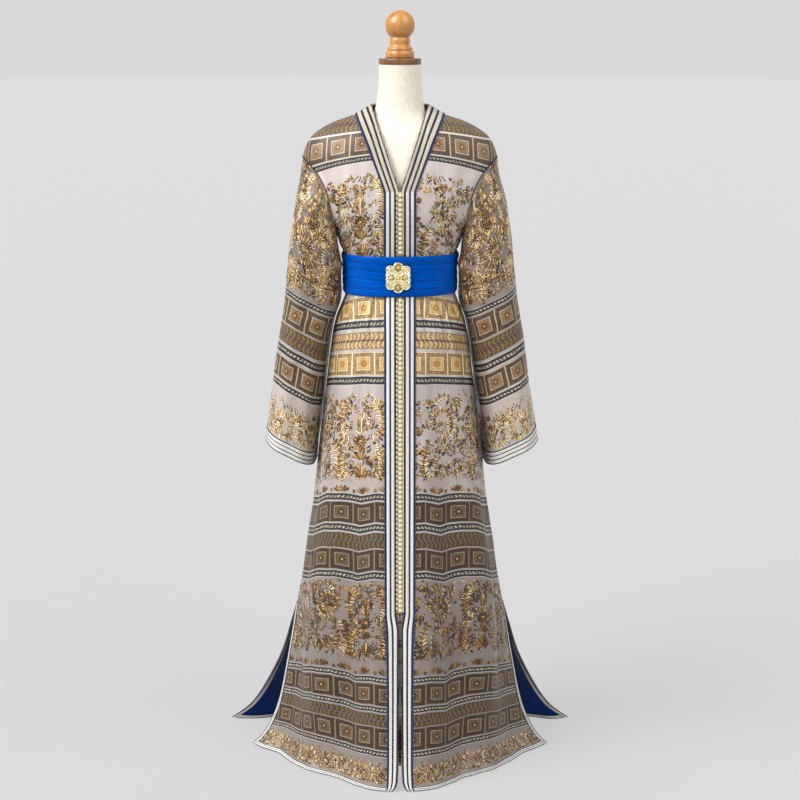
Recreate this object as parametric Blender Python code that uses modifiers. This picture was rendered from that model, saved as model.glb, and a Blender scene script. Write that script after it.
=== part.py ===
"""Moroccan kaftan on a limbless dress form.

Metres, +Z up. The front of the garment faces -Y, and "left" and "right" are as seen by
someone who looks at it from the front (-X and +X). The origin is on the floor, under the
centre of the stand's base.

Every cloth piece is a grid of points on one outer surface: a row for each height, and
columns that run from the centre line out to the side seam or the armhole. Walls grow inward
from those grids, and braids, plackets and the lining are the same points moved out or in.
"""

import math
from collections import namedtuple

import bmesh
import bpy
import numpy as np

# ------------------------------------------------------------------ driving dimensions
SEAM_GAP = 0.0003           # clearance kept between pieces that touch
CLOTH = 0.0020              # brocade with its backing
LINING = 0.0010
BRAID = 0.0012              # thickness of the woven braids

NECK_HALF = 0.0595          # neck opening at the shoulder line, measured from the centre
SHOULDER_Z = 1.443          # neck end of the shoulder line
SHOULDER_END_X = 0.2085     # outer end of the shoulder line
SHOULDER_END_Z = 1.335
UNDERARM_Z = 1.165
V_BOTTOM_Z = 1.2655
BELT_TOP_Z = 1.1290
BLOUSE_Z = 1.145            # where the bodice rolls out over the belt
BELT_BOTTOM_Z = 1.0405
BUTTONS_END_Z = 0.380       # below this the fronts hang open
SLIT_TOP_Z = 0.335
HEM_Z = 0.0022              # the hem's outer edge, so that the wall's inner edge clears the floor
EDGE_BRAID_WIDTH = 0.011
NECK_BRAID_WIDTH = 0.037
PLACKET_HALF = 0.0085

FRONT_CELLS = 10            # columns of cells between a front's two braids
BACK_CELLS = 18
NECK_CELLS = (5, 15)        # first and last of the back's columns that carry the neck braid
GATHER_RISE = 0.0018        # half height of a waist gather
GATHER_EASE = 0.012         # height over which the gathers grow below the belt
GATHER_END_Z = 0.925
GATHER_FADE = 0.075
GATHER_START = 0.020        # distance from the braid over which they grow
FOLD_START_Z = 0.950
FOLD_FADE_CENTRE = 0.08     # shares of a half row over which folds die out at its edges
FOLD_FADE_SIDE = 0.12
FOLD_FADE_BACK = 0.10
NECK_REVEAL = 0.0012        # cloth seen between the neck edge and its braid
SLEEVE_GAP = 0.0006         # clearance of a sleeve's first ring from the armhole
DENSE = 97                  # points of a row before it is cut into columns
HALVINGS = 50

BUTTON_PITCH = 0.0100
BUTTON_HALF = 0.0048
BUTTON_HEIGHT = 0.0060
BUTTON_SHOULDER = 0.0033
PLACKET_CROWN = 0.0016      # height of the strip between two knots
PLACKET_SHOULDER = 0.0014

# ------------------------------------------------------------------ shape tables
# Half rows of the garment, from the centre line to the side. A row is one Bezier arc:
# it leaves the centre line level, at depth, and reaches the edge point (edge_x, edge_y)
# from the handle. The handle is a share of edge_x and depth, the pull a share of edge_x.
Row = namedtuple("Row", "z edge_x edge_y depth pull handle_x handle_y")
ROUND = 0.5523              # shares that make the arc a quarter ellipse

# Above the slits the fronts and the back share their edge.
Body = namedtuple("Body", "z edge_x front back")
BODY = [
    Body(SHOULDER_Z, NECK_HALF, 0.035, 0.062),
    Body(1.424, 0.0920, 0.050, 0.072),
    Body(1.407, 0.1400, 0.062, 0.079),
    Body(1.391, 0.1700, 0.072, 0.084),
    Body(1.376, 0.1890, 0.080, 0.088),
    Body(1.355, 0.2020, 0.088, 0.091),
    Body(SHOULDER_END_Z, SHOULDER_END_X, 0.094, 0.093),
    Body(1.300, 0.2035, 0.103, 0.096),
    Body(1.270, 0.1980, 0.110, 0.098),
    Body(1.215, 0.1720, 0.116, 0.097),
    Body(UNDERARM_Z, 0.1370, 0.113, 0.092),
    Body(BLOUSE_Z, 0.1300, 0.110, 0.089),
    Body(BELT_TOP_Z, 0.1225, 0.105, 0.085),
    Body(1.085, 0.1190, 0.100, 0.080),
    Body(BELT_BOTTOM_Z, 0.1190, 0.103, 0.086),
    Body(1.010, 0.1290, 0.113, 0.097),
    Body(0.980, 0.1405, 0.122, 0.106),
    Body(0.916, 0.1520, 0.136, 0.120),
    Body(0.850, 0.1605, 0.148, 0.131),
    Body(0.700, 0.1790, 0.172, 0.155),
    Body(0.580, 0.1920, 0.190, 0.173),
    Body(0.500, 0.2050, 0.202, 0.188),
    Body(0.416, 0.2170, 0.214, 0.205),
]
FRONT_HEM = [
    Row(SLIT_TOP_Z, 0.2315, 0.000, 0.2250, 0.50, 0.95, 0.55),
    Row(0.2185, 0.2515, -0.004, 0.2430, 0.46, 0.85, 0.54),
    Row(0.1090, 0.2745, -0.008, 0.2610, 0.41, 0.75, 0.52),
    Row(0.0450, 0.3000, -0.010, 0.2740, 0.37, 0.67, 0.51),
    Row(0.0180, 0.3190, -0.011, 0.2810, 0.36, 0.64, 0.50),
    Row(0.0000, 0.3390, -0.012, 0.2880, 0.35, 0.62, 0.50),
]
BACK_HEM = [
    Row(SLIT_TOP_Z, 0.2315, 0.000, 0.2250, 0.5523, 0.99, 0.55),
    Row(0.2800, 0.2470, 0.020, 0.2420, 0.5523, 0.96, 0.54),
    Row(0.2100, 0.2670, 0.054, 0.2680, 0.55, 0.91, 0.50),
    Row(0.1100, 0.3110, 0.102, 0.3100, 0.54, 0.82, 0.42),
    Row(0.0450, 0.3510, 0.130, 0.3480, 0.53, 0.74, 0.34),
    Row(0.0180, 0.3780, 0.146, 0.3680, 0.52, 0.68, 0.28),
    Row(0.0000, 0.4000, 0.158, 0.3800, 0.51, 0.65, 0.25),
]

# How far the fronts' meeting edges and the front braid stand off the centre line.
Centre = namedtuple("Centre", "z edge braid_in braid_out")
CENTRE = [
    Centre(0.000, 0.0200, 0.0215, 0.0330),
    Centre(0.006, 0.0110, 0.0125, 0.0290),
    Centre(0.020, 0.0048, 0.0063, 0.0280),
    Centre(0.060, 0.0030, 0.0045, 0.0275),
    Centre(0.280, 0.0016, 0.0031, 0.0285),
    Centre(0.340, 0.0008, 0.0025, 0.0300),
    Centre(0.378, 0.0003, PLACKET_HALF, 0.0325),
    Centre(1.250, 0.0003, PLACKET_HALF, 0.0340),
]

# The armhole's edge: its distance from the centre line at each height.
Armhole = namedtuple("Armhole", "z x")
ARMHOLE = [
    Armhole(UNDERARM_Z, 0.1370),
    Armhole(1.190, 0.1405),
    Armhole(1.2145, 0.1450),
    Armhole(1.245, 0.1510),
    Armhole(1.272, 0.1590),
    Armhole(1.300, 0.1750),
    Armhole(1.320, 0.1930),
    Armhole(SHOULDER_END_Z, SHOULDER_END_X),
]

# Skirt folds: where they run, as a share of the half row from the centre (the back counts
# -1 to 1 from seam to seam), their half width in the same share, and how far they stand out
# (or in, where negative) at four heights.
Fold = namedtuple("Fold", "at_top at_hem width at_090 at_050 at_020 at_000")
FOLD_HEIGHTS = (0.98, 0.90, 0.50, 0.20, 0.0)
FRONT_LEFT_FOLDS = [
    Fold(0.16, 0.13, 0.10, 0.001, 0.004, 0.007, 0.003),
    Fold(0.36, 0.33, 0.10, -0.002, -0.010, -0.019, -0.010),
    Fold(0.61, 0.59, 0.13, 0.002, 0.008, 0.013, 0.006),
    Fold(0.83, 0.82, 0.08, -0.001, -0.006, -0.010, -0.004),
]
FRONT_RIGHT_FOLDS = [
    Fold(0.15, 0.15, 0.10, 0.001, 0.004, 0.006, 0.003),
    Fold(0.39, 0.36, 0.11, -0.002, -0.009, -0.018, -0.008),
    Fold(0.63, 0.62, 0.12, 0.002, 0.009, 0.014, 0.006),
    Fold(0.80, 0.82, 0.08, -0.001, -0.007, -0.008, -0.004),
]
BACK_FOLDS = [
    Fold(-0.80, -0.76, 0.07, -0.001, -0.006, -0.012, -0.008),
    Fold(-0.62, -0.58, 0.08, 0.002, 0.008, 0.014, 0.010),
    Fold(-0.43, -0.40, 0.07, -0.002, -0.009, -0.016, -0.010),
    Fold(-0.22, -0.21, 0.09, 0.002, 0.010, 0.016, 0.012),
    Fold(-0.02, -0.03, 0.07, -0.002, -0.010, -0.018, -0.012),
    Fold(0.19, 0.17, 0.08, 0.002, 0.009, 0.015, 0.011),
    Fold(0.38, 0.36, 0.07, -0.001, -0.008, -0.015, -0.010),
    Fold(0.58, 0.55, 0.09, 0.002, 0.009, 0.014, 0.010),
    Fold(0.79, 0.76, 0.07, -0.001, -0.006, -0.011, -0.007),
]

# Sleeve rings from the armhole to the cuff: the outermost and innermost points of each, half
# its depth from front to back, and how far it laps in front of and behind the body's side.
# The rings tip down towards the body.
Ring = namedtuple("Ring", "t outer_x outer_z inner_x inner_z half_depth tuck_front tuck_back")
SLEEVE = [
    Ring(0.00, 0.2085, 1.3350, 0.1370, 1.1650, 0.070, 0.000, 0.000),
    Ring(0.07, 0.2135, 1.2950, 0.1365, 1.1540, 0.074, 0.002, 0.000),
    Ring(0.16, 0.2262, 1.2450, 0.1345, 1.1360, 0.076, 0.007, 0.002),
    Ring(0.28, 0.2375, 1.1700, 0.1305, 1.0980, 0.076, 0.012, 0.005),
    Ring(0.40, 0.2455, 1.0950, 0.1310, 1.0360, 0.074, 0.007, 0.010),
    Ring(0.52, 0.2545, 1.0200, 0.1505, 0.9650, 0.074, 0.003, 0.014),
    Ring(0.64, 0.2660, 0.9430, 0.1625, 0.8880, 0.075, 0.000, 0.016),
    Ring(0.76, 0.2770, 0.8680, 0.1720, 0.8120, 0.077, 0.000, 0.016),
    Ring(0.88, 0.2880, 0.7900, 0.1815, 0.7350, 0.080, 0.000, 0.016),
    Ring(1.00, 0.2990, 0.7127, 0.1905, 0.6590, 0.084, 0.000, 0.014),
]
TUCK_FRONT_AT = 138         # where the sleeve laps the body's side, in degrees round the ring
TUCK_BACK_AT = 222
TUCK_WIDTH = 26
SLEEVE_MIDDLE_Y = 0.004
SLEEVE_ROUNDNESS = 2.2
SLEEVE_BLEND = 0.30         # share of the sleeve over which the armhole's shape fades
FOLD_PLACES = (0.0, 0.15, 0.5, 1.0)     # armhole, top, elbow and cuff, along the sleeve
SLEEVE_LEAN = {"left": -0.004, "right": 0.005}      # how far each cuff swings out
CUFF_BRAID_T = 0.955        # where the cuff braid starts
# Soft folds down a sleeve: place round it in degrees (0 outside, 90 front), half width in
# degrees, and how far each stands out at the top, the elbow and the cuff.
SleeveFold = namedtuple("SleeveFold", "at width top elbow cuff")
SLEEVE_FOLDS = [
    SleeveFold(52, 20, 0.000, 0.003, 0.004),
    SleeveFold(92, 20, -0.002, -0.005, -0.005),
    SleeveFold(128, 18, 0.001, 0.003, 0.003),
    SleeveFold(238, 20, 0.001, 0.003, 0.004),
    SleeveFold(275, 20, -0.001, -0.005, -0.005),
    SleeveFold(312, 20, 0.000, 0.003, 0.004),
]

# Dress form: half width, and reach to the front and the back, at each height.
FormRing = namedtuple("FormRing", "z half_width front back")
FORM_TORSO = [
    FormRing(1.5265, 0.0455, 0.0440, 0.0440),
    FormRing(1.5000, 0.0455, 0.0440, 0.0440),
    FormRing(1.4750, 0.0470, 0.0450, 0.0450),
    FormRing(1.4550, 0.0495, 0.0465, 0.0480),
    FormRing(1.4380, 0.0525, 0.0480, 0.0530),
    FormRing(1.4220, 0.0600, 0.0510, 0.0600),
    FormRing(1.4050, 0.0860, 0.0560, 0.0670),
    FormRing(1.3850, 0.1450, 0.0660, 0.0750),
    FormRing(1.3600, 0.1740, 0.0760, 0.0800),
    FormRing(1.3300, 0.1840, 0.0850, 0.0840),
    FormRing(1.2950, 0.1820, 0.0940, 0.0860),
    FormRing(1.2500, 0.1660, 0.1010, 0.0870),
    FormRing(1.2100, 0.1480, 0.1050, 0.0860),
    FormRing(1.1650, 0.1250, 0.1020, 0.0810),
    FormRing(1.1200, 0.1120, 0.0930, 0.0740),
    FormRing(1.0800, 0.1090, 0.0890, 0.0700),
    FormRing(1.0350, 0.1100, 0.0910, 0.0750),
    FormRing(0.9700, 0.1250, 0.1050, 0.0900),
    FormRing(0.8800, 0.1400, 0.1150, 0.1020),
    FormRing(0.8200, 0.1380, 0.1120, 0.1020),
    FormRing(0.8000, 0.1250, 0.1000, 0.0900),
]
FORM_SIDES = 24
CAP_RADIUS = 0.0455
CAP_EDGE = 0.0025
CAP_BOTTOM_Z = FORM_TORSO[0].z + SEAM_GAP
CAP_TOP_Z = 1.5397
FINIAL_BOTTOM_Z = CAP_TOP_Z + SEAM_GAP
FINIAL_TOP_Z = 1.640
FINIAL_BALL_RADIUS = 0.0315
POLE_RADIUS = 0.014
BASE_RADIUS = 0.140
BASE_EDGE = 0.014
BASE_HUB_RADIUS = 0.030
BASE_HUB_TOP = 0.036

BELT_CLEARANCE = 0.0028     # from the cloth to the belt's inner face, over the braids
BELT_THICKNESS = 0.0022
BELT_PLEAT_DEPTH = 0.0013
BELT_SIDES = 40
# The belt's pleats, from its lower edge: share of the height, and whether a line or a roll.
BELT_PROFILE = [(0.0, 0.0), (0.12, 1.0), (0.30, 0.0), (0.44, 1.0), (0.56, 0.0),
                (0.66, 1.0), (0.76, 0.0), (0.88, 1.0), (1.0, 0.2)]
ROSETTE_CENTRE_X = -0.004
ROSETTE_CENTRE_Z = 1.0845
ROSETTE_HALF_WIDTH = 0.0285
ROSETTE_HALF_HEIGHT = 0.0325
ROSETTE_LOBES = 8
ROSETTE_LOBE_RISE = 0.0016
ROSETTE_POINTS = 48
# Rings of the rosette from its rim to its centre: share of the outline, and height.
ROSETTE_RINGS = [(1.0, 0.0), (1.0, 0.0018), (0.90, 0.0034), (0.62, 0.0036), (0.52, 0.0058),
                 (0.22, 0.0070)]

COLLECTION_NAME = "moroccan_kaftan"
# Colour (linear), roughness and metallic value of each finish.
FINISHES = {
    "brocade": ((0.36, 0.31, 0.29), 0.45, 0.2),
    "lining": ((0.0, 0.045, 0.33), 0.45, 0.0),
    "braid": ((0.75, 0.69, 0.54), 0.6, 0.0),
    "buttons": ((0.66, 0.50, 0.22), 0.45, 0.3),
    "belt": ((0.0, 0.09, 0.52), 0.35, 0.0),
    "gilt": ((0.78, 0.62, 0.30), 0.3, 1.0),
    "linen": ((0.85, 0.79, 0.68), 0.9, 0.0),
    "oak": ((0.52, 0.26, 0.09), 0.4, 0.0),
    "walnut": ((0.16, 0.07, 0.03), 0.4, 0.0),
    "steel": ((0.5, 0.5, 0.5), 0.35, 1.0),
}


# ------------------------------------------------------------------ scene helpers
def clear_scene():
    """Remove every object and mesh that the file starts with."""
    for thing in list(bpy.data.objects):
        bpy.data.objects.remove(thing, do_unlink=True)
    for mesh in list(bpy.data.meshes):
        bpy.data.meshes.remove(mesh)


def finish_material(finish):
    """Return the material of a finish, made once."""
    material = bpy.data.materials.get(finish)
    if material:
        return material
    colour, roughness, metallic = FINISHES[finish]
    material = bpy.data.materials.new(finish)
    material.use_nodes = True
    shader = material.node_tree.nodes["Principled BSDF"]
    shader.inputs["Base Color"].default_value = (*colour, 1.0)
    shader.inputs["Roughness"].default_value = roughness
    shader.inputs["Metallic"].default_value = metallic
    return material


def add_part(name, vertices, faces, finish, collection, sharp_degrees=40):
    """Link a mesh object made from vertices and faces, shaded smooth below an angle."""
    mesh = bpy.data.meshes.new(name)
    mesh.from_pydata([tuple(map(float, point)) for point in vertices], [], faces)
    mesh.validate()
    mesh.shade_smooth()
    mesh.set_sharp_from_angle(angle=math.radians(sharp_degrees))
    mesh.materials.append(finish_material(finish))
    thing = bpy.data.objects.new(name, mesh)
    collection.objects.link(thing)
    return thing


# ------------------------------------------------------------------ curves through tables
def table_curve(rows, column, key="z"):
    """Return a smooth function through one column of a table, without overshoot."""
    points = sorted((getattr(row, key), getattr(row, column)) for row in rows)
    keys = np.array([point[0] for point in points])
    values = np.array([point[1] for point in points])
    steps = np.diff(keys)
    slopes = np.diff(values) / steps
    tangents = np.concatenate(([slopes[0]], np.zeros(len(slopes) - 1), [slopes[-1]]))
    for i in range(1, len(slopes)):
        before, after = slopes[i - 1], slopes[i]
        if before * after > 0:
            tangents[i] = 2 * before * after / (before + after)

    def curve(where):
        where = np.clip(where, keys[0], keys[-1])
        i = np.clip(np.searchsorted(keys, where, side="right") - 1, 0, len(steps) - 1)
        t = (where - keys[i]) / steps[i]
        return ((2 * t**3 - 3 * t**2 + 1) * values[i]
                + (t**3 - 2 * t**2 + t) * steps[i] * tangents[i]
                + (3 * t**2 - 2 * t**3) * values[i + 1]
                + (t**3 - t**2) * steps[i] * tangents[i + 1])

    return curve


def smooth_step(value):
    """Ease from 0 to 1 as value goes from 0 to 1."""
    value = np.clip(value, 0.0, 1.0)
    return value * value * (3 - 2 * value)


def half_rows(depth_column, hem_rows):
    """Join the shared body table to a hem table, as rows of one kind."""
    rows = [Row(body.z, body.edge_x, 0.0, getattr(body, depth_column), ROUND, 1.0, ROUND)
            for body in BODY]
    return rows + hem_rows


def half_curves(rows):
    """Return the curve of each column of a half's rows."""
    return {column: table_curve(rows, column) for column in Row._fields if column != "z"}


FRONT = half_curves(half_rows("front", FRONT_HEM))
BACK = half_curves(half_rows("back", BACK_HEM))
CENTRE_EDGE = table_curve(CENTRE, "edge")
BRAID_IN = table_curve(CENTRE, "braid_in")
BRAID_OUT = table_curve(CENTRE, "braid_out")
ARMHOLE_X = table_curve(ARMHOLE, "x")
SHOULDER_ROWS = [body for body in BODY if body.z >= SHOULDER_END_Z]
SHOULDER_LINE_Z = table_curve(SHOULDER_ROWS, "z", key="edge_x")
V_SLOPE = (SHOULDER_Z - V_BOTTOM_Z) / NECK_HALF


# ------------------------------------------------------------------ rows of the garment
def even(start, stop, count):
    """Return count levels after start, evenly spaced, the last one at stop."""
    return [start + (stop - start) * (i + 1) / count for i in range(count)]


def skirt_levels():
    """Return the heights of the level rows, from the hem to the underarm."""
    levels = [HEM_Z, HEM_Z + 0.0075, 0.030, 0.060, 0.100, 0.155, 0.215, 0.275, SLIT_TOP_Z]
    levels += [BUTTONS_END_Z]
    levels += even(BUTTONS_END_Z, 0.900, 7)
    levels += [0.950, 0.985, 1.010, 1.028, BELT_BOTTOM_Z, 1.085, BELT_TOP_Z, BLOUSE_Z, UNDERARM_Z]
    return levels


LEVELS = skirt_levels()
SLIT_ROW = LEVELS.index(SLIT_TOP_Z)
# Shares of the way from the underarm row to the shoulder line; one row meets the V's foot.
V_SHARE = (V_BOTTOM_Z - UNDERARM_Z) / (SHOULDER_Z - UNDERARM_Z)
YOKE_SHARES = [V_SHARE / 3, V_SHARE * 2 / 3, V_SHARE] + even(V_SHARE, 1.0, 7)


def top_z(x):
    """Return the height of the neck and shoulder edge above a distance from the centre."""
    return np.where(x <= NECK_HALF, SHOULDER_Z, SHOULDER_LINE_Z(np.maximum(x, NECK_HALF)))


def yoke_z(x, share):
    """Return the height of a yoke row at a distance from the centre."""
    return UNDERARM_Z + share * (top_z(x) - UNDERARM_Z)


def armhole_end(share):
    """Return where a yoke row meets the armhole's edge, by halving an interval."""
    low, high = ARMHOLE[0].x, SHOULDER_END_X
    for _ in range(HALVINGS):
        middle = (low + high) / 2
        if middle < ARMHOLE_X(yoke_z(middle, share)):
            low = middle
        else:
            high = middle
    return (low + high) / 2


def level_half_row(z, half, sign_y):
    """Return the dense points of a level half row, from the centre line to the side."""
    t = np.linspace(0.0, 1.0, DENSE)
    edge_x, edge_y, depth = half["edge_x"](z), half["edge_y"](z), half["depth"](z)
    pull_x = half["pull"](z) * edge_x
    handle_x, handle_y = half["handle_x"](z) * edge_x, half["handle_y"](z) * depth
    start, lead, trail, end = (1 - t)**3, 3 * t * (1 - t)**2, 3 * t * t * (1 - t), t**3
    x = lead * pull_x + trail * handle_x + end * edge_x
    y = sign_y * ((start + lead) * depth + trail * handle_y) + end * edge_y
    return np.column_stack((x, y, np.full(DENSE, z)))


def yoke_half_row(share, half, sign_y):
    """Return the dense points of a half row between the underarm and the shoulder line."""
    x = armhole_end(share) * np.sin(np.linspace(0.0, math.pi / 2, DENSE))
    z = yoke_z(x, share)
    reach = np.sqrt(np.maximum(1 - (x / half["edge_x"](z))**2, 0.0))
    return np.column_stack((x, sign_y * half["depth"](z) * reach, z))


def lengths_along(points):
    """Return the distance along a polyline to each of its points."""
    steps = np.linalg.norm(np.diff(points, axis=0), axis=1)
    return np.concatenate(([0.0], np.cumsum(steps)))


def cut_row(dense, stops):
    """Return the points of a dense row at given distances along it."""
    along = lengths_along(dense)
    return np.column_stack([np.interp(stops, along, dense[:, axis]) for axis in range(3)])


# ------------------------------------------------------------------ folds and gathers
def fold_depths(folds, share, z):
    """Return how far the folds push a row's points out, at shares of the row."""
    push = np.zeros_like(share)
    across = smooth_step((FOLD_START_Z - z) / FOLD_START_Z)
    for fold in folds:
        heights = (fold.at_000, fold.at_020, fold.at_050, fold.at_090, 0.0)
        depth = np.interp(z, FOLD_HEIGHTS[::-1], heights)
        middle = fold.at_top + (fold.at_hem - fold.at_top) * across
        push += depth * np.exp(-((share - middle) / fold.width)**2)
    return push


def gather_depths(phase, z):
    """Return the push of the waist gathers; phase counts them along the row."""
    below = smooth_step((BELT_BOTTOM_Z - z) / GATHER_EASE)
    above = smooth_step((z - GATHER_END_Z) / GATHER_FADE)
    return GATHER_RISE * below * above * np.cos(2 * math.pi * phase)


def push_out(points, push):
    """Move a row's points along its level normals by a distance each."""
    tangents = np.gradient(points[:, :2], axis=0)
    tangents /= np.linalg.norm(tangents, axis=1)[:, None]
    moved = points.copy()
    moved[:, 0] += tangents[:, 1] * push
    moved[:, 1] -= tangents[:, 0] * push
    return moved


# ------------------------------------------------------------------ panels
def front_row(dense, z_centre, folds):
    """Return a right front's row of columns, from its centre edge to its side edge."""
    along = lengths_along(dense)
    if z_centre > V_BOTTOM_Z:
        edge = (z_centre - V_BOTTOM_Z) / V_SLOPE + SEAM_GAP
        braid_in, braid_out = edge + NECK_REVEAL, edge + NECK_BRAID_WIDTH
    else:
        edge, braid_in, braid_out = CENTRE_EDGE(z_centre), BRAID_IN(z_centre), BRAID_OUT(z_centre)
    first = np.interp([edge, braid_in, braid_out], dense[:, 0], along)
    last = along[-1] - EDGE_BRAID_WIDTH
    middle = even(first[2], last, FRONT_CELLS)
    stops = np.array([*first, *middle, along[-1]])
    points = cut_row(dense, stops)
    share = stops / along[-1]
    window = smooth_step(share / FOLD_FADE_CENTRE) * smooth_step((1 - share) / FOLD_FADE_SIDE)
    phase = np.clip((stops - first[2]) / (last - first[2]), 0.0, 1.0) * FRONT_CELLS / 2
    push = window * fold_depths(folds, share, z_centre)
    begun = smooth_step((stops - first[1]) / GATHER_START)
    push += begun * window * gather_depths(phase, z_centre)
    return push_out(points, push)


def front_grid(side):
    """Return the outer points of one front, row by row from hem to shoulder."""
    folds = FRONT_LEFT_FOLDS if side == "left" else FRONT_RIGHT_FOLDS
    rows = [front_row(level_half_row(z, FRONT, -1), z, folds) for z in LEVELS]
    for share in YOKE_SHARES:
        dense = yoke_half_row(share, FRONT, -1)
        rows.append(front_row(dense, dense[0, 2], folds))
    grid = np.array(rows)
    grid[:, :, 1] -= SEAM_GAP / 2
    if side == "left":
        grid[:, :, 0] *= -1
    return grid


def back_stops(whole, along, neck_share):
    """Return where the back's columns cut a row; near the neck they gather at its braid."""
    total, first = along[-1], EDGE_BRAID_WIDTH
    level = np.array([0.0, first, *even(first, total - first, BACK_CELLS), total])
    reach = NECK_HALF + NECK_BRAID_WIDTH
    left = np.interp(-reach, whole[:, 0], along)
    side_cells = NECK_CELLS[0] - 1
    collar_cells = BACK_CELLS - 2 * side_cells
    collar = np.array([0.0, first, *even(first, left, side_cells),
                       *even(left, total - left, collar_cells),
                       *even(total - left, total - first, side_cells), total])
    return (1 - neck_share) * level + neck_share * collar


def back_row(dense, z_centre, neck_share):
    """Return the back's row of columns, from its left edge to its right edge."""
    mirrored = dense[:0:-1] * np.array([-1.0, 1.0, 1.0])
    whole = np.vstack((mirrored, dense))
    along = lengths_along(whole)
    total = along[-1]
    stops = back_stops(whole, along, neck_share)
    points = cut_row(whole, stops)
    share = 2 * stops / total - 1
    window = smooth_step((1 - np.abs(share)) / FOLD_FADE_BACK)
    span = total - 2 * EDGE_BRAID_WIDTH
    phase = np.clip((stops - EDGE_BRAID_WIDTH) / span, 0.0, 1.0) * BACK_CELLS / 2
    push = window * (fold_depths(BACK_FOLDS, share, z_centre) + gather_depths(phase, z_centre))
    return push_out(points, -push)


def back_grid():
    """Return the outer points of the back, row by row from hem to neck."""
    rows = [back_row(level_half_row(z, BACK, 1), z, 0.0) for z in LEVELS]
    for share in YOKE_SHARES:
        dense = yoke_half_row(share, BACK, 1)
        rows.append(back_row(dense, dense[0, 2], min(share / YOKE_SHARES[-2], 1.0)))
    grid = np.array(rows)
    grid[:, :, 1] += SEAM_GAP / 2
    return grid


def grid_normals(grid, closed=False):
    """Return the unit normals of a grid's points, on the side that its rows turn to."""
    if closed:
        across = np.roll(grid, -1, axis=1) - np.roll(grid, 1, axis=1)
    else:
        across = np.gradient(grid, axis=1)
    return unit(np.cross(across, np.gradient(grid, axis=0)))


def unit(vectors):
    """Return vectors scaled to length 1."""
    return vectors / np.linalg.norm(vectors, axis=-1, keepdims=True)


def panel_normals(grid, half_sign):
    """Return a panel's outward normals, kept in the seam's own plane along each seam."""
    normals = grid_normals(grid) * half_sign
    underarm = len(LEVELS)
    flat = normals * np.array([1.0, 0.0, 1.0])
    on_seam = np.abs(grid[:, :, 1]) < SEAM_GAP
    normals[on_seam] = flat[on_seam]
    on_centre = np.abs(grid[:underarm, :, 0]) < 2 * SEAM_GAP
    on_centre[:, 1:-1] = False
    normals[:underarm][on_centre] *= np.array([0.0, 1.0, 1.0])
    return unit(normals)


def walled_piece(name, grid, normals, cells, finish, collection, low=-CLOTH, high=0.0):
    """Make a wall over cells of a grid, from one height along its normals to another.

    Each cell is split along the same diagonal in every piece, so that pieces laid on a
    curved cell keep their gap to it.
    """
    rows, columns = grid.shape[:2]
    layers = [(grid + height * normals).reshape(-1, 3) for height in (high, low)]
    far = rows * columns
    quads = []
    for row, column in cells:
        after = (column + 1) % columns
        quads.append((row * columns + column, row * columns + after,
                      (row + 1) * columns + after, (row + 1) * columns + column))
    sides = {(quad[i], quad[(i + 1) % 4]) for quad in quads for i in range(4)}
    rim = [(a, b, b + far, a + far) for a, b in sorted(sides) if (b, a) not in sides]
    over = [half for a, b, c, d in quads for half in ((a, b, c), (a, c, d))]
    under = [tuple(index + far for index in half[::-1]) for half in over]
    faces = over + under + [quad[::-1] for quad in rim]
    used = sorted({index for face in faces for index in face})
    place = {index: i for i, index in enumerate(used)}
    vertices = np.vstack(layers)[used]
    faces = [tuple(place[index] for index in face) for face in faces]
    piece = add_part(name, vertices, faces, finish, collection)
    face_outward(piece.data)
    return piece


def all_cells(grid, closed=False):
    """Return every cell of a grid."""
    rows, columns = grid.shape[:2]
    count = columns if closed else columns - 1
    return [(row, column) for row in range(rows - 1) for column in range(count)]


# ------------------------------------------------------------------ sleeves
def sleeve_ring(t, angles, lean):
    """Return a right sleeve's ring, at angles from its outermost point towards the front."""
    values = {column: table_curve(SLEEVE, column, key="t")(t) for column in Ring._fields[1:]}
    outer = np.array([values["outer_x"] + lean * t, values["outer_z"]])
    inner = np.array([values["inner_x"], values["inner_z"]])
    cosine, sine = np.cos(angles), np.sin(angles)
    out = np.sign(cosine) * np.abs(cosine)**(2 / SLEEVE_ROUNDNESS)
    forward = np.sign(sine) * np.abs(sine)**(2 / SLEEVE_ROUNDNESS)
    depth = values["half_depth"] * np.ones_like(angles)
    degrees = np.degrees(angles) % 360
    for fold in SLEEVE_FOLDS:
        height = np.interp(t, FOLD_PLACES, (0.0, fold.top, fold.elbow, fold.cuff))
        depth += height * np.exp(-((degrees - fold.at) / fold.width)**2)
    tuck = values["tuck_front"] * np.exp(-((degrees - TUCK_FRONT_AT) / TUCK_WIDTH)**2)
    tuck += values["tuck_back"] * np.exp(-((degrees - TUCK_BACK_AT) / TUCK_WIDTH)**2)
    middle, half = (outer + inner) / 2, (outer - inner) / 2
    x = middle[0] + half[0] * out - tuck
    z = middle[1] + half[1] * out
    y = SLEEVE_MIDDLE_Y - depth * forward
    return np.column_stack((x, y, z))


def sleeve_levels():
    """Return the rings' places along the sleeve; the last cell carries the cuff braid."""
    return [0.0, 0.035, 0.08, 0.14, 0.21] + even(0.21, CUFF_BRAID_T, 8) + [1.0]


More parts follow.
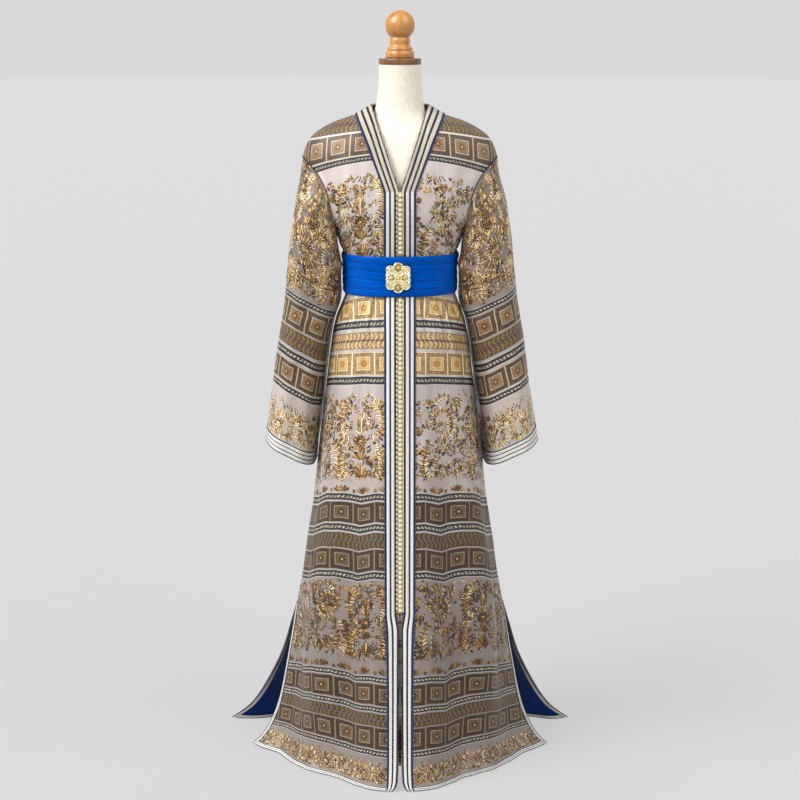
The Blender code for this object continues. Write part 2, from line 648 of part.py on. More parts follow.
def sleeve_grid(side, front, back):
    """Return a sleeve's outer points: rings from the armhole down, columns round it."""
    yoke = len(LEVELS) - 1
    front_edge = front[yoke:, -1]
    back_edge = back[yoke:, -1 if side == "right" else 0]
    armhole = np.vstack((front_edge[::-1], back_edge[1:-1]))
    armhole[len(front_edge) - 1, 1] = armhole[0, 1] = 0.0
    sign = -1 if side == "left" else 1
    armhole = armhole * np.array([sign, 1.0, 1.0])
    count = len(front_edge) - 1
    angles = np.array([math.pi * i / count for i in range(2 * count)])
    start = sleeve_ring(0.0, angles, 0.0)
    rings = []
    for t in sleeve_levels():
        fade = 1 - smooth_step(t / SLEEVE_BLEND)
        rings.append(sleeve_ring(t, angles, SLEEVE_LEAN[side]) + fade * (armhole - start))
    grid = np.array(rings)
    away = grid[1] - grid[0]
    grid[0] += SLEEVE_GAP * away / np.linalg.norm(away, axis=1)[:, None]
    return grid * np.array([sign, 1.0, 1.0])


# ------------------------------------------------------------------ closed lofts
def loft(name, rings, finish, collection, capped=True, sharp_degrees=40):
    """Join closed rings of equal length into a body, capped or joined end to end."""
    rings = np.array(rings)
    count, around = rings.shape[:2]
    spans = count - 1 if capped else count
    faces = []
    for row in range(spans):
        for column in range(around):
            after, above = (column + 1) % around, (row + 1) % count
            faces.append((row * around + column, row * around + after,
                          above * around + after, above * around + column))
    if capped:
        faces.append(tuple(range(around))[::-1])
        faces.append(tuple((count - 1) * around + i for i in range(around)))
    piece = add_part(name, rings.reshape(-1, 3), faces, finish, collection, sharp_degrees)
    face_outward(piece.data)
    return piece


def face_outward(mesh):
    """Turn all faces of a closed mesh outward."""
    shape = bmesh.new()
    shape.from_mesh(mesh)
    bmesh.ops.recalc_face_normals(shape, faces=shape.faces)
    shape.to_mesh(mesh)
    shape.free()


def turned(name, profile, finish, collection, sides=24):
    """Turn a profile of (radius, height) points, listed from the top down, about Z."""
    vertices = [(radius, 0.0, z) for radius, z in profile]
    edges = [(i, i + 1) for i in range(len(profile) - 1)]
    mesh = bpy.data.meshes.new(name)
    mesh.from_pydata(vertices, edges, [])
    mesh.materials.append(finish_material(finish))
    thing = bpy.data.objects.new(name, mesh)
    collection.objects.link(thing)
    screw = thing.modifiers.new("Turn", "SCREW")
    screw.axis = "Z"
    screw.angle = 2 * math.pi
    screw.steps = sides
    screw.render_steps = sides
    screw.use_merge_vertices = True
    screw.merge_threshold = 0.0001
    screw.use_smooth_shade = True
    return thing


# ------------------------------------------------------------------ belt, rosette, buttons
def waist_ring(z, reach, sides):
    """Return a level ring round the waist, standing off the cloth by a distance."""
    angles = np.linspace(0.0, 2 * math.pi, sides, endpoint=False)
    front, back = FRONT["depth"](z) + reach, BACK["depth"](z) + reach
    x = (FRONT["edge_x"](z) + reach) * np.sin(angles)
    y = -np.where(np.cos(angles) > 0, front, back) * np.cos(angles)
    return np.column_stack((x, y, np.full(sides, z)))


def make_belt(collection):
    """Make the pleated sash: its outer face rolls over each pleat, its inner face is plain."""
    height = BELT_TOP_Z - BELT_BOTTOM_Z
    rings = []
    for share, roll in BELT_PROFILE:
        reach = BELT_CLEARANCE + BELT_THICKNESS + roll * BELT_PLEAT_DEPTH
        rings.append(waist_ring(BELT_BOTTOM_Z + share * height, reach, BELT_SIDES))
    for share in (1.0, 0.5, 0.0):
        rings.append(waist_ring(BELT_BOTTOM_Z + share * height, BELT_CLEARANCE, BELT_SIDES))
    loft("belt", rings, "belt", collection, capped=False)


def make_rosette(collection):
    """Make the lobed buckle plate, domed towards its centre, on the belt's front."""
    angles = np.linspace(0.0, 2 * math.pi, ROSETTE_POINTS, endpoint=False)
    lobes = ROSETTE_LOBE_RISE * np.cos(ROSETTE_LOBES * angles)
    width = ROSETTE_HALF_WIDTH - ROSETTE_LOBE_RISE + lobes
    height = ROSETTE_HALF_HEIGHT - ROSETTE_LOBE_RISE + lobes
    reach = BELT_CLEARANCE + BELT_THICKNESS + BELT_PLEAT_DEPTH + SEAM_GAP
    belt_y = -(FRONT["depth"](ROSETTE_CENTRE_Z + ROSETTE_HALF_HEIGHT) + reach)
    rings = []
    for share, rise in ROSETTE_RINGS:
        x = ROSETTE_CENTRE_X + share * width * np.sin(angles)
        z = ROSETTE_CENTRE_Z + share * height * np.cos(angles)
        rings.append(np.column_stack((x, np.full(ROSETTE_POINTS, belt_y - rise), z)))
    loft("belt_rosette", rings, "gilt", collection, sharp_degrees=30)


def placket_path(front, low, high):
    """Return the centre line of the meeting edges between two heights, at half pitches."""
    rows = front[:, 0]
    count = 2 * int(round((high - low) / BUTTON_PITCH)) + 1
    heights = np.linspace(low, high, count)
    depths = np.interp(heights, rows[:, 2], rows[:, 1])
    return np.column_stack((np.zeros(count), depths, heights))


def make_placket(name, front, low, high, collection):
    """Make a button strip: a narrow placket whose face rises into a knot at each pitch."""
    rings = []
    for i, (_, y, z) in enumerate(placket_path(front, low, high)):
        knot = i % 2
        crown = BUTTON_HEIGHT if knot else PLACKET_CROWN
        shoulder = BUTTON_SHOULDER if knot else PLACKET_SHOULDER
        base = y - 2 * SEAM_GAP
        half = PLACKET_HALF - 2 * SEAM_GAP
        rings.append([(-half, base, z), (half, base, z), (BUTTON_HALF, base - shoulder, z),
                      (0.0, base - crown, z), (-BUTTON_HALF, base - shoulder, z)])
    loft(name, rings, "buttons", collection)


# ------------------------------------------------------------------ dress form
def make_form_torso(collection):
    """Make the limbless torso with its neck, a stack of oval rings."""
    angles = np.linspace(0.0, 2 * math.pi, FORM_SIDES, endpoint=False)
    rings = []
    for ring in FORM_TORSO:
        depth = np.where(np.cos(angles) > 0, ring.front, ring.back)
        x, y = ring.half_width * np.sin(angles), -depth * np.cos(angles)
        rings.append(np.column_stack((x, y, np.full(FORM_SIDES, ring.z))))
    loft("form_torso", rings, "linen", collection)


def arc(centre_r, centre_z, radius, start, stop, count):
    """Return points of a profile arc, angles in degrees from the radial direction."""
    angles = np.radians(np.linspace(start, stop, count))
    return [(centre_r + radius * math.cos(a), centre_z + radius * math.sin(a)) for a in angles]


def make_form_stand(collection):
    """Make the turned finial and cap on top, and the pole and round base below."""
    ball_z = FINIAL_TOP_Z - FINIAL_BALL_RADIUS
    profile = [(0.0, FINIAL_TOP_Z)] + arc(0.0, ball_z, FINIAL_BALL_RADIUS, 80, -48, 9)
    profile += [(0.0212, 1.5800), (0.0220, 1.5740), (0.0215, 1.5665), (0.0260, 1.5625),
                (0.0270, 1.5585), (0.0262, 1.5555), (0.0300, 1.5525), (0.0305, 1.5475),
                (0.0300, FINIAL_BOTTOM_Z), (0.0, FINIAL_BOTTOM_Z)]
    turned("form_finial", profile, "oak", collection)
    inside = CAP_RADIUS - CAP_EDGE
    turned("form_neck_cap", [(0.0, CAP_TOP_Z), (inside, CAP_TOP_Z),
                             (CAP_RADIUS, CAP_TOP_Z - CAP_EDGE),
                             (CAP_RADIUS, CAP_BOTTOM_Z + CAP_EDGE),
                             (inside, CAP_BOTTOM_Z), (0.0, CAP_BOTTOM_Z)],
           "walnut", collection, sides=32)
    pole_top = FORM_TORSO[-1].z - SEAM_GAP
    turned("form_pole", [(0.0, pole_top), (POLE_RADIUS, pole_top),
                         (POLE_RADIUS, BASE_HUB_TOP + SEAM_GAP), (0.0, BASE_HUB_TOP + SEAM_GAP)],
           "steel", collection, sides=20)
    turned("form_base", [(0.0, BASE_HUB_TOP), (BASE_HUB_RADIUS - 0.004, BASE_HUB_TOP),
                         (BASE_HUB_RADIUS, BASE_HUB_TOP - 0.004), (BASE_HUB_RADIUS, 0.020),
                         (BASE_RADIUS - 0.006, BASE_EDGE), (BASE_RADIUS, BASE_EDGE - 0.005),
                         (BASE_RADIUS, 0.0), (0.0, 0.0)],
           "oak", collection, sides=36)


# ------------------------------------------------------------------ garment
def front_braid_cells(rows, columns):
    """Return the cells under a front's braid: neck and centre edge, hem and slit edge."""
    centre = [(row, 1) for row in range(rows - 1)]
    hem = [(0, column) for column in range(2, columns - 1)]
    slit = [(row, columns - 2) for row in range(1, SLIT_ROW)]
    return centre + hem + slit


def back_braid_cells(columns):
    """Return the cells under the back's edge braid: both slit edges and the hem."""
    hem = [(0, column) for column in range(columns - 1)]
    slits = [(row, column) for row in range(1, SLIT_ROW) for column in (0, columns - 2)]
    return hem + slits


def make_front(side, collection):
    """Make one front and its braid, and return the front's points."""
    front = front_grid(side)
    normals = panel_normals(front, 1 if side == "right" else -1)
    cells = front_braid_cells(*front.shape[:2])
    walled_piece(f"front_{side}", front, normals, all_cells(front), "brocade", collection)
    walled_piece(f"front_braid_{side}", front, normals, cells, "braid", collection,
                 low=SEAM_GAP, high=SEAM_GAP + BRAID)
    return front


def make_back(back, collection):
    """Make the back, its lining, its edge braid and the braid behind the neck."""
    normals = panel_normals(back, -1)
    rows, columns = back.shape[:2]
    braid = {"low": SEAM_GAP, "high": SEAM_GAP + BRAID}
    lining_face = CLOTH + 2 * SEAM_GAP
    lining = [(row, column) for row in range(1, SLIT_ROW + 1) for column in range(columns - 1)]
    neck = [(rows - 2, column) for column in range(*NECK_CELLS)]
    walled_piece("back_panel", back, normals, all_cells(back), "brocade", collection)
    walled_piece("back_lining", back, normals, lining, "lining", collection,
                 low=-(lining_face + LINING), high=-lining_face)
    walled_piece("back_braid", back, normals, back_braid_cells(columns), "braid", collection,
                 **braid)
    walled_piece("back_neck_braid", back, normals, neck, "braid", collection, **braid)


def make_sleeve(side, front, back, collection):
    """Make one sleeve and its cuff braid."""
    sleeve = sleeve_grid(side, front, back)
    normals = grid_normals(sleeve, closed=True) * (1 if side == "right" else -1)
    cuff = [(sleeve.shape[0] - 2, column) for column in range(sleeve.shape[1])]
    walled_piece(f"sleeve_{side}", sleeve, normals, all_cells(sleeve, closed=True), "brocade",
                 collection)
    walled_piece(f"cuff_braid_{side}", sleeve, normals, cuff, "braid", collection,
                 low=SEAM_GAP, high=SEAM_GAP + BRAID)


def make_garment(collection):
    """Make the kaftan's panels, sleeves, lining, braids, plackets and belt."""
    back = back_grid()
    make_back(back, collection)
    for side in ("left", "right"):
        front = make_front(side, collection)
        make_sleeve(side, front, back, collection)
    make_placket("placket_upper", front, BELT_TOP_Z + 0.004, V_BOTTOM_Z, collection)
    make_placket("placket_lower", front, BUTTONS_END_Z, BELT_BOTTOM_Z - 0.004, collection)
    make_belt(collection)
    make_rosette(collection)


def main():
    """Build the kaftan and its dress form."""
    clear_scene()
    collection = bpy.data.collections.new(COLLECTION_NAME)
    bpy.context.scene.collection.children.link(collection)
    make_garment(collection)
    make_form_torso(collection)
    make_form_stand(collection)


main()
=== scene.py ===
"""The looks of a Moroccan kaftan on a limbless dress form.

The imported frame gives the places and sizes. Here every cloth piece is draped again as a fine
sheet from the same tables, cut along the bands of its brocade, and dressed: gold figures laid
on the silk, cord braids, knotted buttons, a pleated satin belt with its gilt buckle, and the
form's linen, oak and walnut. Metres, +Z up, the garment's front faces -Y, and left and right
are as seen by someone who looks at the front.
"""

import logging
import math
from dataclasses import dataclass, field
from enum import Enum
from typing import Callable, NamedTuple, Sequence

import bmesh
import bpy
import numpy as np
from bpy.types import Material, NodeSocket, Object
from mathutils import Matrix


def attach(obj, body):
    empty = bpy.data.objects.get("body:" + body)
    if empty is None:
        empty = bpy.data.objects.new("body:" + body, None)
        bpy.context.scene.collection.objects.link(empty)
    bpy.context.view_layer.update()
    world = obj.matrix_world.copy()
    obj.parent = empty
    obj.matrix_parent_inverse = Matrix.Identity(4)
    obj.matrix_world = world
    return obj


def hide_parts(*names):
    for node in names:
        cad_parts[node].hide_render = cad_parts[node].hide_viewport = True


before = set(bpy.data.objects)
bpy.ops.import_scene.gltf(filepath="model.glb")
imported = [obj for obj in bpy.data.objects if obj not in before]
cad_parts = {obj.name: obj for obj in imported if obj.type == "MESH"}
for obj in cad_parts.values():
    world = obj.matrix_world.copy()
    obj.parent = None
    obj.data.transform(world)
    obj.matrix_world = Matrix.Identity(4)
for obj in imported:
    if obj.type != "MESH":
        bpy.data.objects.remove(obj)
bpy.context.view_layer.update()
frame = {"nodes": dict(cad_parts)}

Array = np.ndarray
LOG = logging.getLogger("kaftan")

# ---- the garment's sizes
SEAM_GAP = 0.0003
NECK_HALF = 0.0595
SHOULDER_Z = 1.443
SHOULDER_END_X = 0.2085
SHOULDER_END_Z = 1.335
UNDERARM_Z = 1.165
V_BOTTOM_Z = 1.2655
BELT_TOP_Z = 1.1290
BLOUSE_Z = 1.145
BELT_BOTTOM_Z = 1.0405
BUTTONS_END_Z = 0.380
SLIT_TOP_Z = 0.335
HEM_Z = 0.0022
EDGE_BRAID_WIDTH = 0.011
NECK_BRAID_WIDTH = 0.037
NECK_REVEAL = 0.0012
PLACKET_HALF = 0.0085
BUTTON_PITCH = 0.0100
DENSE = 161                 # points of a row before it is cut into columns
SEAM_BLEND = 0.03           # length beside the neck over which the shoulder seam shuts
CALM_FROM = 0.72            # share of the yoke above which creases fade to the seam
NECK_TURN = 0.72            # share of the back neck braid before it turns to the seam
COLLAR_SPREAD = 0.08        # height over which the front braid widens to the collar's
LEAFY_FADE = 0.02           # height over which the woven leaves fade in and out
TONE_SPREAD = 0.24          # how far one gold leaf's tone differs from the next one's
ROUND = 0.5523              # shares that make a Bezier arc a quarter ellipse


class Side(Enum):
    """The garment's two sides, as seen from the front."""

    LEFT = -1
    RIGHT = 1

    @property
    def word(self) -> str:
        """Return the side's name in lower case."""
        return self.name.lower()


class Row(NamedTuple):
    """A half row of the garment: one Bezier arc from the centre line to the side."""

    z: float
    edge_x: float
    edge_y: float
    depth: float
    pull: float
    handle_x: float
    handle_y: float


class Body(NamedTuple):
    """A row whose front and back share their edge."""

    z: float
    edge_x: float
    front: float
    back: float


BODY = [
    Body(SHOULDER_Z, NECK_HALF, 0.035, 0.062),
    Body(1.424, 0.0920, 0.050, 0.072),
    Body(1.407, 0.1400, 0.062, 0.079),
    Body(1.391, 0.1700, 0.072, 0.084),
    Body(1.376, 0.1890, 0.080, 0.088),
    Body(1.355, 0.2020, 0.088, 0.091),
    Body(SHOULDER_END_Z, SHOULDER_END_X, 0.094, 0.093),
    Body(1.300, 0.2035, 0.103, 0.096),
    Body(1.270, 0.1980, 0.110, 0.098),
    Body(1.215, 0.1720, 0.116, 0.097),
    Body(UNDERARM_Z, 0.1370, 0.113, 0.092),
    Body(BLOUSE_Z, 0.1300, 0.110, 0.089),
    Body(BELT_TOP_Z, 0.1225, 0.105, 0.085),
    Body(1.085, 0.1190, 0.100, 0.080),
    Body(BELT_BOTTOM_Z, 0.1190, 0.103, 0.086),
    Body(1.010, 0.1290, 0.113, 0.097),
    Body(0.980, 0.1405, 0.122, 0.106),
    Body(0.916, 0.1520, 0.136, 0.120),
    Body(0.850, 0.1605, 0.148, 0.131),
    Body(0.700, 0.1790, 0.172, 0.155),
    Body(0.580, 0.1920, 0.190, 0.173),
    Body(0.500, 0.2050, 0.202, 0.188),
    Body(0.416, 0.2170, 0.214, 0.205),
]
FRONT_HEM = [
    Row(SLIT_TOP_Z, 0.2315, 0.000, 0.2250, 0.50, 0.95, 0.55),
    Row(0.2185, 0.2515, -0.004, 0.2430, 0.46, 0.85, 0.54),
    Row(0.1090, 0.2745, -0.008, 0.2610, 0.41, 0.75, 0.52),
    Row(0.0450, 0.3000, -0.010, 0.2740, 0.37, 0.67, 0.51),
    Row(0.0180, 0.3190, -0.011, 0.2810, 0.36, 0.64, 0.50),
    Row(0.0000, 0.3390, -0.012, 0.2880, 0.35, 0.62, 0.50),
]
BACK_HEM = [
    Row(SLIT_TOP_Z, 0.2315, 0.000, 0.2250, 0.5523, 0.99, 0.55),
    Row(0.2800, 0.2470, 0.020, 0.2420, 0.5523, 0.96, 0.54),
    Row(0.2100, 0.2670, 0.054, 0.2680, 0.55, 0.91, 0.50),
    Row(0.1100, 0.3110, 0.102, 0.3100, 0.54, 0.82, 0.42),
    Row(0.0450, 0.3510, 0.130, 0.3480, 0.53, 0.74, 0.34),
    Row(0.0180, 0.3780, 0.146, 0.3680, 0.52, 0.68, 0.28),
    Row(0.0000, 0.4000, 0.158, 0.3800, 0.51, 0.65, 0.25),
]


class Centre(NamedTuple):
    """How far the fronts' meeting edge and braid stand off the centre line."""

    z: float
    edge: float
    braid_in: float
    braid_out: float


CENTRE = [
    Centre(0.000, 0.0200, 0.0215, 0.0330),
    Centre(0.006, 0.0110, 0.0125, 0.0290),
    Centre(0.020, 0.0048, 0.0063, 0.0280),
    Centre(0.060, 0.0030, 0.0045, 0.0275),
    Centre(0.280, 0.0016, 0.0031, 0.0285),
    Centre(0.340, 0.0008, 0.0025, 0.0300),
    Centre(0.378, 0.0003, PLACKET_HALF, 0.0325),
    Centre(1.250, 0.0003, PLACKET_HALF, 0.0340),
]


class Armhole(NamedTuple):
    """The armhole's distance from the centre line at a height."""

    z: float
    x: float


ARMHOLE = [
    Armhole(UNDERARM_Z, 0.1370),
    Armhole(1.190, 0.1405),
    Armhole(1.2145, 0.1450),
    Armhole(1.245, 0.1510),
    Armhole(1.272, 0.1590),
    Armhole(1.300, 0.1750),
    Armhole(1.320, 0.1930),
    Armhole(SHOULDER_END_Z, SHOULDER_END_X),
]


class Fold(NamedTuple):
    """A skirt fold: its place and half width as shares of the row, and its depth by height."""

    at_top: float
    at_hem: float
    width: float
    at_090: float
    at_050: float
    at_020: float
    at_000: float


FOLD_HEIGHTS = (0.98, 0.90, 0.50, 0.20, 0.0)
FOLD_START_Z = 0.950
FRONT_FOLDS = {
    Side.LEFT: [
        Fold(0.16, 0.13, 0.10, 0.001, 0.004, 0.007, 0.003),
        Fold(0.36, 0.33, 0.10, -0.002, -0.010, -0.019, -0.010),
        Fold(0.61, 0.59, 0.13, 0.002, 0.008, 0.013, 0.006),
        Fold(0.83, 0.82, 0.08, -0.001, -0.006, -0.010, -0.004),
    ],
    Side.RIGHT: [
        Fold(0.15, 0.15, 0.10, 0.001, 0.004, 0.006, 0.003),
        Fold(0.39, 0.36, 0.11, -0.002, -0.009, -0.018, -0.008),
        Fold(0.63, 0.62, 0.12, 0.002, 0.009, 0.014, 0.006),
        Fold(0.80, 0.82, 0.08, -0.001, -0.007, -0.008, -0.004),
    ],
}
BACK_FOLDS = [
    Fold(-0.80, -0.76, 0.07, -0.001, -0.006, -0.012, -0.008),
    Fold(-0.62, -0.58, 0.08, 0.002, 0.008, 0.014, 0.010),
    Fold(-0.43, -0.40, 0.07, -0.002, -0.009, -0.016, -0.010),
    Fold(-0.22, -0.21, 0.09, 0.002, 0.010, 0.016, 0.012),
    Fold(-0.02, -0.03, 0.07, -0.002, -0.010, -0.018, -0.012),
    Fold(0.19, 0.17, 0.08, 0.002, 0.009, 0.015, 0.011),
    Fold(0.38, 0.36, 0.07, -0.001, -0.008, -0.015, -0.010),
    Fold(0.58, 0.55, 0.09, 0.002, 0.009, 0.014, 0.010),
    Fold(0.79, 0.76, 0.07, -0.001, -0.006, -0.011, -0.007),
]


class Crease(NamedTuple):
    """A pinched line in the cloth, from one place to another, each a share and a height."""

    share_a: float
    z_a: float
    share_b: float
    z_b: float
    width: float
    depth: float


# Creases of a front and of a half back, drawn where the cloth is pulled or let go.
BODICE_CREASES = [
    Crease(0.93, 1.215, 0.45, 1.262, 0.010, -0.0024),
    Crease(0.97, 1.185, 0.50, 1.210, 0.009, -0.0020),
    Crease(0.90, 1.145, 0.62, 1.200, 0.009, 0.0018),
    Crease(0.66, 1.125, 0.58, 1.215, 0.007, -0.0020),
    Crease(0.47, 1.125, 0.44, 1.195, 0.007, -0.0016),
    Crease(0.34, 1.125, 0.33, 1.180, 0.006, 0.0014),
    Crease(0.80, 1.125, 0.74, 1.190, 0.007, 0.0016),
]
SKIRT_CREASES = [
    Crease(0.30, 1.045, 0.33, 0.830, 0.009, -0.0022),
    Crease(0.50, 1.045, 0.55, 0.860, 0.008, -0.0018),
    Crease(0.68, 1.045, 0.72, 0.780, 0.010, -0.0026),
    Crease(0.84, 1.045, 0.88, 0.800, 0.008, 0.0020),
    Crease(0.22, 0.980, 0.24, 0.600, 0.014, 0.0020),
    Crease(0.46, 0.900, 0.50, 0.420, 0.015, 0.0030),
    Crease(0.75, 0.760, 0.72, 0.300, 0.016, 0.0034),
    Crease(0.93, 0.700, 0.93, 0.360, 0.010, -0.0024),
]


class Ring(NamedTuple):
    """A sleeve ring: its outer and inner points, its half depth, and its laps on the body."""

    t: float
    outer_x: float
    outer_z: float
    inner_x: float
    inner_z: float
    half_depth: float
    tuck_front: float
    tuck_back: float


SLEEVE = [
    Ring(0.00, 0.2085, 1.3350, 0.1370, 1.1650, 0.070, 0.000, 0.000),
    Ring(0.07, 0.2135, 1.2950, 0.1365, 1.1540, 0.074, 0.002, 0.000),
    Ring(0.16, 0.2262, 1.2450, 0.1345, 1.1360, 0.076, 0.007, 0.002),
    Ring(0.28, 0.2375, 1.1700, 0.1305, 1.0980, 0.076, 0.012, 0.005),
    Ring(0.40, 0.2455, 1.0950, 0.1310, 1.0360, 0.074, 0.007, 0.010),
    Ring(0.52, 0.2545, 1.0200, 0.1505, 0.9650, 0.074, 0.003, 0.014),
    Ring(0.64, 0.2660, 0.9430, 0.1625, 0.8880, 0.075, 0.000, 0.016),
    Ring(0.76, 0.2770, 0.8680, 0.1720, 0.8120, 0.077, 0.000, 0.016),
    Ring(0.88, 0.2880, 0.7900, 0.1815, 0.7350, 0.080, 0.000, 0.016),
    Ring(1.00, 0.2990, 0.7127, 0.1905, 0.6590, 0.084, 0.000, 0.014),
]
SLEEVE_LENGTH = 0.600       # along the cloth, from the armhole to the cuff
CUFF_BRAID_T = 0.955


class SleeveFold(NamedTuple):
    """A soft fold down a sleeve: degrees round it, half width, and its depth on the way."""

    at: float
    width: float
    top: float
    elbow: float
    cuff: float


SLEEVE_FOLDS = [
    SleeveFold(52, 20, 0.000, 0.003, 0.004),
    SleeveFold(92, 20, -0.002, -0.005, -0.005),
    SleeveFold(128, 18, 0.001, 0.003, 0.003),
    SleeveFold(238, 20, 0.001, 0.003, 0.004),
    SleeveFold(275, 20, -0.001, -0.005, -0.005),
    SleeveFold(312, 20, 0.000, 0.003, 0.004),
]
FOLD_PLACES = (0.0, 0.15, 0.5, 1.0)


class SleeveCrease(NamedTuple):
    """A crease on a sleeve, between two places given as degrees round it and t along it."""

    at_a: float
    t_a: float
    at_b: float
    t_b: float
    width: float
    depth: float


SLEEVE_CREASES = [
    SleeveCrease(155, 0.03, 75, 0.24, 0.011, -0.0030),
    SleeveCrease(165, 0.14, 95, 0.36, 0.011, -0.0032),
    SleeveCrease(170, 0.25, 60, 0.42, 0.010, 0.0026),
    SleeveCrease(160, 0.42, 80, 0.50, 0.009, -0.0030),
    SleeveCrease(150, 0.50, 40, 0.56, 0.009, 0.0022),
    SleeveCrease(140, 0.58, 70, 0.74, 0.011, -0.0024),
    SleeveCrease(30, 0.34, 62, 0.62, 0.010, -0.0018),
    SleeveCrease(205, 0.05, 270, 0.30, 0.011, -0.0030),
    SleeveCrease(195, 0.24, 280, 0.44, 0.011, 0.0026),
    SleeveCrease(200, 0.42, 300, 0.52, 0.009, -0.0030),
    SleeveCrease(215, 0.60, 290, 0.80, 0.011, -0.0024),
]


# ---- the brocade's bands
class Weave(Enum):
    """The brocade's grounds, in the order of a panel's material slots."""

    SILK = 0
    VINE = 1
    TILES = 2
    CHAIN = 3
    GOLD_TILES = 4
    GOLD_CHAIN = 5
    BACKING = 6
    DARK_TILES = 7
    DARK_CHAIN = 8


class Band(NamedTuple):
    """One band of the brocade, between two heights on the cloth."""

    low: float
    high: float
    weave: Weave


# Heights on the centre line; what lies between two bands is plain silk ground.
BODY_BANDS = [
    Band(0.0700, 0.0835, Weave.VINE),
    Band(0.0850, 0.1310, Weave.DARK_TILES),
    Band(0.1335, 0.1600, Weave.DARK_CHAIN),
    Band(0.1630, 0.1765, Weave.VINE),
    Band(0.1785, 0.2235, Weave.DARK_TILES),
    Band(0.2260, 0.2400, Weave.VINE),
    Band(0.4470, 0.4640, Weave.VINE),
    Band(0.4660, 0.5110, Weave.DARK_TILES),
    Band(0.5140, 0.5460, Weave.DARK_CHAIN),
    Band(0.5490, 0.5660, Weave.VINE),
    Band(0.5680, 0.6120, Weave.DARK_TILES),
    Band(0.6145, 0.6310, Weave.VINE),
    Band(0.8605, 0.8790, Weave.VINE),
    Band(0.8815, 0.9290, Weave.GOLD_TILES),
    Band(0.9360, 0.9720, Weave.GOLD_CHAIN),
    Band(0.9790, 0.9975, Weave.VINE),
    Band(1.0000, 1.0460, Weave.GOLD_TILES),
    Band(1.3323, 1.3450, Weave.VINE),
    Band(1.3465, 1.3915, Weave.TILES),
    Band(1.3945, 1.4270, Weave.CHAIN),
    Band(1.4290, 1.4620, Weave.CHAIN),
]
SLEEVE_BANDS = [
    Band(0.1240, 0.1380, Weave.VINE),
    Band(0.1410, 0.1860, Weave.TILES),
    Band(0.1920, 0.2110, Weave.VINE),
    Band(0.2170, 0.2520, Weave.CHAIN),
    Band(0.2560, 0.3050, Weave.TILES),
    Band(0.3075, 0.3210, Weave.VINE),
]


class Drop(NamedTuple):
    """How the weft hangs at a height: its drop at the side, and the power of its curve."""

    z: float
    drop: float
    power: float


DROPS = [
    Drop(0.000, 0.000, 3.0),
    Drop(0.080, 0.030, 3.0),
    Drop(0.130, 0.036, 3.0),
    Drop(0.180, 0.042, 3.0),
    Drop(0.240, 0.048, 3.0),
    Drop(0.450, 0.056, 2.0),
    Drop(0.620, 0.050, 2.0),
    Drop(0.870, 0.032, 2.0),
    Drop(1.000, 0.034, 2.0),
    Drop(1.165, 0.030, 2.0),
    Drop(1.320, 0.032, 2.0),
    Drop(1.440, 0.034, 2.0),
]
# The weft's own waves on the skirt, at shares of a half row, at their strongest height.
WAVE_SHARES = (0.0, 0.17, 0.30, 0.47, 0.60, 0.77, 1.0)
WAVE_RISES = (0.0, 0.0045, -0.0065, 0.0055, 0.0060, -0.0070, 0.0)
WAVE_HEIGHTS = (0.0, 0.10, 0.25, 0.46, 0.62, 0.80)
WAVE_STRENGTHS = (0.0, 0.7, 1.0, 1.0, 0.7, 0.0)


# ---- curves
Curve = Callable[[float], float]


def table_curve(rows: Sequence, column: str, key: str = "z") -> Curve:
    """Return a smooth function through one column of a table, without overshoot.

    Args:
        rows: The table, a sequence of named tuples.
        column: The column whose values the curve passes through.
        key: The column that the curve is a function of.

    Returns:
        The curve, which also takes arrays.
    """
    points = sorted((getattr(row, key), getattr(row, column)) for row in rows)
    keys = np.array([point[0] for point in points])
    values = np.array([point[1] for point in points])
    steps = np.diff(keys)
    slopes = np.diff(values) / steps
    before, after = slopes[:-1], slopes[1:]
    both = before * after > 0
    inner = np.where(both, 2 * before * after / np.where(both, before + after, 1.0), 0.0)
    tangents = np.concatenate(([slopes[0]], inner, [slopes[-1]]))

    def curve(where: float | Array) -> Array:
        """Return the curve's value at one key or at many.

        Args:
            where: The keys, held within the table's first and last.

        Returns:
            The values.
        """
        where = np.clip(where, keys[0], keys[-1])
        i = np.clip(np.searchsorted(keys, where, side="right") - 1, 0, len(steps) - 1)
        t = (where - keys[i]) / steps[i]
        return ((2 * t**3 - 3 * t**2 + 1) * values[i]
                + (t**3 - 2 * t**2 + t) * steps[i] * tangents[i]
                + (3 * t**2 - 2 * t**3) * values[i + 1]
                + (t**3 - t**2) * steps[i] * tangents[i + 1])

    return curve


def smooth_step(value: Array) -> Array:
    """Ease from 0 to 1 as value goes from 0 to 1."""
    value = np.clip(value, 0.0, 1.0)
    return value * value * (3 - 2 * value)


def half_curves(depth: str, hem: Sequence[Row]) -> dict[str, Curve]:
    """Return the curve of each column of the front's or the back's half rows.

    Args:
        depth: The column of BODY that holds the reach from the centre.
        hem: The rows below the slit's top.

    Returns:
        The curves, by the names of Row's columns.
    """
    rows = [Row(b.z, b.edge_x, 0.0, getattr(b, depth), ROUND, 1.0, ROUND) for b in BODY]
    rows += hem
    return {column: table_curve(rows, column) for column in Row._fields if column != "z"}


FRONT = half_curves("front", FRONT_HEM)
BACK = half_curves("back", BACK_HEM)
CENTRE_EDGE = table_curve(CENTRE, "edge")
BRAID_IN = table_curve(CENTRE, "braid_in")
BRAID_OUT = table_curve(CENTRE, "braid_out")
ARMHOLE_X = table_curve(ARMHOLE, "x")
SHOULDER_LINE_Z = table_curve([b for b in BODY if b.z >= SHOULDER_END_Z], "z", key="edge_x")
V_SLOPE = (SHOULDER_Z - V_BOTTOM_Z) / NECK_HALF
DROP_AT = table_curve(DROPS, "drop")
POWER_AT = table_curve(DROPS, "power")


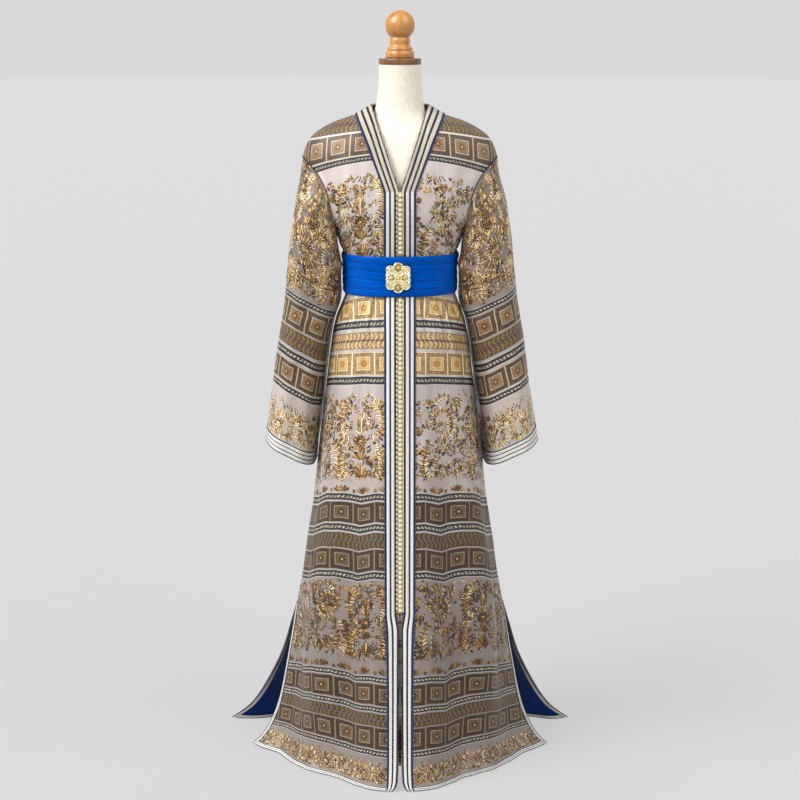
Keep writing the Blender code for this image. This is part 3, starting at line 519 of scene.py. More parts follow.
def hang(z: Array, share: Array) -> Array:
    """Return how far the weft lies below its height on the centre line.

    Args:
        z: Height of each point.
        share: Share of the half row at each point.

    Returns:
        The drop of each point.
    """
    strength = np.interp(z, WAVE_HEIGHTS, WAVE_STRENGTHS)
    wave = np.interp(share, WAVE_SHARES, WAVE_RISES) * strength
    return DROP_AT(z) * share**POWER_AT(z) - wave


def top_z(x: Array) -> Array:
    """Return the height of the neck and shoulder edge above a distance from the centre."""
    return np.where(x <= NECK_HALF, SHOULDER_Z, SHOULDER_LINE_Z(np.maximum(x, NECK_HALF)))


def yoke_z(x: Array, share: float) -> Array:
    """Return the height of a yoke row at a distance from the centre."""
    return UNDERARM_Z + share * (top_z(x) - UNDERARM_Z)


def armhole_end(share: float) -> float:
    """Return where a yoke row meets the armhole's edge, by halving an interval.

    Args:
        share: How far up the yoke the row lies, from 0 to 1.

    Returns:
        The distance from the centre line.
    """
    low, high = ARMHOLE[0].x, SHOULDER_END_X
    for _ in range(40):
        middle = (low + high) / 2
        if middle < ARMHOLE_X(yoke_z(middle, share)):
            low = middle
        else:
            high = middle
    return (low + high) / 2


def level_half_row(z: float, half: dict[str, Curve], sign_y: int) -> Array:
    """Return the dense points of a level half row, from the centre line to the side.

    Args:
        z: The row's height.
        half: The front's or the back's curves.
        sign_y: -1 for the front, 1 for the back.

    Returns:
        The row's points.
    """
    t = np.linspace(0.0, 1.0, DENSE)
    edge_x, edge_y, depth = half["edge_x"](z), half["edge_y"](z), half["depth"](z)
    pull_x = half["pull"](z) * edge_x
    handle_x, handle_y = half["handle_x"](z) * edge_x, half["handle_y"](z) * depth
    start, lead, trail, end = (1 - t)**3, 3 * t * (1 - t)**2, 3 * t * t * (1 - t), t**3
    x = lead * pull_x + trail * handle_x + end * edge_x
    y = sign_y * ((start + lead) * depth + trail * handle_y) + end * edge_y
    return np.column_stack((x, y, np.full(DENSE, z)))


def yoke_half_row(share: float, half: dict[str, Curve], sign_y: int) -> Array:
    """Return the dense points of a half row between the underarm and the shoulder line.

    Args:
        share: How far up the yoke the row lies, from 0 to 1.
        half: The front's or the back's curves.
        sign_y: -1 for the front, 1 for the back.

    Returns:
        The row's points.
    """
    x = armhole_end(share) * np.sin(np.linspace(0.0, math.pi / 2, DENSE))
    z = yoke_z(x, share)
    reach = 1 - (x / half["edge_x"](z))**2
    # The shoulder seam is drawn shut: front and back end on the same line there.
    shut = smooth_step((x - NECK_HALF) / SEAM_BLEND + 1)
    seam = (1 - (x / half["edge_x"](yoke_z(x, 1.0)))**2) * shut
    reach = np.sqrt(np.maximum(reach - seam * share**6, 0.0))
    return np.column_stack((x, sign_y * half["depth"](z) * reach, z))


def half_row(level: float, half: dict[str, Curve], sign_y: int) -> Array:
    """Return a dense half row; a level above the underarm's counts yoke shares past it.

    Args:
        level: The level, as front_levels gives it.
        half: The front's or the back's curves.
        sign_y: -1 for the front, 1 for the back.

    Returns:
        The row's points.
    """
    if level <= UNDERARM_Z:
        return level_half_row(level, half, sign_y)
    return yoke_half_row(level - UNDERARM_Z, half, sign_y)


def lengths_along(points: Array) -> Array:
    """Return the distance along a polyline to each of its points."""
    steps = np.linalg.norm(np.diff(points, axis=0), axis=1)
    return np.concatenate(([0.0], np.cumsum(steps)))


def cut_row(dense: Array, stops: Array) -> Array:
    """Return the points of a dense row at given distances along it."""
    along = lengths_along(dense)
    return np.column_stack([np.interp(stops, along, dense[:, axis]) for axis in range(3)])


def push_out(points: Array, push: Array) -> Array:
    """Move a row's points along its level normals by a distance each.

    Args:
        points: The row's points.
        push: How far each point moves.

    Returns:
        The moved points.
    """
    tangents = np.gradient(points[:, :2], axis=0)
    tangents /= np.linalg.norm(tangents, axis=1)[:, None]
    moved = points.copy()
    moved[:, 0] += tangents[:, 1] * push
    moved[:, 1] -= tangents[:, 0] * push
    return moved


def unit(vectors: Array) -> Array:
    """Return vectors scaled to length 1."""
    return vectors / np.maximum(np.linalg.norm(vectors, axis=-1, keepdims=True), 1e-12)


def fold_depths(folds: Sequence[Fold], share: Array, z: float) -> Array:
    """Return how far the folds push a row's points out, at shares of the row.

    Args:
        folds: The folds that cross the row.
        share: Share of the half row at each point.
        z: The row's height.

    Returns:
        The push of each point.
    """
    push = np.zeros_like(share)
    across = smooth_step((FOLD_START_Z - z) / FOLD_START_Z)
    for fold in folds:
        heights = (fold.at_000, fold.at_020, fold.at_050, fold.at_090, 0.0)
        depth = np.interp(z, FOLD_HEIGHTS[::-1], heights)
        middle = fold.at_top + (fold.at_hem - fold.at_top) * across
        push += depth * np.exp(-((share - middle) / fold.width)**2)
    return push


def crease_depths(creases: Sequence[Crease], along: Array, z: Array, half: float) -> Array:
    """Return the push of the creases over a row.

    Args:
        creases: The creases, with shares of the half row.
        along: Distance of each point from the centre line.
        z: Height of each point.
        half: Length of the half row.

    Returns:
        The push of each point along the row's normals.
    """
    push = np.zeros_like(along)
    for crease in creases:
        start = np.array([crease.share_a * half, crease.z_a])
        way = np.array([crease.share_b * half, crease.z_b]) - start
        offset = np.stack((along, z), axis=-1) - start
        t = np.clip(offset @ way / (way @ way), -0.2, 1.2)
        away = np.linalg.norm(offset - t[..., None] * way, axis=-1)
        fade = smooth_step((t + 0.1) / 0.3) * smooth_step((1.1 - t) / 0.3)
        push += crease.depth * fade * np.exp(-(away / crease.width)**2)
    return push


def gather_depths(phase: Array, z: float) -> Array:
    """Return the push of the uneven gathers below and above the belt.

    Args:
        phase: Which gather each point lies on, counted along the row.
        z: The row's height.

    Returns:
        The push of each point.
    """
    below = smooth_step((BELT_BOTTOM_Z + 0.004 - z) / 0.014) * smooth_step((z - 0.900) / 0.115)
    above = smooth_step((z - BELT_TOP_Z + 0.004) / 0.012) * smooth_step((1.185 - z) / 0.050)
    wave = np.cos(2 * math.pi * phase) + 0.45 * np.cos(2 * math.pi * (1.73 * phase + 0.2))
    return (0.0016 * below + 0.0009 * above) * wave


class Unevenness:
    """Slow random swells of hanging cloth, the same in every run."""

    def __init__(self, seed: int, rise: float = 0.0005) -> None:
        """Draw the swells' directions, lengths and phases.

        Args:
            seed: Start of the random draws.
            rise: Height of a swell 8 cm long.
        """
        draws = np.random.default_rng(seed)
        lengths = draws.uniform(0.030, 0.140, 9)
        angles = draws.uniform(-0.7, 0.7, 9)
        self.across = np.cos(angles) * 2 * math.pi / lengths
        self.down = np.sin(angles) * 2 * math.pi / lengths
        self.phase = draws.uniform(0.0, 2 * math.pi, 9)
        self.rise = rise * (lengths / 0.08)

    def at(self, u: Array, z: Array) -> Array:
        """Return the swell at places on the cloth."""
        waves = np.sin(u[..., None] * self.across + z[..., None] * self.down + self.phase)
        return (waves * self.rise).sum(axis=-1)


# ---- draped sheets
@dataclass
class Drape:
    """A draped sheet: a fine grid of points, with each point's place on the flat cloth.

    Attributes:
        points: Rows by columns by 3, from the hem up; columns are even along each row.
        start: Place across the cloth of each row's first column.
        stop: Place across the cloth of each row's last column.
        height: Height on the cloth of each point.
        facing: 1 or -1, so that the normals point out of the garment.
        bands: The bands of the brocade that cross it.
        level_seams: Whether normals at the first and last column keep to the seam's plane.
    """

    points: Array
    start: Array
    stop: Array
    height: Array
    facing: int
    bands: Sequence[Band]
    level_seams: bool = True
    normals: Array = field(init=False)

    def __post_init__(self) -> None:
        """Work out the normals."""
        across = np.gradient(self.points, axis=1)
        if np.allclose(self.points[:, 0], self.points[:, -1]):
            across[:, 0] = across[:, -1] = self.points[:, 1] - self.points[:, -2]
        normals = np.cross(across, np.gradient(self.points, axis=0)) * self.facing
        if self.level_seams:
            on_seam = np.abs(self.points[:, :, 1]) < 2 * SEAM_GAP
            normals[on_seam] *= np.array([1.0, 0.0, 1.0])
        self.normals = unit(normals)

    @property
    def shape(self) -> tuple[int, int]:
        """Return the numbers of rows and columns."""
        return self.points.shape[:2]

    def sample(self, grid: Array, row: Array, column: Array) -> Array:
        """Return a grid's values between its rows and columns.

        Args:
            grid: Values at every row and column.
            row: Row of each place.
            column: Column of each place.

        Returns:
            The values there.
        """
        rows, columns = self.shape
        row, column = np.clip(row, 0, rows - 1.0001), np.clip(column, 0, columns - 1.0001)
        i, j = row.astype(int), column.astype(int)
        a, b = row - i, column - j
        if grid.ndim == 3:
            a, b = a[..., None], b[..., None]
        return ((1 - a) * ((1 - b) * grid[i, j] + b * grid[i, j + 1])
                + a * ((1 - b) * grid[i + 1, j] + b * grid[i + 1, j + 1]))

    def column_at(self, row: Array, u: Array) -> Array:
        """Return the column of a place across the cloth, on a row.

        Args:
            row: Row of each place.
            u: Place across the flat cloth.

        Returns:
            The columns.
        """
        rows = np.arange(self.shape[0])
        first, last = np.interp(row, rows, self.start), np.interp(row, rows, self.stop)
        return (u - first) / (last - first) * (self.shape[1] - 1)

    def find(self, u: Array, height: Array) -> tuple[Array, Array]:
        """Return the row and column of places on the flat cloth.

        Args:
            u: Places across the flat cloth.
            height: Heights on the flat cloth.

        Returns:
            The rows and the columns.
        """
        rows = np.arange(self.shape[0], dtype=float)
        climb = np.gradient(self.height, axis=0)
        row = np.interp(height, self.height[:, self.shape[1] // 2], rows)
        for _ in range(8):
            column = self.column_at(row, u)
            error = height - self.sample(self.height, row, column)
            row = np.clip(row + error / self.sample(climb, row, column), 0, rows[-1])
        return row, self.column_at(row, u)

    def lift(self, row: Array, column: Array, rise: Array) -> Array:
        """Return points of the sheet, raised along its normals."""
        normals = unit(self.sample(self.normals, row, column))
        return self.sample(self.points, row, column) + normals * np.asarray(rise)[..., None]


def front_levels() -> Array:
    """Return the levels of a panel's rows; yoke shares are added to the underarm's height."""
    hem = np.array([HEM_Z, 0.0045, 0.0075, 0.0110])
    skirt = np.linspace(0.0110, UNDERARM_Z, 141)[1:]
    yoke = UNDERARM_Z + np.linspace(0.0, 1.0, 37)[1:]
    return np.concatenate((hem, skirt, yoke))


def below_shoulder(level: float) -> float:
    """Return 1 below the shoulder seam, falling to 0 on it, where no crease reaches."""
    return 1 - float(smooth_step((level - UNDERARM_Z - CALM_FROM) / (1 - CALM_FROM)))


def drape_front(side: Side) -> Drape:
    """Drape one front, from its meeting edge to its side seam.

    Args:
        side: Which front.

    Returns:
        The draped front.
    """
    uneven = Unevenness(11 if side is Side.LEFT else 12)
    columns = 70
    rows, starts, stops, heights = [], [], [], []
    for level in front_levels():
        dense = half_row(level, FRONT, -1)
        along = lengths_along(dense)
        z_centre = dense[0, 2]
        if z_centre > V_BOTTOM_Z:
            edge_x = (z_centre - V_BOTTOM_Z) / V_SLOPE + SEAM_GAP
        else:
            edge_x = CENTRE_EDGE(z_centre)
        start, stop = np.interp(edge_x, dense[:, 0], along), along[-1]
        u = np.linspace(start, stop, columns)
        points = cut_row(dense, u)
        share = u / stop
        window = smooth_step(share / 0.08) * smooth_step((1 - share) / 0.12)
        begun = smooth_step((share - 0.10) / 0.12)
        push = window * fold_depths(FRONT_FOLDS[side], share, z_centre)
        push += begun * window * gather_depths(8.6 * share + 0.13 * side.value, z_centre)
        creases = BODICE_CREASES + SKIRT_CREASES
        free = smooth_step((share - 0.10) / 0.10) * smooth_step((1 - share) / 0.06)
        shift = 0.02 * side.value
        push += free * crease_depths(creases, u + shift * stop, points[:, 2], stop)
        push += free * uneven.at(u, points[:, 2])
        heights.append(points[:, 2] + hang(points[:, 2], share))
        rows.append(push_out(points, push * below_shoulder(level)))
        starts.append(start)
        stops.append(stop)
    grid = np.array(rows)
    grid[:, :, 1] -= SEAM_GAP / 2
    grid[:, :, 0] *= side.value
    return Drape(grid, np.array(starts), np.array(stops), np.array(heights), side.value,
                 BODY_BANDS)


def drape_back() -> Drape:
    """Drape the back, from its left seam to its right."""
    uneven = Unevenness(21)
    columns = 130
    rows, ends, heights = [], [], []
    for level in front_levels():
        dense = half_row(level, BACK, 1)
        half = lengths_along(dense)[-1]
        u = np.linspace(-half, half, columns)
        points = cut_row(dense, np.abs(u))
        points[:, 0] *= np.sign(u)
        share = u / half
        z_centre = dense[0, 2]
        window = smooth_step((1 - np.abs(share)) / 0.10)
        free = smooth_step((1 - np.abs(share)) / 0.06)
        push = window * fold_depths(BACK_FOLDS, share, z_centre)
        push += window * gather_depths(8.3 * share + 0.3, z_centre)
        creases = BODICE_CREASES + SKIRT_CREASES
        push += free * crease_depths(creases, np.abs(u + 0.012), points[:, 2], half)
        push += free * uneven.at(u, points[:, 2])
        heights.append(points[:, 2] + hang(points[:, 2], np.abs(share)))
        rows.append(push_out(points, -push * below_shoulder(level)))
        ends.append(half)
    grid = np.array(rows)
    grid[:, :, 1] += SEAM_GAP / 2
    return Drape(grid, -np.array(ends), np.array(ends), np.array(heights), -1, BODY_BANDS)


@dataclass
class SleeveShape:
    """The form of one sleeve, worked out as the right one and turned over for the left."""

    side: Side
    roundness: float = 2.2
    middle_y: float = 0.004
    blend: float = 0.30
    tuck_front_at: float = 138.0
    tuck_back_at: float = 222.0
    tuck_width: float = 26.0

    @property
    def lean(self) -> float:
        """Return how far the cuff swings out."""
        return 0.005 if self.side is Side.RIGHT else -0.004

    def ring(self, t: float, angles: Array, lean: float) -> Array:
        """Return a ring's points at angles from its outermost point towards the front.

        Args:
            t: How far down the sleeve the ring lies, from 0 to 1.
            angles: Angle of each point.
            lean: How far the cuff swings out.

        Returns:
            The ring's points.
        """
        values = {name: SLEEVE_CURVES[name](t) for name in Ring._fields[1:]}
        outer = np.array([values["outer_x"] + lean * t, values["outer_z"]])
        inner = np.array([values["inner_x"], values["inner_z"]])
        cosine, sine = np.cos(angles), np.sin(angles)
        out = np.sign(cosine) * np.abs(cosine)**(2 / self.roundness)
        forward = np.sign(sine) * np.abs(sine)**(2 / self.roundness)
        depth = values["half_depth"] * np.ones_like(angles)
        degrees = np.degrees(angles) % 360
        for fold in SLEEVE_FOLDS:
            height = np.interp(t, FOLD_PLACES, (0.0, fold.top, fold.elbow, fold.cuff))
            depth += height * np.exp(-((degrees - fold.at) / fold.width)**2)
        front_lap = np.exp(-((degrees - self.tuck_front_at) / self.tuck_width)**2)
        back_lap = np.exp(-((degrees - self.tuck_back_at) / self.tuck_width)**2)
        tuck = values["tuck_front"] * front_lap + values["tuck_back"] * back_lap
        middle, half = (outer + inner) / 2, (outer - inner) / 2
        x = middle[0] + half[0] * out - tuck
        z = middle[1] + half[1] * out
        return np.column_stack((x, self.middle_y - depth * forward, z))

    def armhole(self, angles: Array) -> Array:
        """Return the body's armhole edge at the ring's angles.

        Args:
            angles: Angle of each point.

        Returns:
            The points.
        """
        shares = 1 - np.minimum(angles, 2 * math.pi - angles) / math.pi
        points = []
        for angle, share in zip(angles, shares):
            x = armhole_end(share)
            z = float(yoke_z(x, share))
            half, sign = (FRONT, -1) if angle <= math.pi else (BACK, 1)
            reach = math.sqrt(max(1 - (x / half["edge_x"](z))**2, 0.0))
            points.append((x, sign * half["depth"](z) * reach, z))
        return np.array(points)

    def crease_push(self, degrees: Array, t: float, radius: float) -> Array:
        """Return how far the creases push a ring's points out.

        Args:
            degrees: Angle of each point.
            t: How far down the sleeve the ring lies.
            radius: The sleeve's mean radius.

        Returns:
            The push of each point.
        """
        scale = math.radians(1) * radius
        creases = [Crease(crease.at_a * scale, crease.t_a * SLEEVE_LENGTH,
                          crease.at_b * scale, crease.t_b * SLEEVE_LENGTH,
                          crease.width, crease.depth) for crease in SLEEVE_CREASES]
        return crease_depths(creases, degrees * scale,
                             np.full(len(degrees), t * SLEEVE_LENGTH), 1.0)

    def drape(self) -> Drape:
        """Drape the sleeve as a sheet that closes on its inner seam, cuff first."""
        uneven = Unevenness(31 if self.side is Side.RIGHT else 32, rise=0.0006)
        count, columns = 180, 97
        angles = np.linspace(0.0, 2 * math.pi, count, endpoint=False)
        armhole, first = self.armhole(angles), self.ring(0.0, angles, 0.0)
        degrees = np.degrees(angles)
        rows, halves, heights = [], [], []
        for t in np.concatenate((np.linspace(1.0, CUFF_BRAID_T, 6),
                                 np.linspace(CUFF_BRAID_T, 0.0, 100)[1:])):
            fade = 1 - smooth_step(t / self.blend)
            ring = self.ring(t, angles, self.lean) + fade * (armhole - first)
            middle = ring.mean(axis=0)
            outward = unit((ring - middle) * np.array([1.0, 1.0, 0.0]))
            held = smooth_step(t / 0.06) * smooth_step((1.02 - t) / 0.08)
            swell = self.crease_push(degrees, t, 0.075) + uneven.at(
                0.075 * np.sin(angles), np.full(count, t * SLEEVE_LENGTH))
            ring = ring + outward * (held * swell)[:, None]
            seam = count // 2
            closed = np.vstack((ring[seam:], ring[:seam + 1]))
            length = lengths_along(closed)[-1]
            rows.append(cut_row(closed, np.linspace(0.0, length, columns))[::-1])
            halves.append(length / 2)
            heights.append(np.full(columns, SLEEVE_LENGTH * (1 - t)))
        grid = np.array(rows)
        away = grid[-2] - grid[-1]
        grid[-1] += 0.0006 * away / np.linalg.norm(away, axis=1)[:, None]
        grid[:, :, 0] *= self.side.value
        half = np.array(halves)
        return Drape(grid, -half, half, np.array(heights), self.side.value, SLEEVE_BANDS,
                     level_seams=False)


SLEEVE_CURVES = {name: table_curve(SLEEVE, name, key="t") for name in Ring._fields[1:]}


# ---- finishes
def linear(code: str) -> tuple[float, float, float, float]:
    """Return a shader colour from an sRGB hex code."""
    parts = [int(code[i:i + 2], 16) / 255 for i in (1, 3, 5)]
    return (*[p / 12.92 if p <= 0.04045 else ((p + 0.055) / 1.055)**2.4 for p in parts], 1.0)


Feed = NodeSocket | float | str | Sequence[float] | None


class NodeBoard:
    """The nodes of one material, added one after another and linked as they come."""

    def __init__(self, name: str, **values: float | str) -> None:
        """Start a material whose shader has uniform values.

        Args:
            name: The material's name.
            values: Values of the shader's sockets, spaces in their names as underscores.
        """
        self.material = bpy.data.materials.new(name)
        self.material.use_nodes = True
        self.tree = self.material.node_tree
        self.shader = self.tree.nodes["Principled BSDF"]
        for key, value in values.items():
            value = linear(value) if isinstance(value, str) else value
            self.shader.inputs[key.replace("_", " ")].default_value = value

    def feed(self, socket: NodeSocket, value: Feed) -> None:
        """Link a socket to another, or set its value.

        Args:
            socket: The input socket.
            value: What feeds it; a hex code is a colour, and None leaves it as it is.
        """
        if isinstance(value, NodeSocket):
            self.tree.links.new(value, socket)
        elif value is not None:
            socket.default_value = linear(value) if isinstance(value, str) else value

    def add(self, kind: str, *inputs: Feed, pick: int = 0,
            stops: Sequence[tuple[float, str]] = (),
            **settings: str | bool) -> NodeSocket:
        """Add a node and return one of its outputs.

        Args:
            kind: The node's type after "ShaderNode".
            inputs: What feeds its enabled sockets in order; None leaves one as it is.
            pick: Which of its enabled outputs to return.
            stops: Places and hex codes for a colour ramp.
            settings: The node's own properties, and smooth=False for a stepped ramp.

        Returns:
            The output socket.
        """
        node = self.tree.nodes.new("ShaderNode" + kind)
        smooth = settings.pop("smooth", True)
        for key, value in settings.items():
            setattr(node, key, value)
        for i, (place, code) in enumerate(stops):
            elements = node.color_ramp.elements
            stop = elements[i] if i < 2 else elements.new(place)
            stop.position, stop.color = place, linear(code)
        if stops:
            node.color_ramp.interpolation = "LINEAR" if smooth else "CONSTANT"
        for socket, value in zip([s for s in node.inputs if s.enabled], inputs):
            self.feed(socket, value)
        return [s for s in node.outputs if s.enabled][pick]

    def finish(self, colour: Feed = None, bump: Feed = None, depth: float = 0.0003,
               roughness: Feed = None) -> Material:
        """Link what shapes the shader's look.

        Args:
            colour: The base colour.
            bump: The height of the surface's fine relief.
            depth: How far the relief rises, in metres.
            roughness: The roughness, where it varies.

        Returns:
            The finished material.
        """
        if colour is not None:
            self.feed(self.shader.inputs["Base Color"], colour)
        if roughness is not None:
            self.feed(self.shader.inputs["Roughness"], roughness)
        if bump is not None:
            node = self.tree.nodes.new("ShaderNodeBump")
            node.inputs["Distance"].default_value = depth
            self.feed(node.inputs["Height"], bump)
            self.feed(self.shader.inputs["Normal"], node.outputs["Normal"])
        return self.material


def flat_place(board: NodeBoard) -> tuple[NodeSocket, ...]:
    """Read a cloth's own place from its UV map.

    Args:
        board: The material's board.

    Returns:
        The UV vector, and its two parts in metres.
    """
    vector = board.add("UVMap", uv_map=FLAT_UV)
    return (vector, board.add("SeparateXYZ", vector),
            board.add("SeparateXYZ", vector, pick=1))


FLAT_UV = "flat"
TONE = "tone"
TILE_WIDTH = 0.0548
TILE_HEIGHT = 0.0460
VINE_HEIGHT = 0.0165
CHAIN_HEIGHT = 0.0320


@dataclass(frozen=True)
class SilkGround:
    """Silver-mauve silk, darker towards the hem: partly its own tone, partly painted shade;
    fine streaks along the warp.
    """

    name: str = "silver_mauve_silk"
    roughness: float = 0.40
    pale_leaf: str = "#c0a068"
    leaf: str = "#7d5b2d"
    leaf_edge: str = "#24180e"
    shades: tuple[tuple[float, str], ...] = (
        (0.0, "#746a63"), (1.0, "#b3a9a3"), (0.18, "#70665f"), (0.29, "#736962"),
        (0.40, "#938983"), (0.60, "#9f9590"))
    low_painted_shade: float = 0.70

    def make(self) -> Material:
        """Return the material."""
        board = NodeBoard(self.name, Roughness=self.roughness, Sheen_Weight=0.25,
                          Sheen_Roughness=0.4, Metallic=0.12)
        vector, u, v = flat_place(board)
        # The ground's colour follows the height on the cloth; its darker stops are partly the
        # silk's own tone and partly painted shade.
        tall = board.add("Math", v, 1.46, operation="DIVIDE")
        ground = board.add("ValToRGB", tall, stops=self.shades)
        # Warp streaks are drawn 1.6 mm wide; the real ends are too fine to show.
        warp = board.add("VectorMath", vector, (620.0, 9.0, 1.0), operation="MULTIPLY")
        streak = board.add("TexNoise", warp, 1.0, 3.0, noise_dimensions="2D")
        cloud = board.add("TexNoise", vector, 16.0, 3.0, noise_dimensions="2D")
        shade = board.add("MapRange", streak, 0.3, 0.7, 0.90, 1.08)
        cloudy = board.add("MapRange", cloud, 0.3, 0.7, 0.95, 1.05)
        both = board.add("Math", shade, cloudy, operation="MULTIPLY")
        colour = board.add("VectorMath", ground, board.add("CombineXYZ", both, both, both),
                           operation="MULTIPLY")
        # Small woven leaves, 6 by 11 mm, crowd the ground between the raised figures.
        swirl = board.add("TexNoise", vector, 34.0, 1.0, noise_dimensions="2D", pick=1)
        swirl = board.add("VectorMath", swirl, (0.5, 0.5, 0.5), operation="SUBTRACT")
        bent = board.add("VectorMath", board.add("VectorMath", swirl, (0.024, 0.024, 0.0),
                                                 operation="MULTIPLY"), vector,
                         operation="ADD")
        bent = board.add("VectorMath", bent, (165.0, 92.0, 1.0), operation="MULTIPLY")
        leaf = board.add("TexVoronoi", bent, 1.0, voronoi_dimensions="2D")
        patch = board.add("TexNoise", vector, 26.0, 1.0, noise_dimensions="2D")
        patch = board.add("MapRange", patch, 0.36, 0.52, 0.0, 0.50)
        zone = board.add("Attribute", pick=2, attribute_name=TONE)
        reach = board.add("Math", patch, zone, operation="MULTIPLY")
        reach = board.add("Math", reach, 0.001, operation="MAXIMUM")
        share = board.add("Math", leaf, reach, operation="DIVIDE")
        cell = board.add("TexVoronoi", bent, 1.0, voronoi_dimensions="2D", pick=1)
        cell = board.add("MapRange", board.add("RGBToBW", cell), 0.2, 0.8, -0.30, 0.40)
        tinted = board.add("Math", share, cell, operation="ADD")
        woven = board.add("ValToRGB", tinted, stops=[
            (0.0, self.pale_leaf), (1.0, self.leaf_edge), (0.42, self.leaf),
            (0.72, self.leaf_edge)])
        # Low on the skirt the woven leaves are dimmed: a painted shade, as on the ground.
        dim = board.add("MapRange", v, 0.46, 0.66, self.low_painted_shade, 1.0)
        woven = board.add("VectorMath", woven, board.add("CombineXYZ", dim, dim, dim),
                          operation="MULTIPLY")
        on_leaf = board.add("Math", share, 1.0, operation="LESS_THAN")
        colour = board.add("Mix", on_leaf, colour, woven, data_type="RGBA")
        return board.finish(colour, board.add("Math", streak, on_leaf, operation="ADD"),
                            0.00020)


@dataclass(frozen=True)
class VineBand:
    """Dark blue-grey stripe between pale lines, with a row of slanted pale dashes."""

    name: str = "dark_vine_brocade"
    dash_pitch: float = 0.0085

    def make(self) -> Material:
        """Return the material."""
        board = NodeBoard(self.name, Roughness=0.45, Specular_IOR_Level=0.35)
        vector, u, v = flat_place(board)
        away = board.add("Math", board.add("Math", v, VINE_HEIGHT / 2, operation="SUBTRACT"),
                         operation="ABSOLUTE")
        share = board.add("Math", away, VINE_HEIGHT / 2, operation="DIVIDE")
        ground = board.add("ValToRGB", share, stops=[
            (0.0, "#2f3038"), (1.0, "#a49e98"), (0.34, "#24262e"), (0.62, "#141823"),
            (0.86, "#a7a199")], smooth=False)
        slant = board.add("Math", u, board.add("Math", v, 0.7, operation="MULTIPLY"),
                          operation="ADD")
        turns = board.add("Math", slant, self.dash_pitch, operation="DIVIDE")
        phase = board.add("Math", turns, operation="FRACT")
        patchy = board.add("TexNoise", vector, 260.0, 1.0, noise_dimensions="2D")
        width = board.add("MapRange", patchy, 0.35, 0.62, 0.15, 0.72)
        dash = board.add("Math", phase, width, operation="LESS_THAN")
        inside = board.add("Math", share, 0.30, operation="LESS_THAN")
        mask = board.add("Math", dash, inside, operation="MULTIPLY")
        colour = board.add("Mix", mask, ground, "#a59875", data_type="RGBA")
        return board.finish(colour, mask, 0.0003)


@dataclass(frozen=True)
class TileBand:
    """Squares in mottled frames between pale lines, a brown rosette in each."""

    name: str = "square_tile_brocade"
    field: str = "#7d664b"
    ring: str = "#9c8a6f"
    frame: str = "#3f3228"
    outline: str = "#232023"
    bead: str = "#715c3f"
    line: str = "#9c8563"
    rosette: str = "#583a1d"
    fleck: str = "#554029"

    def make(self) -> Material:
        """Return the material."""
        board = NodeBoard(self.name, Roughness=0.45, Sheen_Weight=0.05, Metallic=0.12,
                          Specular_IOR_Level=0.35)
        vector, u, v = flat_place(board)
        turns = board.add("Math", board.add("Math", u, TILE_WIDTH, operation="DIVIDE"),
                          operation="FRACT")
        x = board.add("Math", board.add("Math", turns, 0.5, operation="SUBTRACT"), TILE_WIDTH,
                      operation="MULTIPLY")
        y = board.add("Math", v, TILE_HEIGHT / 2, operation="SUBTRACT")
        far_x = board.add("Math", board.add("Math", x, operation="ABSOLUTE"), 0.86,
                          operation="MULTIPLY")
        far_y = board.add("Math", y, operation="ABSOLUTE")
        far = board.add("Math", board.add("Math", far_x, far_y, operation="MAXIMUM"), 0.030,
                        operation="DIVIDE")
        squares = board.add("ValToRGB", far, stops=[
            (0.0, self.field), (1.0, self.line), (0.35, self.fleck), (0.38, self.ring),
            (0.475, self.outline), (0.515, self.frame), (0.70, self.outline),
            (0.728, self.line)], smooth=False)
        # Flecks are drawn 3 mm wide; the real weave is too fine to show.
        grain = board.add("TexNoise", vector, 300.0, 2.0, noise_dimensions="2D")
        flecks = board.add("MapRange", grain, 0.50, 0.66, 0.0, 0.75)
        in_field = board.add("Math", far, 0.45, operation="LESS_THAN")
        flecks = board.add("Math", flecks, in_field, operation="MULTIPLY")
        squares = board.add("Mix", flecks, squares, self.fleck, data_type="RGBA")
        beads = board.add("MapRange", grain, 0.44, 0.34, 0.0, 0.85)
        away = board.add("Math", board.add("Math", far, 0.60, operation="SUBTRACT"),
                         operation="ABSOLUTE")
        in_frame = board.add("Math", away, 0.10, operation="LESS_THAN")
        beads = board.add("Math", beads, in_frame, operation="MULTIPLY")
        squares = board.add("Mix", beads, squares, self.bead, data_type="RGBA")
        angle = board.add("Math", y, x, operation="ARCTAN2")
        petals = board.add("Math", board.add("Math", angle, 8.0, operation="MULTIPLY"),
                           operation="COSINE")
        reach = board.add("MapRange", petals, -1.0, 1.0, 0.0052, 0.0092)
        radius = board.add("Math", x, x, board.add("Math", y, y, operation="MULTIPLY"),
                           operation="MULTIPLY_ADD")
        radius = board.add("Math", radius, operation="SQRT")
        flower = board.add("Math", radius, reach, operation="LESS_THAN")
        heart = board.add("Math", radius, 0.0024, operation="LESS_THAN")
        colour = board.add("Mix", flower, squares, self.rosette, data_type="RGBA")
        colour = board.add("Mix", heart, colour, "#a28650", data_type="RGBA")
        height = board.add("RGBToBW", colour)
        return board.finish(colour, height, 0.0006)


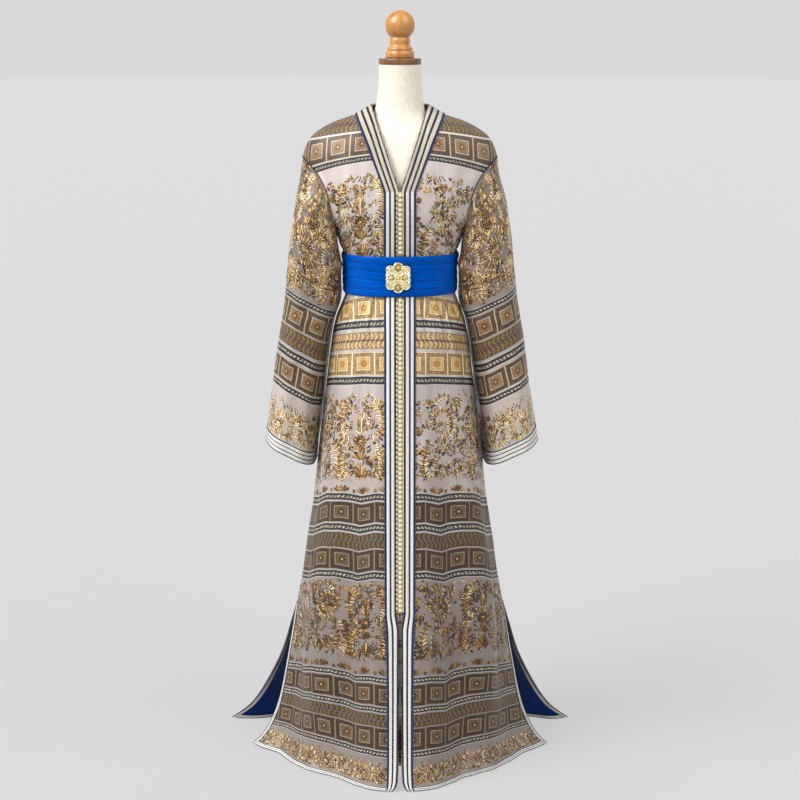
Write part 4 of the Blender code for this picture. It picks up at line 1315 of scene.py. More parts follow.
@dataclass(frozen=True)
class ChainBand:
    """Two rows of overlapping crescents with brown outlines, a grey line between."""

    name: str = "crescent_chain_brocade"
    gold: str = "#7a6036"
    edge: str = "#2f1f10"
    ground: str = "#5d534e"
    pitch: float = 0.0216
    radius: float = 0.0075

    def make(self) -> Material:
        """Return the material."""
        board = NodeBoard(self.name, Roughness=0.45, Sheen_Weight=0.05, Metallic=0.12,
                          Specular_IOR_Level=0.35)
        vector, u, v = flat_place(board)
        below = board.add("Math", v, CHAIN_HEIGHT / 2, operation="SUBTRACT")
        middle = board.add("Math", below, operation="ABSOLUTE")
        y = board.add("Math", middle, CHAIN_HEIGHT / 4, operation="SUBTRACT")
        y2 = board.add("Math", y, y, operation="MULTIPLY")
        hand = board.add("Math", below, operation="SIGN")
        depth = None
        for phase in (0.0, 0.5):
            turns = board.add("Math", u, 1 / self.pitch, phase, operation="MULTIPLY_ADD")
            x = board.add("Math", board.add("Math", turns, operation="FRACT"), 0.5,
                          operation="SUBTRACT")
            x = board.add("Math", x, self.pitch, operation="MULTIPLY")
            x = board.add("Math", x, hand, operation="MULTIPLY")
            outer = board.add("Math", board.add("Math", x, x, y2, operation="MULTIPLY_ADD"),
                              operation="SQRT")
            outer = board.add("Math", outer, self.radius, operation="SUBTRACT")
            shifted = board.add("Math", x, 0.0056, operation="SUBTRACT")
            inner = board.add("Math", board.add("Math", shifted, shifted, y2,
                                                operation="MULTIPLY_ADD"), operation="SQRT")
            inner = board.add("Math", 0.0062, inner, operation="SUBTRACT")
            leaf = board.add("Math", outer, inner, operation="MAXIMUM")
            depth = leaf if depth is None else board.add("Math", depth, leaf,
                                                         operation="MINIMUM")
        share = board.add("MapRange", depth, -0.004, 0.004, 0.0, 1.0)
        leaves = board.add("ValToRGB", share, stops=[
            (0.0, self.gold), (1.0, self.ground), (0.42, self.edge), (0.57, self.ground)],
            smooth=False)
        row = board.add("Math", middle, 0.0013, operation="LESS_THAN")
        colour = board.add("Mix", row, leaves, "#4e494a", data_type="RGBA")
        grain = board.add("TexNoise", vector, 300.0, 2.0, noise_dimensions="2D")
        flecks = board.add("MapRange", grain, 0.52, 0.68, 0.0, 0.7)
        colour = board.add("Mix", flecks, colour, self.edge, data_type="RGBA")
        return board.finish(colour, board.add("RGBToBW", colour), 0.0006)


@dataclass(frozen=True)
class GoldThread:
    """Raised gold brocade thread: bronze to pale gold by figure; a painted highlight on one
    side of each leaf, painted shade on the other, and a dark outline that is partly painted
    shade.
    """

    name: str = "gold_brocade_thread"

    def make(self) -> Material:
        """Return the material."""
        board = NodeBoard(self.name, Roughness=0.36, Metallic=0.35)
        vector, along, across = flat_place(board)
        tone = board.add("Attribute", pick=2, attribute_name=TONE)
        # One side of each leaf is painted pale and the other dark, a painted highlight and
        # painted shade, so that it looks raised.
        painted_side_light = board.add("MapRange", across, -0.45, 0.25, -0.34, 0.26)
        shade = board.add("Math", tone, painted_side_light, operation="ADD")
        gold = board.add("ValToRGB", shade, stops=[
            (0.0, "#2b1a0b"), (1.0, "#e8dab6"), (0.24, "#523617"), (0.50, "#926d36"),
            (0.76, "#c6a66b")])
        # Each leaf darkens towards its edges: partly its dark outline, partly painted shade
        # where the raised leaf turns away.
        edge = board.add("MapRange", board.add("Math", across, operation="ABSOLUTE"),
                         0.54, 0.86, 0.0, 0.92)
        colour = board.add("Mix", edge, gold, "#26170a", data_type="RGBA")
        stitch = board.add("TexWave", vector, 2.6, 1.0, 2.0, bands_direction="X")
        return board.finish(colour, stitch, 0.00012)


@dataclass(frozen=True)
class Cord:
    """Twisted cord or flat braid: slanting plies, shaded by their bump and by painted light
    and shade along each ply.
    """

    name: str
    colour: str
    shade: str
    sheen: float = 0.2
    pitch: float = 0.0024
    roughness: float = 0.55

    def make(self) -> Material:
        """Return the material."""
        board = NodeBoard(self.name, Roughness=self.roughness, Sheen_Weight=self.sheen,
                          Specular_IOR_Level=0.3)
        vector, u, v = flat_place(board)
        # Plies are drawn at 2.4 mm; the real ones, near 1 mm, are too fine to show.
        slant = board.add("Math", board.add("Math", v, operation="ABSOLUTE"), u,
                          operation="ADD")
        turns = board.add("Math", slant, 2 * math.pi / self.pitch, operation="MULTIPLY")
        ply = board.add("Math", turns, operation="SINE")
        # Each ply runs from shade to colour: a painted highlight and painted shade along the
        # twist.
        mix = board.add("MapRange", ply, -1.0, 1.0, 0.0, 1.0)
        colour = board.add("Mix", mix, self.shade, self.colour, data_type="RGBA")
        return board.finish(colour, mix, 0.00035)


@dataclass(frozen=True)
class Satin:
    """Royal blue satin: close, even, and brighter where it turns to the light."""

    name: str
    colour: str
    shade: str
    roughness: float = 0.34
    sheen: float = 0.10

    def make(self) -> Material:
        """Return the material."""
        board = NodeBoard(self.name, Roughness=self.roughness, Sheen_Weight=self.sheen,
                          Sheen_Tint=self.colour, Specular_IOR_Level=0.22,
                          Specular_Tint=self.colour)
        vector, _, _ = flat_place(board)
        along = board.add("VectorMath", vector, (9.0, 260.0, 1.0), operation="MULTIPLY")
        slub = board.add("TexNoise", along, 1.0, 2.0, noise_dimensions="2D")
        mix = board.add("MapRange", slub, 0.3, 0.7, 0.0, 1.0)
        colour = board.add("Mix", mix, self.shade, self.colour, data_type="RGBA")
        return board.finish(colour, slub, 0.00010)


@dataclass(frozen=True)
class Linen:
    """Cream linen cover of the form: a plain weave with small slubs."""

    name: str = "cream_linen"

    def make(self) -> Material:
        """Return the material."""
        board = NodeBoard(self.name, Roughness=0.88, Sheen_Weight=0.2)
        vector, _, _ = flat_place(board)
        # Threads are drawn 1.5 mm wide; the real count is finer than shows.
        thread = board.add("TexNoise", vector, 650.0, 2.0, noise_dimensions="2D")
        slub = board.add("TexNoise", vector, 60.0, 3.0, noise_dimensions="2D")
        colour = board.add("ValToRGB", slub, stops=[(0.3, "#c9beab"), (0.7, "#d2cbbd")])
        return board.finish(colour, thread, 0.0002)


@dataclass(frozen=True)
class Wood:
    """Polished wood with grain that runs up the turning."""

    name: str
    light: str
    dark: str
    roughness: float = 0.34

    def make(self) -> Material:
        """Return the material."""
        board = NodeBoard(self.name, Roughness=self.roughness, Coat_Weight=0.25,
                          Coat_Roughness=0.2)
        place = board.add("TexCoord", pick=3)
        grain = board.add("VectorMath", place, (90.0, 90.0, 9.0), operation="MULTIPLY")
        fibre = board.add("TexNoise", grain, 1.0, 4.0, 0.6)
        mix = board.add("MapRange", fibre, 0.32, 0.68, 0.0, 1.0)
        colour = board.add("Mix", mix, self.dark, self.light, data_type="RGBA")
        return board.finish(colour, fibre, 0.0001)


@dataclass(frozen=True)
class Metal:
    """Polished metal, faintly brushed."""

    name: str
    colour: str
    roughness: float

    def make(self) -> Material:
        """Return the material."""
        board = NodeBoard(self.name, Metallic=1.0)
        place = board.add("TexCoord", pick=3)
        scratch = board.add("TexNoise", place, 300.0, 2.0)
        rough = board.add("MapRange", scratch, 0.3, 0.7, self.roughness - 0.05,
                          self.roughness + 0.07)
        return board.finish(self.colour, None, 0.0, rough)


@dataclass(frozen=True)
class StudioFloor:
    """Matt pale floor paper on a light table, which keeps shadows faint."""

    name: str = "pale_floor_paper"
    colour: str = "#595859"
    glow: str = "#dbdadb"
    power: float = 0.72

    def make(self) -> Material:
        """Return the material."""
        board = NodeBoard(self.name, Roughness=0.95, Specular_IOR_Level=0.05,
                          Emission_Color=self.glow, Emission_Strength=self.power)
        place = board.add("TexCoord", pick=3)
        mottle = board.add("TexNoise", place, 6.0, 2.0)
        colour = board.add("Mix", mottle, self.colour, "#5b5a5b", data_type="RGBA")
        return board.finish(colour)


@dataclass
class Wardrobe:
    """Every finish of the object, made once."""

    silk: Material = field(init=False)
    brocade: list[Material] = field(init=False)
    gold: Material = field(init=False)

    def __post_init__(self) -> None:
        """Make the materials."""
        self.silk = SilkGround().make()
        lining = Satin("blue_satin_lining", "#00265f", "#002054", 0.60, 0.0)
        self.blue_lining = lining.make()
        self.facing = Cord("grey_silk_backing", "#68615f", "#605958").make()
        bright_tiles = TileBand("gold_tile_brocade", "#b79963", "#c4af7f", "#765e41",
                                "#594635", "#b99f6c", "#c9b788", "#8b6530", "#92723f")
        bright_chain = ChainBand("gold_crescent_brocade", "#c0a065", "#4f3516", "#958983")
        # The lower bands' colours are darker than the waist's: partly their own browner weave,
        # partly painted shade where the light falls off downward.
        dark_tiles = TileBand("dark_tile_brocade", "#5b4933", "#7b6a50", "#2b2017", "#171310",
                              "#4b3a24", "#6d5a3d", "#392410", "#332414")
        dark_chain = ChainBand("dark_crescent_brocade", "#65502d", "#21150a", "#433930")
        self.brocade = [self.silk, VineBand().make(), TileBand().make(), ChainBand().make(),
                        bright_tiles.make(), bright_chain.make(), self.facing,
                        dark_tiles.make(), dark_chain.make()]
        # The sleeves' ground is painted darker towards the armhole: painted shade on the
        # sleeve's upper part beside the body.
        sleeve_silk = SilkGround("silver_mauve_sleeve_silk_painted_shade", shades=(
            (0.0, "#a3998f"), (1.0, "#5a504a"), (0.09, "#a3998f"), (0.20, "#81776f"),
            (0.32, "#665c55")), low_painted_shade=1.0)
        self.sleeve_brocade = [sleeve_silk.make()] + self.brocade[1:]
        self.gold = GoldThread().make()
        self.navy = Cord("navy_twisted_cord", "#081030", "#040716", 0.0).make()
        self.blue = Cord("bright_blue_cord", "#17357c", "#0f2762", 0.05).make()
        self.cream = Cord("cream_flat_braid", "#cccac4", "#aeaca6").make()
        self.tan = Cord("warm_cream_braid", "#b8b1a0", "#968d7b", 0.1).make()
        self.cords = [self.navy, self.cream, self.tan, self.blue]
        self.gold_cord = Cord("pale_gold_cord", "#cfc39e", "#bbac80").make()
        self.belt = Satin("royal_blue_satin", "#00479e", "#003e8e", 0.30).make()
        self.gilt = Metal("gilt_brass", "#e6d394", 0.32).make()
        # The rims' pale brass is a painted highlight, and the hollows' dark brass is painted
        # shade.
        self.gilt_painted_highlight = Metal("painted_highlight_brass", "#fbf3d9", 0.24).make()
        self.gilt_painted_shade = Metal("painted_shade_brass_ground", "#8a6f38", 0.50).make()
        self.linen = Linen().make()
        self.oak = Wood("golden_oak", "#bd8440", "#915e2a").make()
        self.walnut = Wood("dark_walnut", "#7d5630", "#553619").make()
        self.steel = Metal("brushed_steel", "#b9bcbf", 0.32).make()
        self.floor = StudioFloor().make()


# ---- meshes
class Piece:
    """Builds one mesh object from arrays, with its UV map and its tone."""

    def __init__(self, name: str, materials: Sequence[Material]) -> None:
        """Start an empty piece.

        Args:
            name: The object's name.
            materials: The materials, in the order of the slots.
        """
        self.name = name
        self.materials = list(materials)
        self.points: list[Array] = []
        self.faces: list[tuple[int, ...]] = []
        self.slots: list[int] = []
        self.uvs: list[tuple[tuple[float, float], ...]] = []
        self.tones: list[Array] = []
        self.count = 0

    def add_points(self, points: Array, tone: float = 0.0) -> int:
        """Add points and return the index of the first.

        Args:
            points: The points.
            tone: The tone that they all get.

        Returns:
            The index of the first.
        """
        first = self.count
        self.points.append(np.asarray(points, float).reshape(-1, 3))
        self.tones.append(np.full(len(self.points[-1]), tone))
        self.count += len(self.points[-1])
        return first

    def add_face(self, face: Sequence[int], uv: Sequence, slot: int = 0) -> None:
        """Add a face with its corners' UV places and its material slot.

        Args:
            face: The corners' points.
            uv: The corners' UV places.
            slot: The material slot.
        """
        self.faces.append(tuple(face))
        self.uvs.append(tuple(map(tuple, uv)))
        self.slots.append(slot)

    def build(self, smooth_degrees: float = 60.0) -> Object:
        """Make the object and link it to the scene.

        Args:
            smooth_degrees: The least angle between faces that stays sharp.

        Returns:
            The object.
        """
        mesh = bpy.data.meshes.new(self.name)
        points = np.vstack(self.points)
        mesh.from_pydata(points.tolist(), [], self.faces)
        layer = mesh.uv_layers.new(name=FLAT_UV)
        flat = [value for uv in self.uvs for place in uv for value in place]
        layer.data.foreach_set("uv", flat)
        if any(tones.any() for tones in self.tones):
            tone = mesh.attributes.new(TONE, "FLOAT", "POINT")
            tone.data.foreach_set("value", np.concatenate(self.tones))
        mesh.polygons.foreach_set("material_index", self.slots)
        for material in self.materials:
            mesh.materials.append(material)
        mesh.shade_smooth()
        mesh.set_sharp_from_angle(angle=math.radians(smooth_degrees))
        mesh.update()
        thing = bpy.data.objects.new(self.name, mesh)
        bpy.context.scene.collection.objects.link(thing)
        return thing


def report(thing: Object, note: str) -> None:
    """Log a finished piece and its number of triangles."""
    triangles = sum(len(face.vertices) - 2 for face in thing.data.polygons)
    LOG.info("%s: %s, %d triangles", thing.name, note, triangles)


@dataclass
class BrocadeSheet:
    """A panel of brocade: cut flat along its bands, then hung on its drape as a thin shell."""

    name: str
    drape: Drape
    materials: Sequence[Material]
    leafy: Sequence[tuple[float, float, float]]
    wall: float = 0.0013

    def flat_shape(self) -> bmesh.types.BMesh:
        """Return the flat cloth as (column, height, row), cut along every band's edges."""
        rows, columns = self.drape.shape
        shape = bmesh.new()
        corners = [[shape.verts.new((j, self.drape.height[i, j], i)) for j in range(columns)]
                   for i in range(rows)]
        for i in range(rows - 1):
            for j in range(columns - 1):
                shape.faces.new((corners[i][j], corners[i][j + 1],
                                 corners[i + 1][j + 1], corners[i + 1][j]))
        for level in sorted({level for band in self.drape.bands for level in band[:2]}):
            everything = shape.verts[:] + shape.edges[:] + shape.faces[:]
            bmesh.ops.bisect_plane(shape, geom=everything, dist=1e-7,
                                   plane_co=(0, level, 0), plane_no=(0, 1, 0))
        return shape

    def band_at(self, height: float) -> Band | None:
        """Return the band at a height on the cloth, if there is one.

        Args:
            height: The height on the cloth.

        Returns:
            The band, or None on plain silk.
        """
        for band in self.drape.bands:
            if band.low <= height <= band.high:
                return band
        return None

    def build(self) -> Object:
        """Make the sheet."""
        shape = self.flat_shape()
        shape.verts.index_update()
        flat = np.array([vertex.co for vertex in shape.verts])
        column, height, row = flat.T
        places = np.arange(self.drape.shape[0])
        start = np.interp(row, places, self.drape.start)
        stop = np.interp(row, places, self.drape.stop)
        u = start + (stop - start) * column / (self.drape.shape[1] - 1)
        piece = Piece(self.name, self.materials)
        outer = piece.add_points(self.drape.lift(row, column, np.zeros(len(flat))))
        leafy = np.zeros(len(flat))
        for low, high, strength in self.leafy:
            leafy = np.maximum(leafy, strength * smooth_step((height - low) / LEAFY_FADE)
                               * smooth_step((high - height) / LEAFY_FADE))
        piece.tones[-1] = leafy
        inner = piece.add_points(self.drape.lift(row, column, np.full(len(flat), -self.wall)))
        nominal = {Weave.VINE: VINE_HEIGHT, Weave.TILES: TILE_HEIGHT,
                   Weave.CHAIN: CHAIN_HEIGHT, Weave.GOLD_TILES: TILE_HEIGHT,
                   Weave.GOLD_CHAIN: CHAIN_HEIGHT, Weave.DARK_TILES: TILE_HEIGHT,
                   Weave.DARK_CHAIN: CHAIN_HEIGHT}
        turn = self.drape.facing
        for face in shape.faces:
            index = [vertex.index for vertex in face.verts][::turn]
            middle = height[index].mean()
            band = self.band_at(middle)
            if band is None:
                slot, uv = 0, [(u[i], height[i]) for i in index]
            else:
                scale = nominal[band.weave] / (band.high - band.low)
                slot = band.weave.value
                uv = [(u[i], (height[i] - band.low) * scale) for i in index]
            piece.add_face([outer + i for i in index], uv, slot)
            piece.add_face([inner + i for i in index[::-1]],
                           [(u[i], height[i]) for i in index[::-1]], Weave.BACKING.value)
        for edge in shape.edges:
            if edge.is_boundary:
                loop = edge.link_loops[0]
                a, b = loop.vert.index, loop.link_loop_next.vert.index
                quad = [(b, outer), (a, outer), (a, inner), (b, inner)][::turn]
                piece.add_face([i + layer for i, layer in quad],
                               [(u[i], height[i]) for i, _ in quad], 0)
        shape.free()
        return piece.build()


# ---- gold figures
class Figure:
    """A drawing of tapered strokes in millimetres on the flat cloth, x right and y up."""

    def __init__(self) -> None:
        """Start an empty drawing."""
        self.strokes: list[tuple[Array, Array, float, float]] = []

    def stroke(self, path: Sequence, widths: Sequence, tone: float,
               rise: float = 0.45) -> None:
        """Add a stroke: a path, its half widths (0 at both ends), a tone and a rise in mm."""
        self.strokes.append((np.array(path, float), np.array(widths, float), tone, rise))

    def leaf(self, x: float, y: float, heading: float, length: float, width: float,
             tone: float = 0.6, bend: float = 0.0, rise: float = 0.45) -> None:
        """Add a leaf from its base, its heading and bend in degrees.

        Args:
            x: Place of its base, in mm.
            y: Height of its base, in mm.
            heading: Where its base points, in degrees.
            length: Length, in mm.
            width: Greatest width, in mm.
            tone: How pale the gold is, from 0 to 1.
            bend: How far it turns on its way, in degrees.
            rise: Height of its relief, in mm.
        """
        stations = np.array([0.0, 0.26, 0.64, 1.0])
        angles = math.radians(heading) + math.radians(bend) * stations
        steps = np.diff(stations, prepend=0.0) * length
        px = x + np.cumsum(np.cos(angles) * steps)
        py = y + np.cumsum(np.sin(angles) * steps)
        shares = np.array([0.0, 0.92, 1.0, 0.0])
        self.stroke(np.column_stack((px, py)), shares * width / 2, tone, rise)

    def curve(self, points: Sequence, width: float, tone: float = 0.6, count: int = 8,
              rise: float = 0.40) -> Array:
        """Add a tapering curve through control points, and return its path.

        Args:
            points: Control points, in mm.
            width: Greatest width, in mm.
            tone: How pale the gold is.
            count: Points along it.
            rise: Height of its relief, in mm.

        Returns:
            The curve's points.
        """
        control = np.array(points, float)
        t = np.linspace(0.0, 1.0, count)
        degree = len(control) - 1
        path = sum(math.comb(degree, i) * ((1 - t)**(degree - i) * t**i)[:, None] * control[i]
                   for i in range(degree + 1))
        swell = np.sin(math.pi * np.clip(t * 0.94 + 0.03, 0, 1))**0.6 * ((t > 0) & (t < 1))
        self.stroke(path, width / 2 * swell, tone, rise)
        return path

    def spiral(self, x: float, y: float, radius: float, inner: float, start: float,
               turns: float, width: float, tone: float = 0.6, count: int = 16) -> Array:
        """Add a spiral that winds in from a start angle, and return its path.

        Args:
            x: Place of the spiral's middle, in mm.
            y: Height of its middle, in mm.
            radius: Radius where it starts, in mm.
            inner: Radius where it ends, in mm.
            start: Angle where it starts, in degrees.
            turns: Turns; a negative number turns clockwise.
            width: Greatest width, in mm.
            tone: How pale the gold is.
            count: Points along it.

        Returns:
            The spiral's points.
        """
        t = np.linspace(0.0, 1.0, count)
        angles = np.radians(start + 360 * turns * t)
        reach = radius + (inner - radius) * t**0.85
        path = np.column_stack((x + reach * np.cos(angles), y + reach * np.sin(angles)))
        taper = np.minimum(1.0, 4 * t) * (1 - 0.55 * t)
        taper[0] = taper[-1] = 0.0
        self.stroke(path, width / 2 * taper, tone)
        return path

    def dot(self, x: float, y: float, radius: float, tone: float = 0.8) -> None:
        """Add a round dot."""
        self.stroke([(x - radius, y), (x - 0.55 * radius, y), (x + 0.55 * radius, y),
                     (x + radius, y)], [0.0, 0.85 * radius, 0.85 * radius, 0.0], tone)

    def flower(self, x: float, y: float, radius: float, petals: int, tone: float = 0.7,
               heart: float = 0.9, turn: float = 0.0) -> None:
        """Add a flower of leaf-shaped petals round a dot.

        Args:
            x: Place of its middle, in mm.
            y: Height of its middle, in mm.
            radius: Radius, in mm.
            petals: Number of petals.
            tone: The petals' tone.
            heart: The dot's tone.
            turn: Heading of the first petal, in degrees.
        """
        for i in range(petals):
            heading = turn + 360 * i / petals
            base = 0.22 * radius
            self.leaf(x + base * math.cos(math.radians(heading)),
                      y + base * math.sin(math.radians(heading)),
                      heading, 0.78 * radius, 3.4 * radius / petals + 0.6, tone)
        self.dot(x, y, 0.28 * radius, heart)

    def fan(self, x: float, y: float, heading: float, spread: float, count: int,
            length: float, width: float, tone: float = 0.6, tip: float = 0.7) -> None:
        """Add a palmette: leaves fanned about a heading, shorter at the sides.

        Args:
            x: Place of its foot, in mm.
            y: Height of its foot, in mm.
            heading: Where its middle leaf points, in degrees.
            spread: Angle between the outer leaves.
            count: Number of leaves.
            length: Length of the middle leaf, in mm.
            width: Width of a leaf, in mm.
            tone: How pale the gold is.
            tip: Share of the length that the outer leaves keep.
        """
        for i in range(count):
            share = 2 * i / (count - 1) - 1
            angle = heading + share * spread / 2
            reach = length * (tip + (1 - tip) * (1 - share * share))
            self.leaf(x, y, angle, reach, width, tone + 0.11 * (-1)**i, bend=-14 * share)

    def foliage(self, path: Array, pitch: float, length: float, width: float,
                tones: tuple[float, float] = (0.5, 0.7), slant: float = 34.0,
                taper: float = 0.2) -> None:
        """Set leaves along both sides of a path, leaning forward and curling out.

        Args:
            path: The stem's points.
            pitch: Distance between leaves along the stem, in mm.
            length: Length of the first leaves, in mm.
            width: Width of the first leaves, in mm.
            tones: Tone on the left and on the right of the way.
            slant: Angle between a leaf's foot and the stem, in degrees.
            taper: Share by which the last leaves are smaller.
        """
        along = np.concatenate(([0.0], np.cumsum(np.linalg.norm(np.diff(path, axis=0),
                                                                axis=1))))
        for hand, tone in ((1, tones[0]), (-1, tones[1])):
            places = np.arange(pitch * (0.55 + 0.2 * hand), along[-1], pitch)
            for number, place in enumerate(places):
                x, y = (np.interp(place, along, path[:, axis]) for axis in (0, 1))
                ahead = [np.interp(place + 1.0, along, path[:, axis]) for axis in (0, 1)]
                back = [np.interp(place - 1.0, along, path[:, axis]) for axis in (0, 1)]
                heading = math.degrees(math.atan2(ahead[1] - back[1], ahead[0] - back[0]))
                size = (1 - taper * place / along[-1]) * (1.12, 0.72, 0.95)[number % 3]
                self.leaf(x, y, heading + hand * (slant + 9 * math.sin(1.7 * number + hand)),
                          length * size, width * size, tone + 0.16 * (-1)**number,
                          bend=hand * (62 + 16 * math.sin(2.9 * number)))

    def mirrored(self) -> "Figure":
        """Return the drawing's mirror image."""
        other = Figure()
        for path, widths, tone, rise in self.strokes:
            other.stroke(path * np.array([-1.0, 1.0]), widths, tone, rise)
        return other


def both_sides(draw: Callable[[Figure], None]) -> Figure:
    """Return what a function draws, together with its mirror image.

    Args:
        draw: Draws the right half on a figure.

    Returns:
        The whole figure.
    """
    half = Figure()
    draw(half)
    half.strokes += half.mirrored().strokes
    return half


def draw_candelabrum() -> Figure:
    """Draw the tall figure: a lily foot, a crown, a flower and a cone between garlands."""

    def side(f: Figure) -> None:
        """Draw the right half.

        Args:
            f: The figure to draw on.
        """
        low = f.curve([(38, 0), (58, 12), (54, 46), (40, 74)], 2.4, 0.26, 10)
        f.foliage(low, 5.4, 13.0, 4.6, (0.60, 0.34))
        f.foliage(f.curve([(44, 12), (34, 30), (46, 44), (38, 58)], 1.8, 0.26, 7),
                  5.6, 8.0, 4.0, (0.40, 0.62))
        f.spiral(35, 14, 11, 3, 150, 1.3, 2.9, 0.24, 14)
        f.dot(35, 14, 2.4, 0.80)
        f.spiral(21, 17, 8, 2.5, 250, -1.1, 3.4, 0.20, 10)
        f.spiral(24, 36, 8, 2.5, -60, 1.1, 3.0, 0.22, 10)
        f.fan(30, 48, 60, 130, 5, 11, 4.0, 0.40)
        arc = f.curve([(25, 82), (56, 84), (56, 134), (40, 160)], 2.6, 0.28, 12)
        f.foliage(arc, 5.2, 13.0, 4.6, (0.72, 0.38), taper=0.0)
        f.fan(40, 158, 80, 240, 9, 18, 5.0, 0.50, 0.7)
        f.fan(41, 160, 70, 150, 5, 9, 4.0, 0.84)
        f.foliage(f.curve([(34, 166), (26, 186), (8, 182), (12, 168)], 2.4, 0.26),
                  6.0, 7.5, 3.6, (0.44, 0.62))
        f.foliage(f.curve([(32, 146), (18, 164), (4, 154), (9, 143)], 2.4, 0.28),
                  6.2, 7.5, 3.6, (0.50, 0.36))
        f.spiral(23, 94, 7.5, 2, 200, 1.2, 2.8, 0.26, 10)
        f.leaf(13, 84, 20, 13, 5.0, 0.30, 40)
        f.leaf(14, 72, -24, 13, 5.0, 0.26, 60)
        f.leaf(15, 60, 14, 15, 5.0, 0.30, 40)
        f.leaf(12, 49, -12, 13, 5.0, 0.28, 50)

    figure = both_sides(side)
    figure.fan(0, 12, 90, 210, 11, 26, 6.0, 0.26, 0.66)
    figure.fan(0, 27, -90, 130, 5, 20, 6.0, 0.22)
    figure.stroke([(0, 12), (0, 18), (0, 30), (0, 38)], [0, 4.6, 4.6, 0], 0.64, 0.8)
    figure.fan(0, 46, 90, 160, 9, 21, 5.8, 0.22, 0.74)
    figure.fan(0, 61, 90, 60, 3, 12, 4.4, 0.44)
    figure.flower(0, 83, 17, 11, 0.20, 0.62)
    figure.flower(0, 83, 8, 8, 0.44, 0.90, 22)
    figure.stroke([(0, 98), (0, 106), (0, 124), (0, 140)], [0, 3.0, 3.2, 0], 0.50, 0.8)
    for level in range(8):
        for hand in (-1, 1):
            figure.leaf(hand * 2.2, 98 + 4.8 * level, 90 - hand * (80 - 6 * level), 13.0, 3.6,
                        0.62 - 0.26 * (level % 2), hand * 40, 0.6)
    figure.fan(0, 132, 90, 100, 5, 14, 4.4, 0.52)
    return figure


def draw_wreath() -> Figure:
    """Draw the wreath figure: a great leafy spiral over four volutes and a garland."""
    figure = Figure()
    wheel = figure.spiral(2, 122, 36, 14, 250, 1.30, 2.8, 0.26, 34)
    figure.foliage(wheel, 5.2, 11.5, 4.4, (0.44, 0.66), taper=0.25)
    figure.flower(2, 122, 8, 7, 0.40, 0.24)
    stem = figure.curve([(-30, 0), (-50, 22), (-44, 54), (-26, 84)], 2.6, 0.26, 10)
    figure.foliage(stem, 5.3, 13.5, 4.6, (0.42, 0.64), taper=0.0)
    twig = figure.curve([(-18, 8), (-12, 30), (-22, 48), (-8, 66)], 2.2, 0.26, 8)
    figure.foliage(twig, 5.8, 10.0, 4.2, (0.58, 0.34))
    for x, y, radius, start, turn in ((24, 62, 17, 160, -1.45), (8, 23, 16.5, 100, 1.45),
                                      (64, 62, 17, 20, 1.45), (62, 22, 18, 150, -1.45)):
        ring = figure.spiral(x, y, radius, 4, start, turn, 2.6, 0.20, 20)
        for i in range(9):
            angle = math.radians(start + 40 * i)
            reach = radius * (0.78, 0.42, 0.62)[i % 3]
            figure.leaf(x + reach * math.cos(angle), y + reach * math.sin(angle),
                        start + 40 * i + 110, 7, 3.4, 0.30 + 0.16 * (i % 3), 60)
        figure.foliage(ring[:8], 8.0, 7.0, 3.6, (0.36, 0.56))
    spray = figure.curve([(-16, 160), (-4, 172), (10, 184), (24, 172)], 2.4, 0.28, 8)
    figure.foliage(spray, 5.2, 11.5, 4.4, (0.44, 0.64))
    figure.spiral(39, 170, 11, 2.5, 230, 1.3, 2.8, 0.26, 12)
    figure.foliage(figure.curve([(30, 158), (46, 150), (56, 166), (48, 180)], 2.2, 0.28, 7),
                   5.4, 10.0, 4.2, (0.50, 0.66))
    figure.fan(-30, 160, 120, 170, 7, 15, 4.6, 0.44)
    figure.fan(-46, 140, 160, 140, 5, 13, 4.4, 0.40)
    figure.fan(36, 40, 20, 300, 6, 9, 3.8, 0.40)
    figure.fan(50, 88, 60, 240, 7, 12, 4.2, 0.46)
    figure.fan(-48, 100, 170, 160, 5, 13, 4.4, 0.40)
    for x, y in ((-6, 86), (-6, 178), (20, 40), (-54, 78), (44, 108), (56, 128)):
        figure.fan(x, y, 47 * x, 160, 3, 8, 3.8, 0.44)
    return figure


def draw_sprig() -> Figure:
    """Draw the small fan that stands in rows above the stripes."""
    figure = Figure()
    figure.fan(0, 1, 90, 124, 7, 17, 4.0, 0.30)
    for hand in (-1, 1):
        figure.leaf(hand * 3, 2, 90 - hand * 88, 17, 4.2, 0.30, hand * 50)
        figure.leaf(hand * 12, 3, 90 - hand * 70, 10, 3.8, 0.42, hand * 60)
        figure.leaf(hand * 8, 7, 90 - hand * 40, 10, 3.6, 0.36, hand * 50)
    figure.flower(25.5, 4, 4.5, 4, 0.14, 0.4, 45)
    return figure


def draw_bouquet() -> Figure:
    """Draw the hem's bouquet: a rosette with leaves, curling stems and buds."""

    def side(f: Figure) -> None:
        """Draw the right half.

        Args:
            f: The figure to draw on.
        """
        stem = f.curve([(6, 8), (26, -2), (44, 14), (28, 36)], 2.4, 0.34, 12)
        f.foliage(stem, 5.0, 10.5, 4.4, (0.46, 0.70))
        f.spiral(29, 23, 7, 2, 60, 1.2, 2.6, 0.40, 10)
        f.leaf(9, 26, 40, 16, 5.2, 0.36, 30)
        f.leaf(7, 38, 58, 15, 4.8, 0.60, 20)
        f.leaf(10, 5, -4, 17, 5.0, 0.46, 20)
        f.fan(40, 40, 60, 200, 6, 10, 4.0, 0.62)
        f.foliage(f.curve([(14, 42), (26, 42), (32, 54), (22, 64)], 2.0, 0.34, 8),
                  5.0, 9.0, 4.0, (0.64, 0.44))

    figure = both_sides(side)
    figure.flower(0, 24, 13, 9, 0.46, 0.3)
    figure.flower(0, 24, 7, 7, 0.86, 0.3, 22)
    figure.fan(0, 38, 90, 130, 7, 17, 4.8, 0.46)
    figure.fan(0, 12, -90, 140, 7, 11, 4.4, 0.40)
    return figure


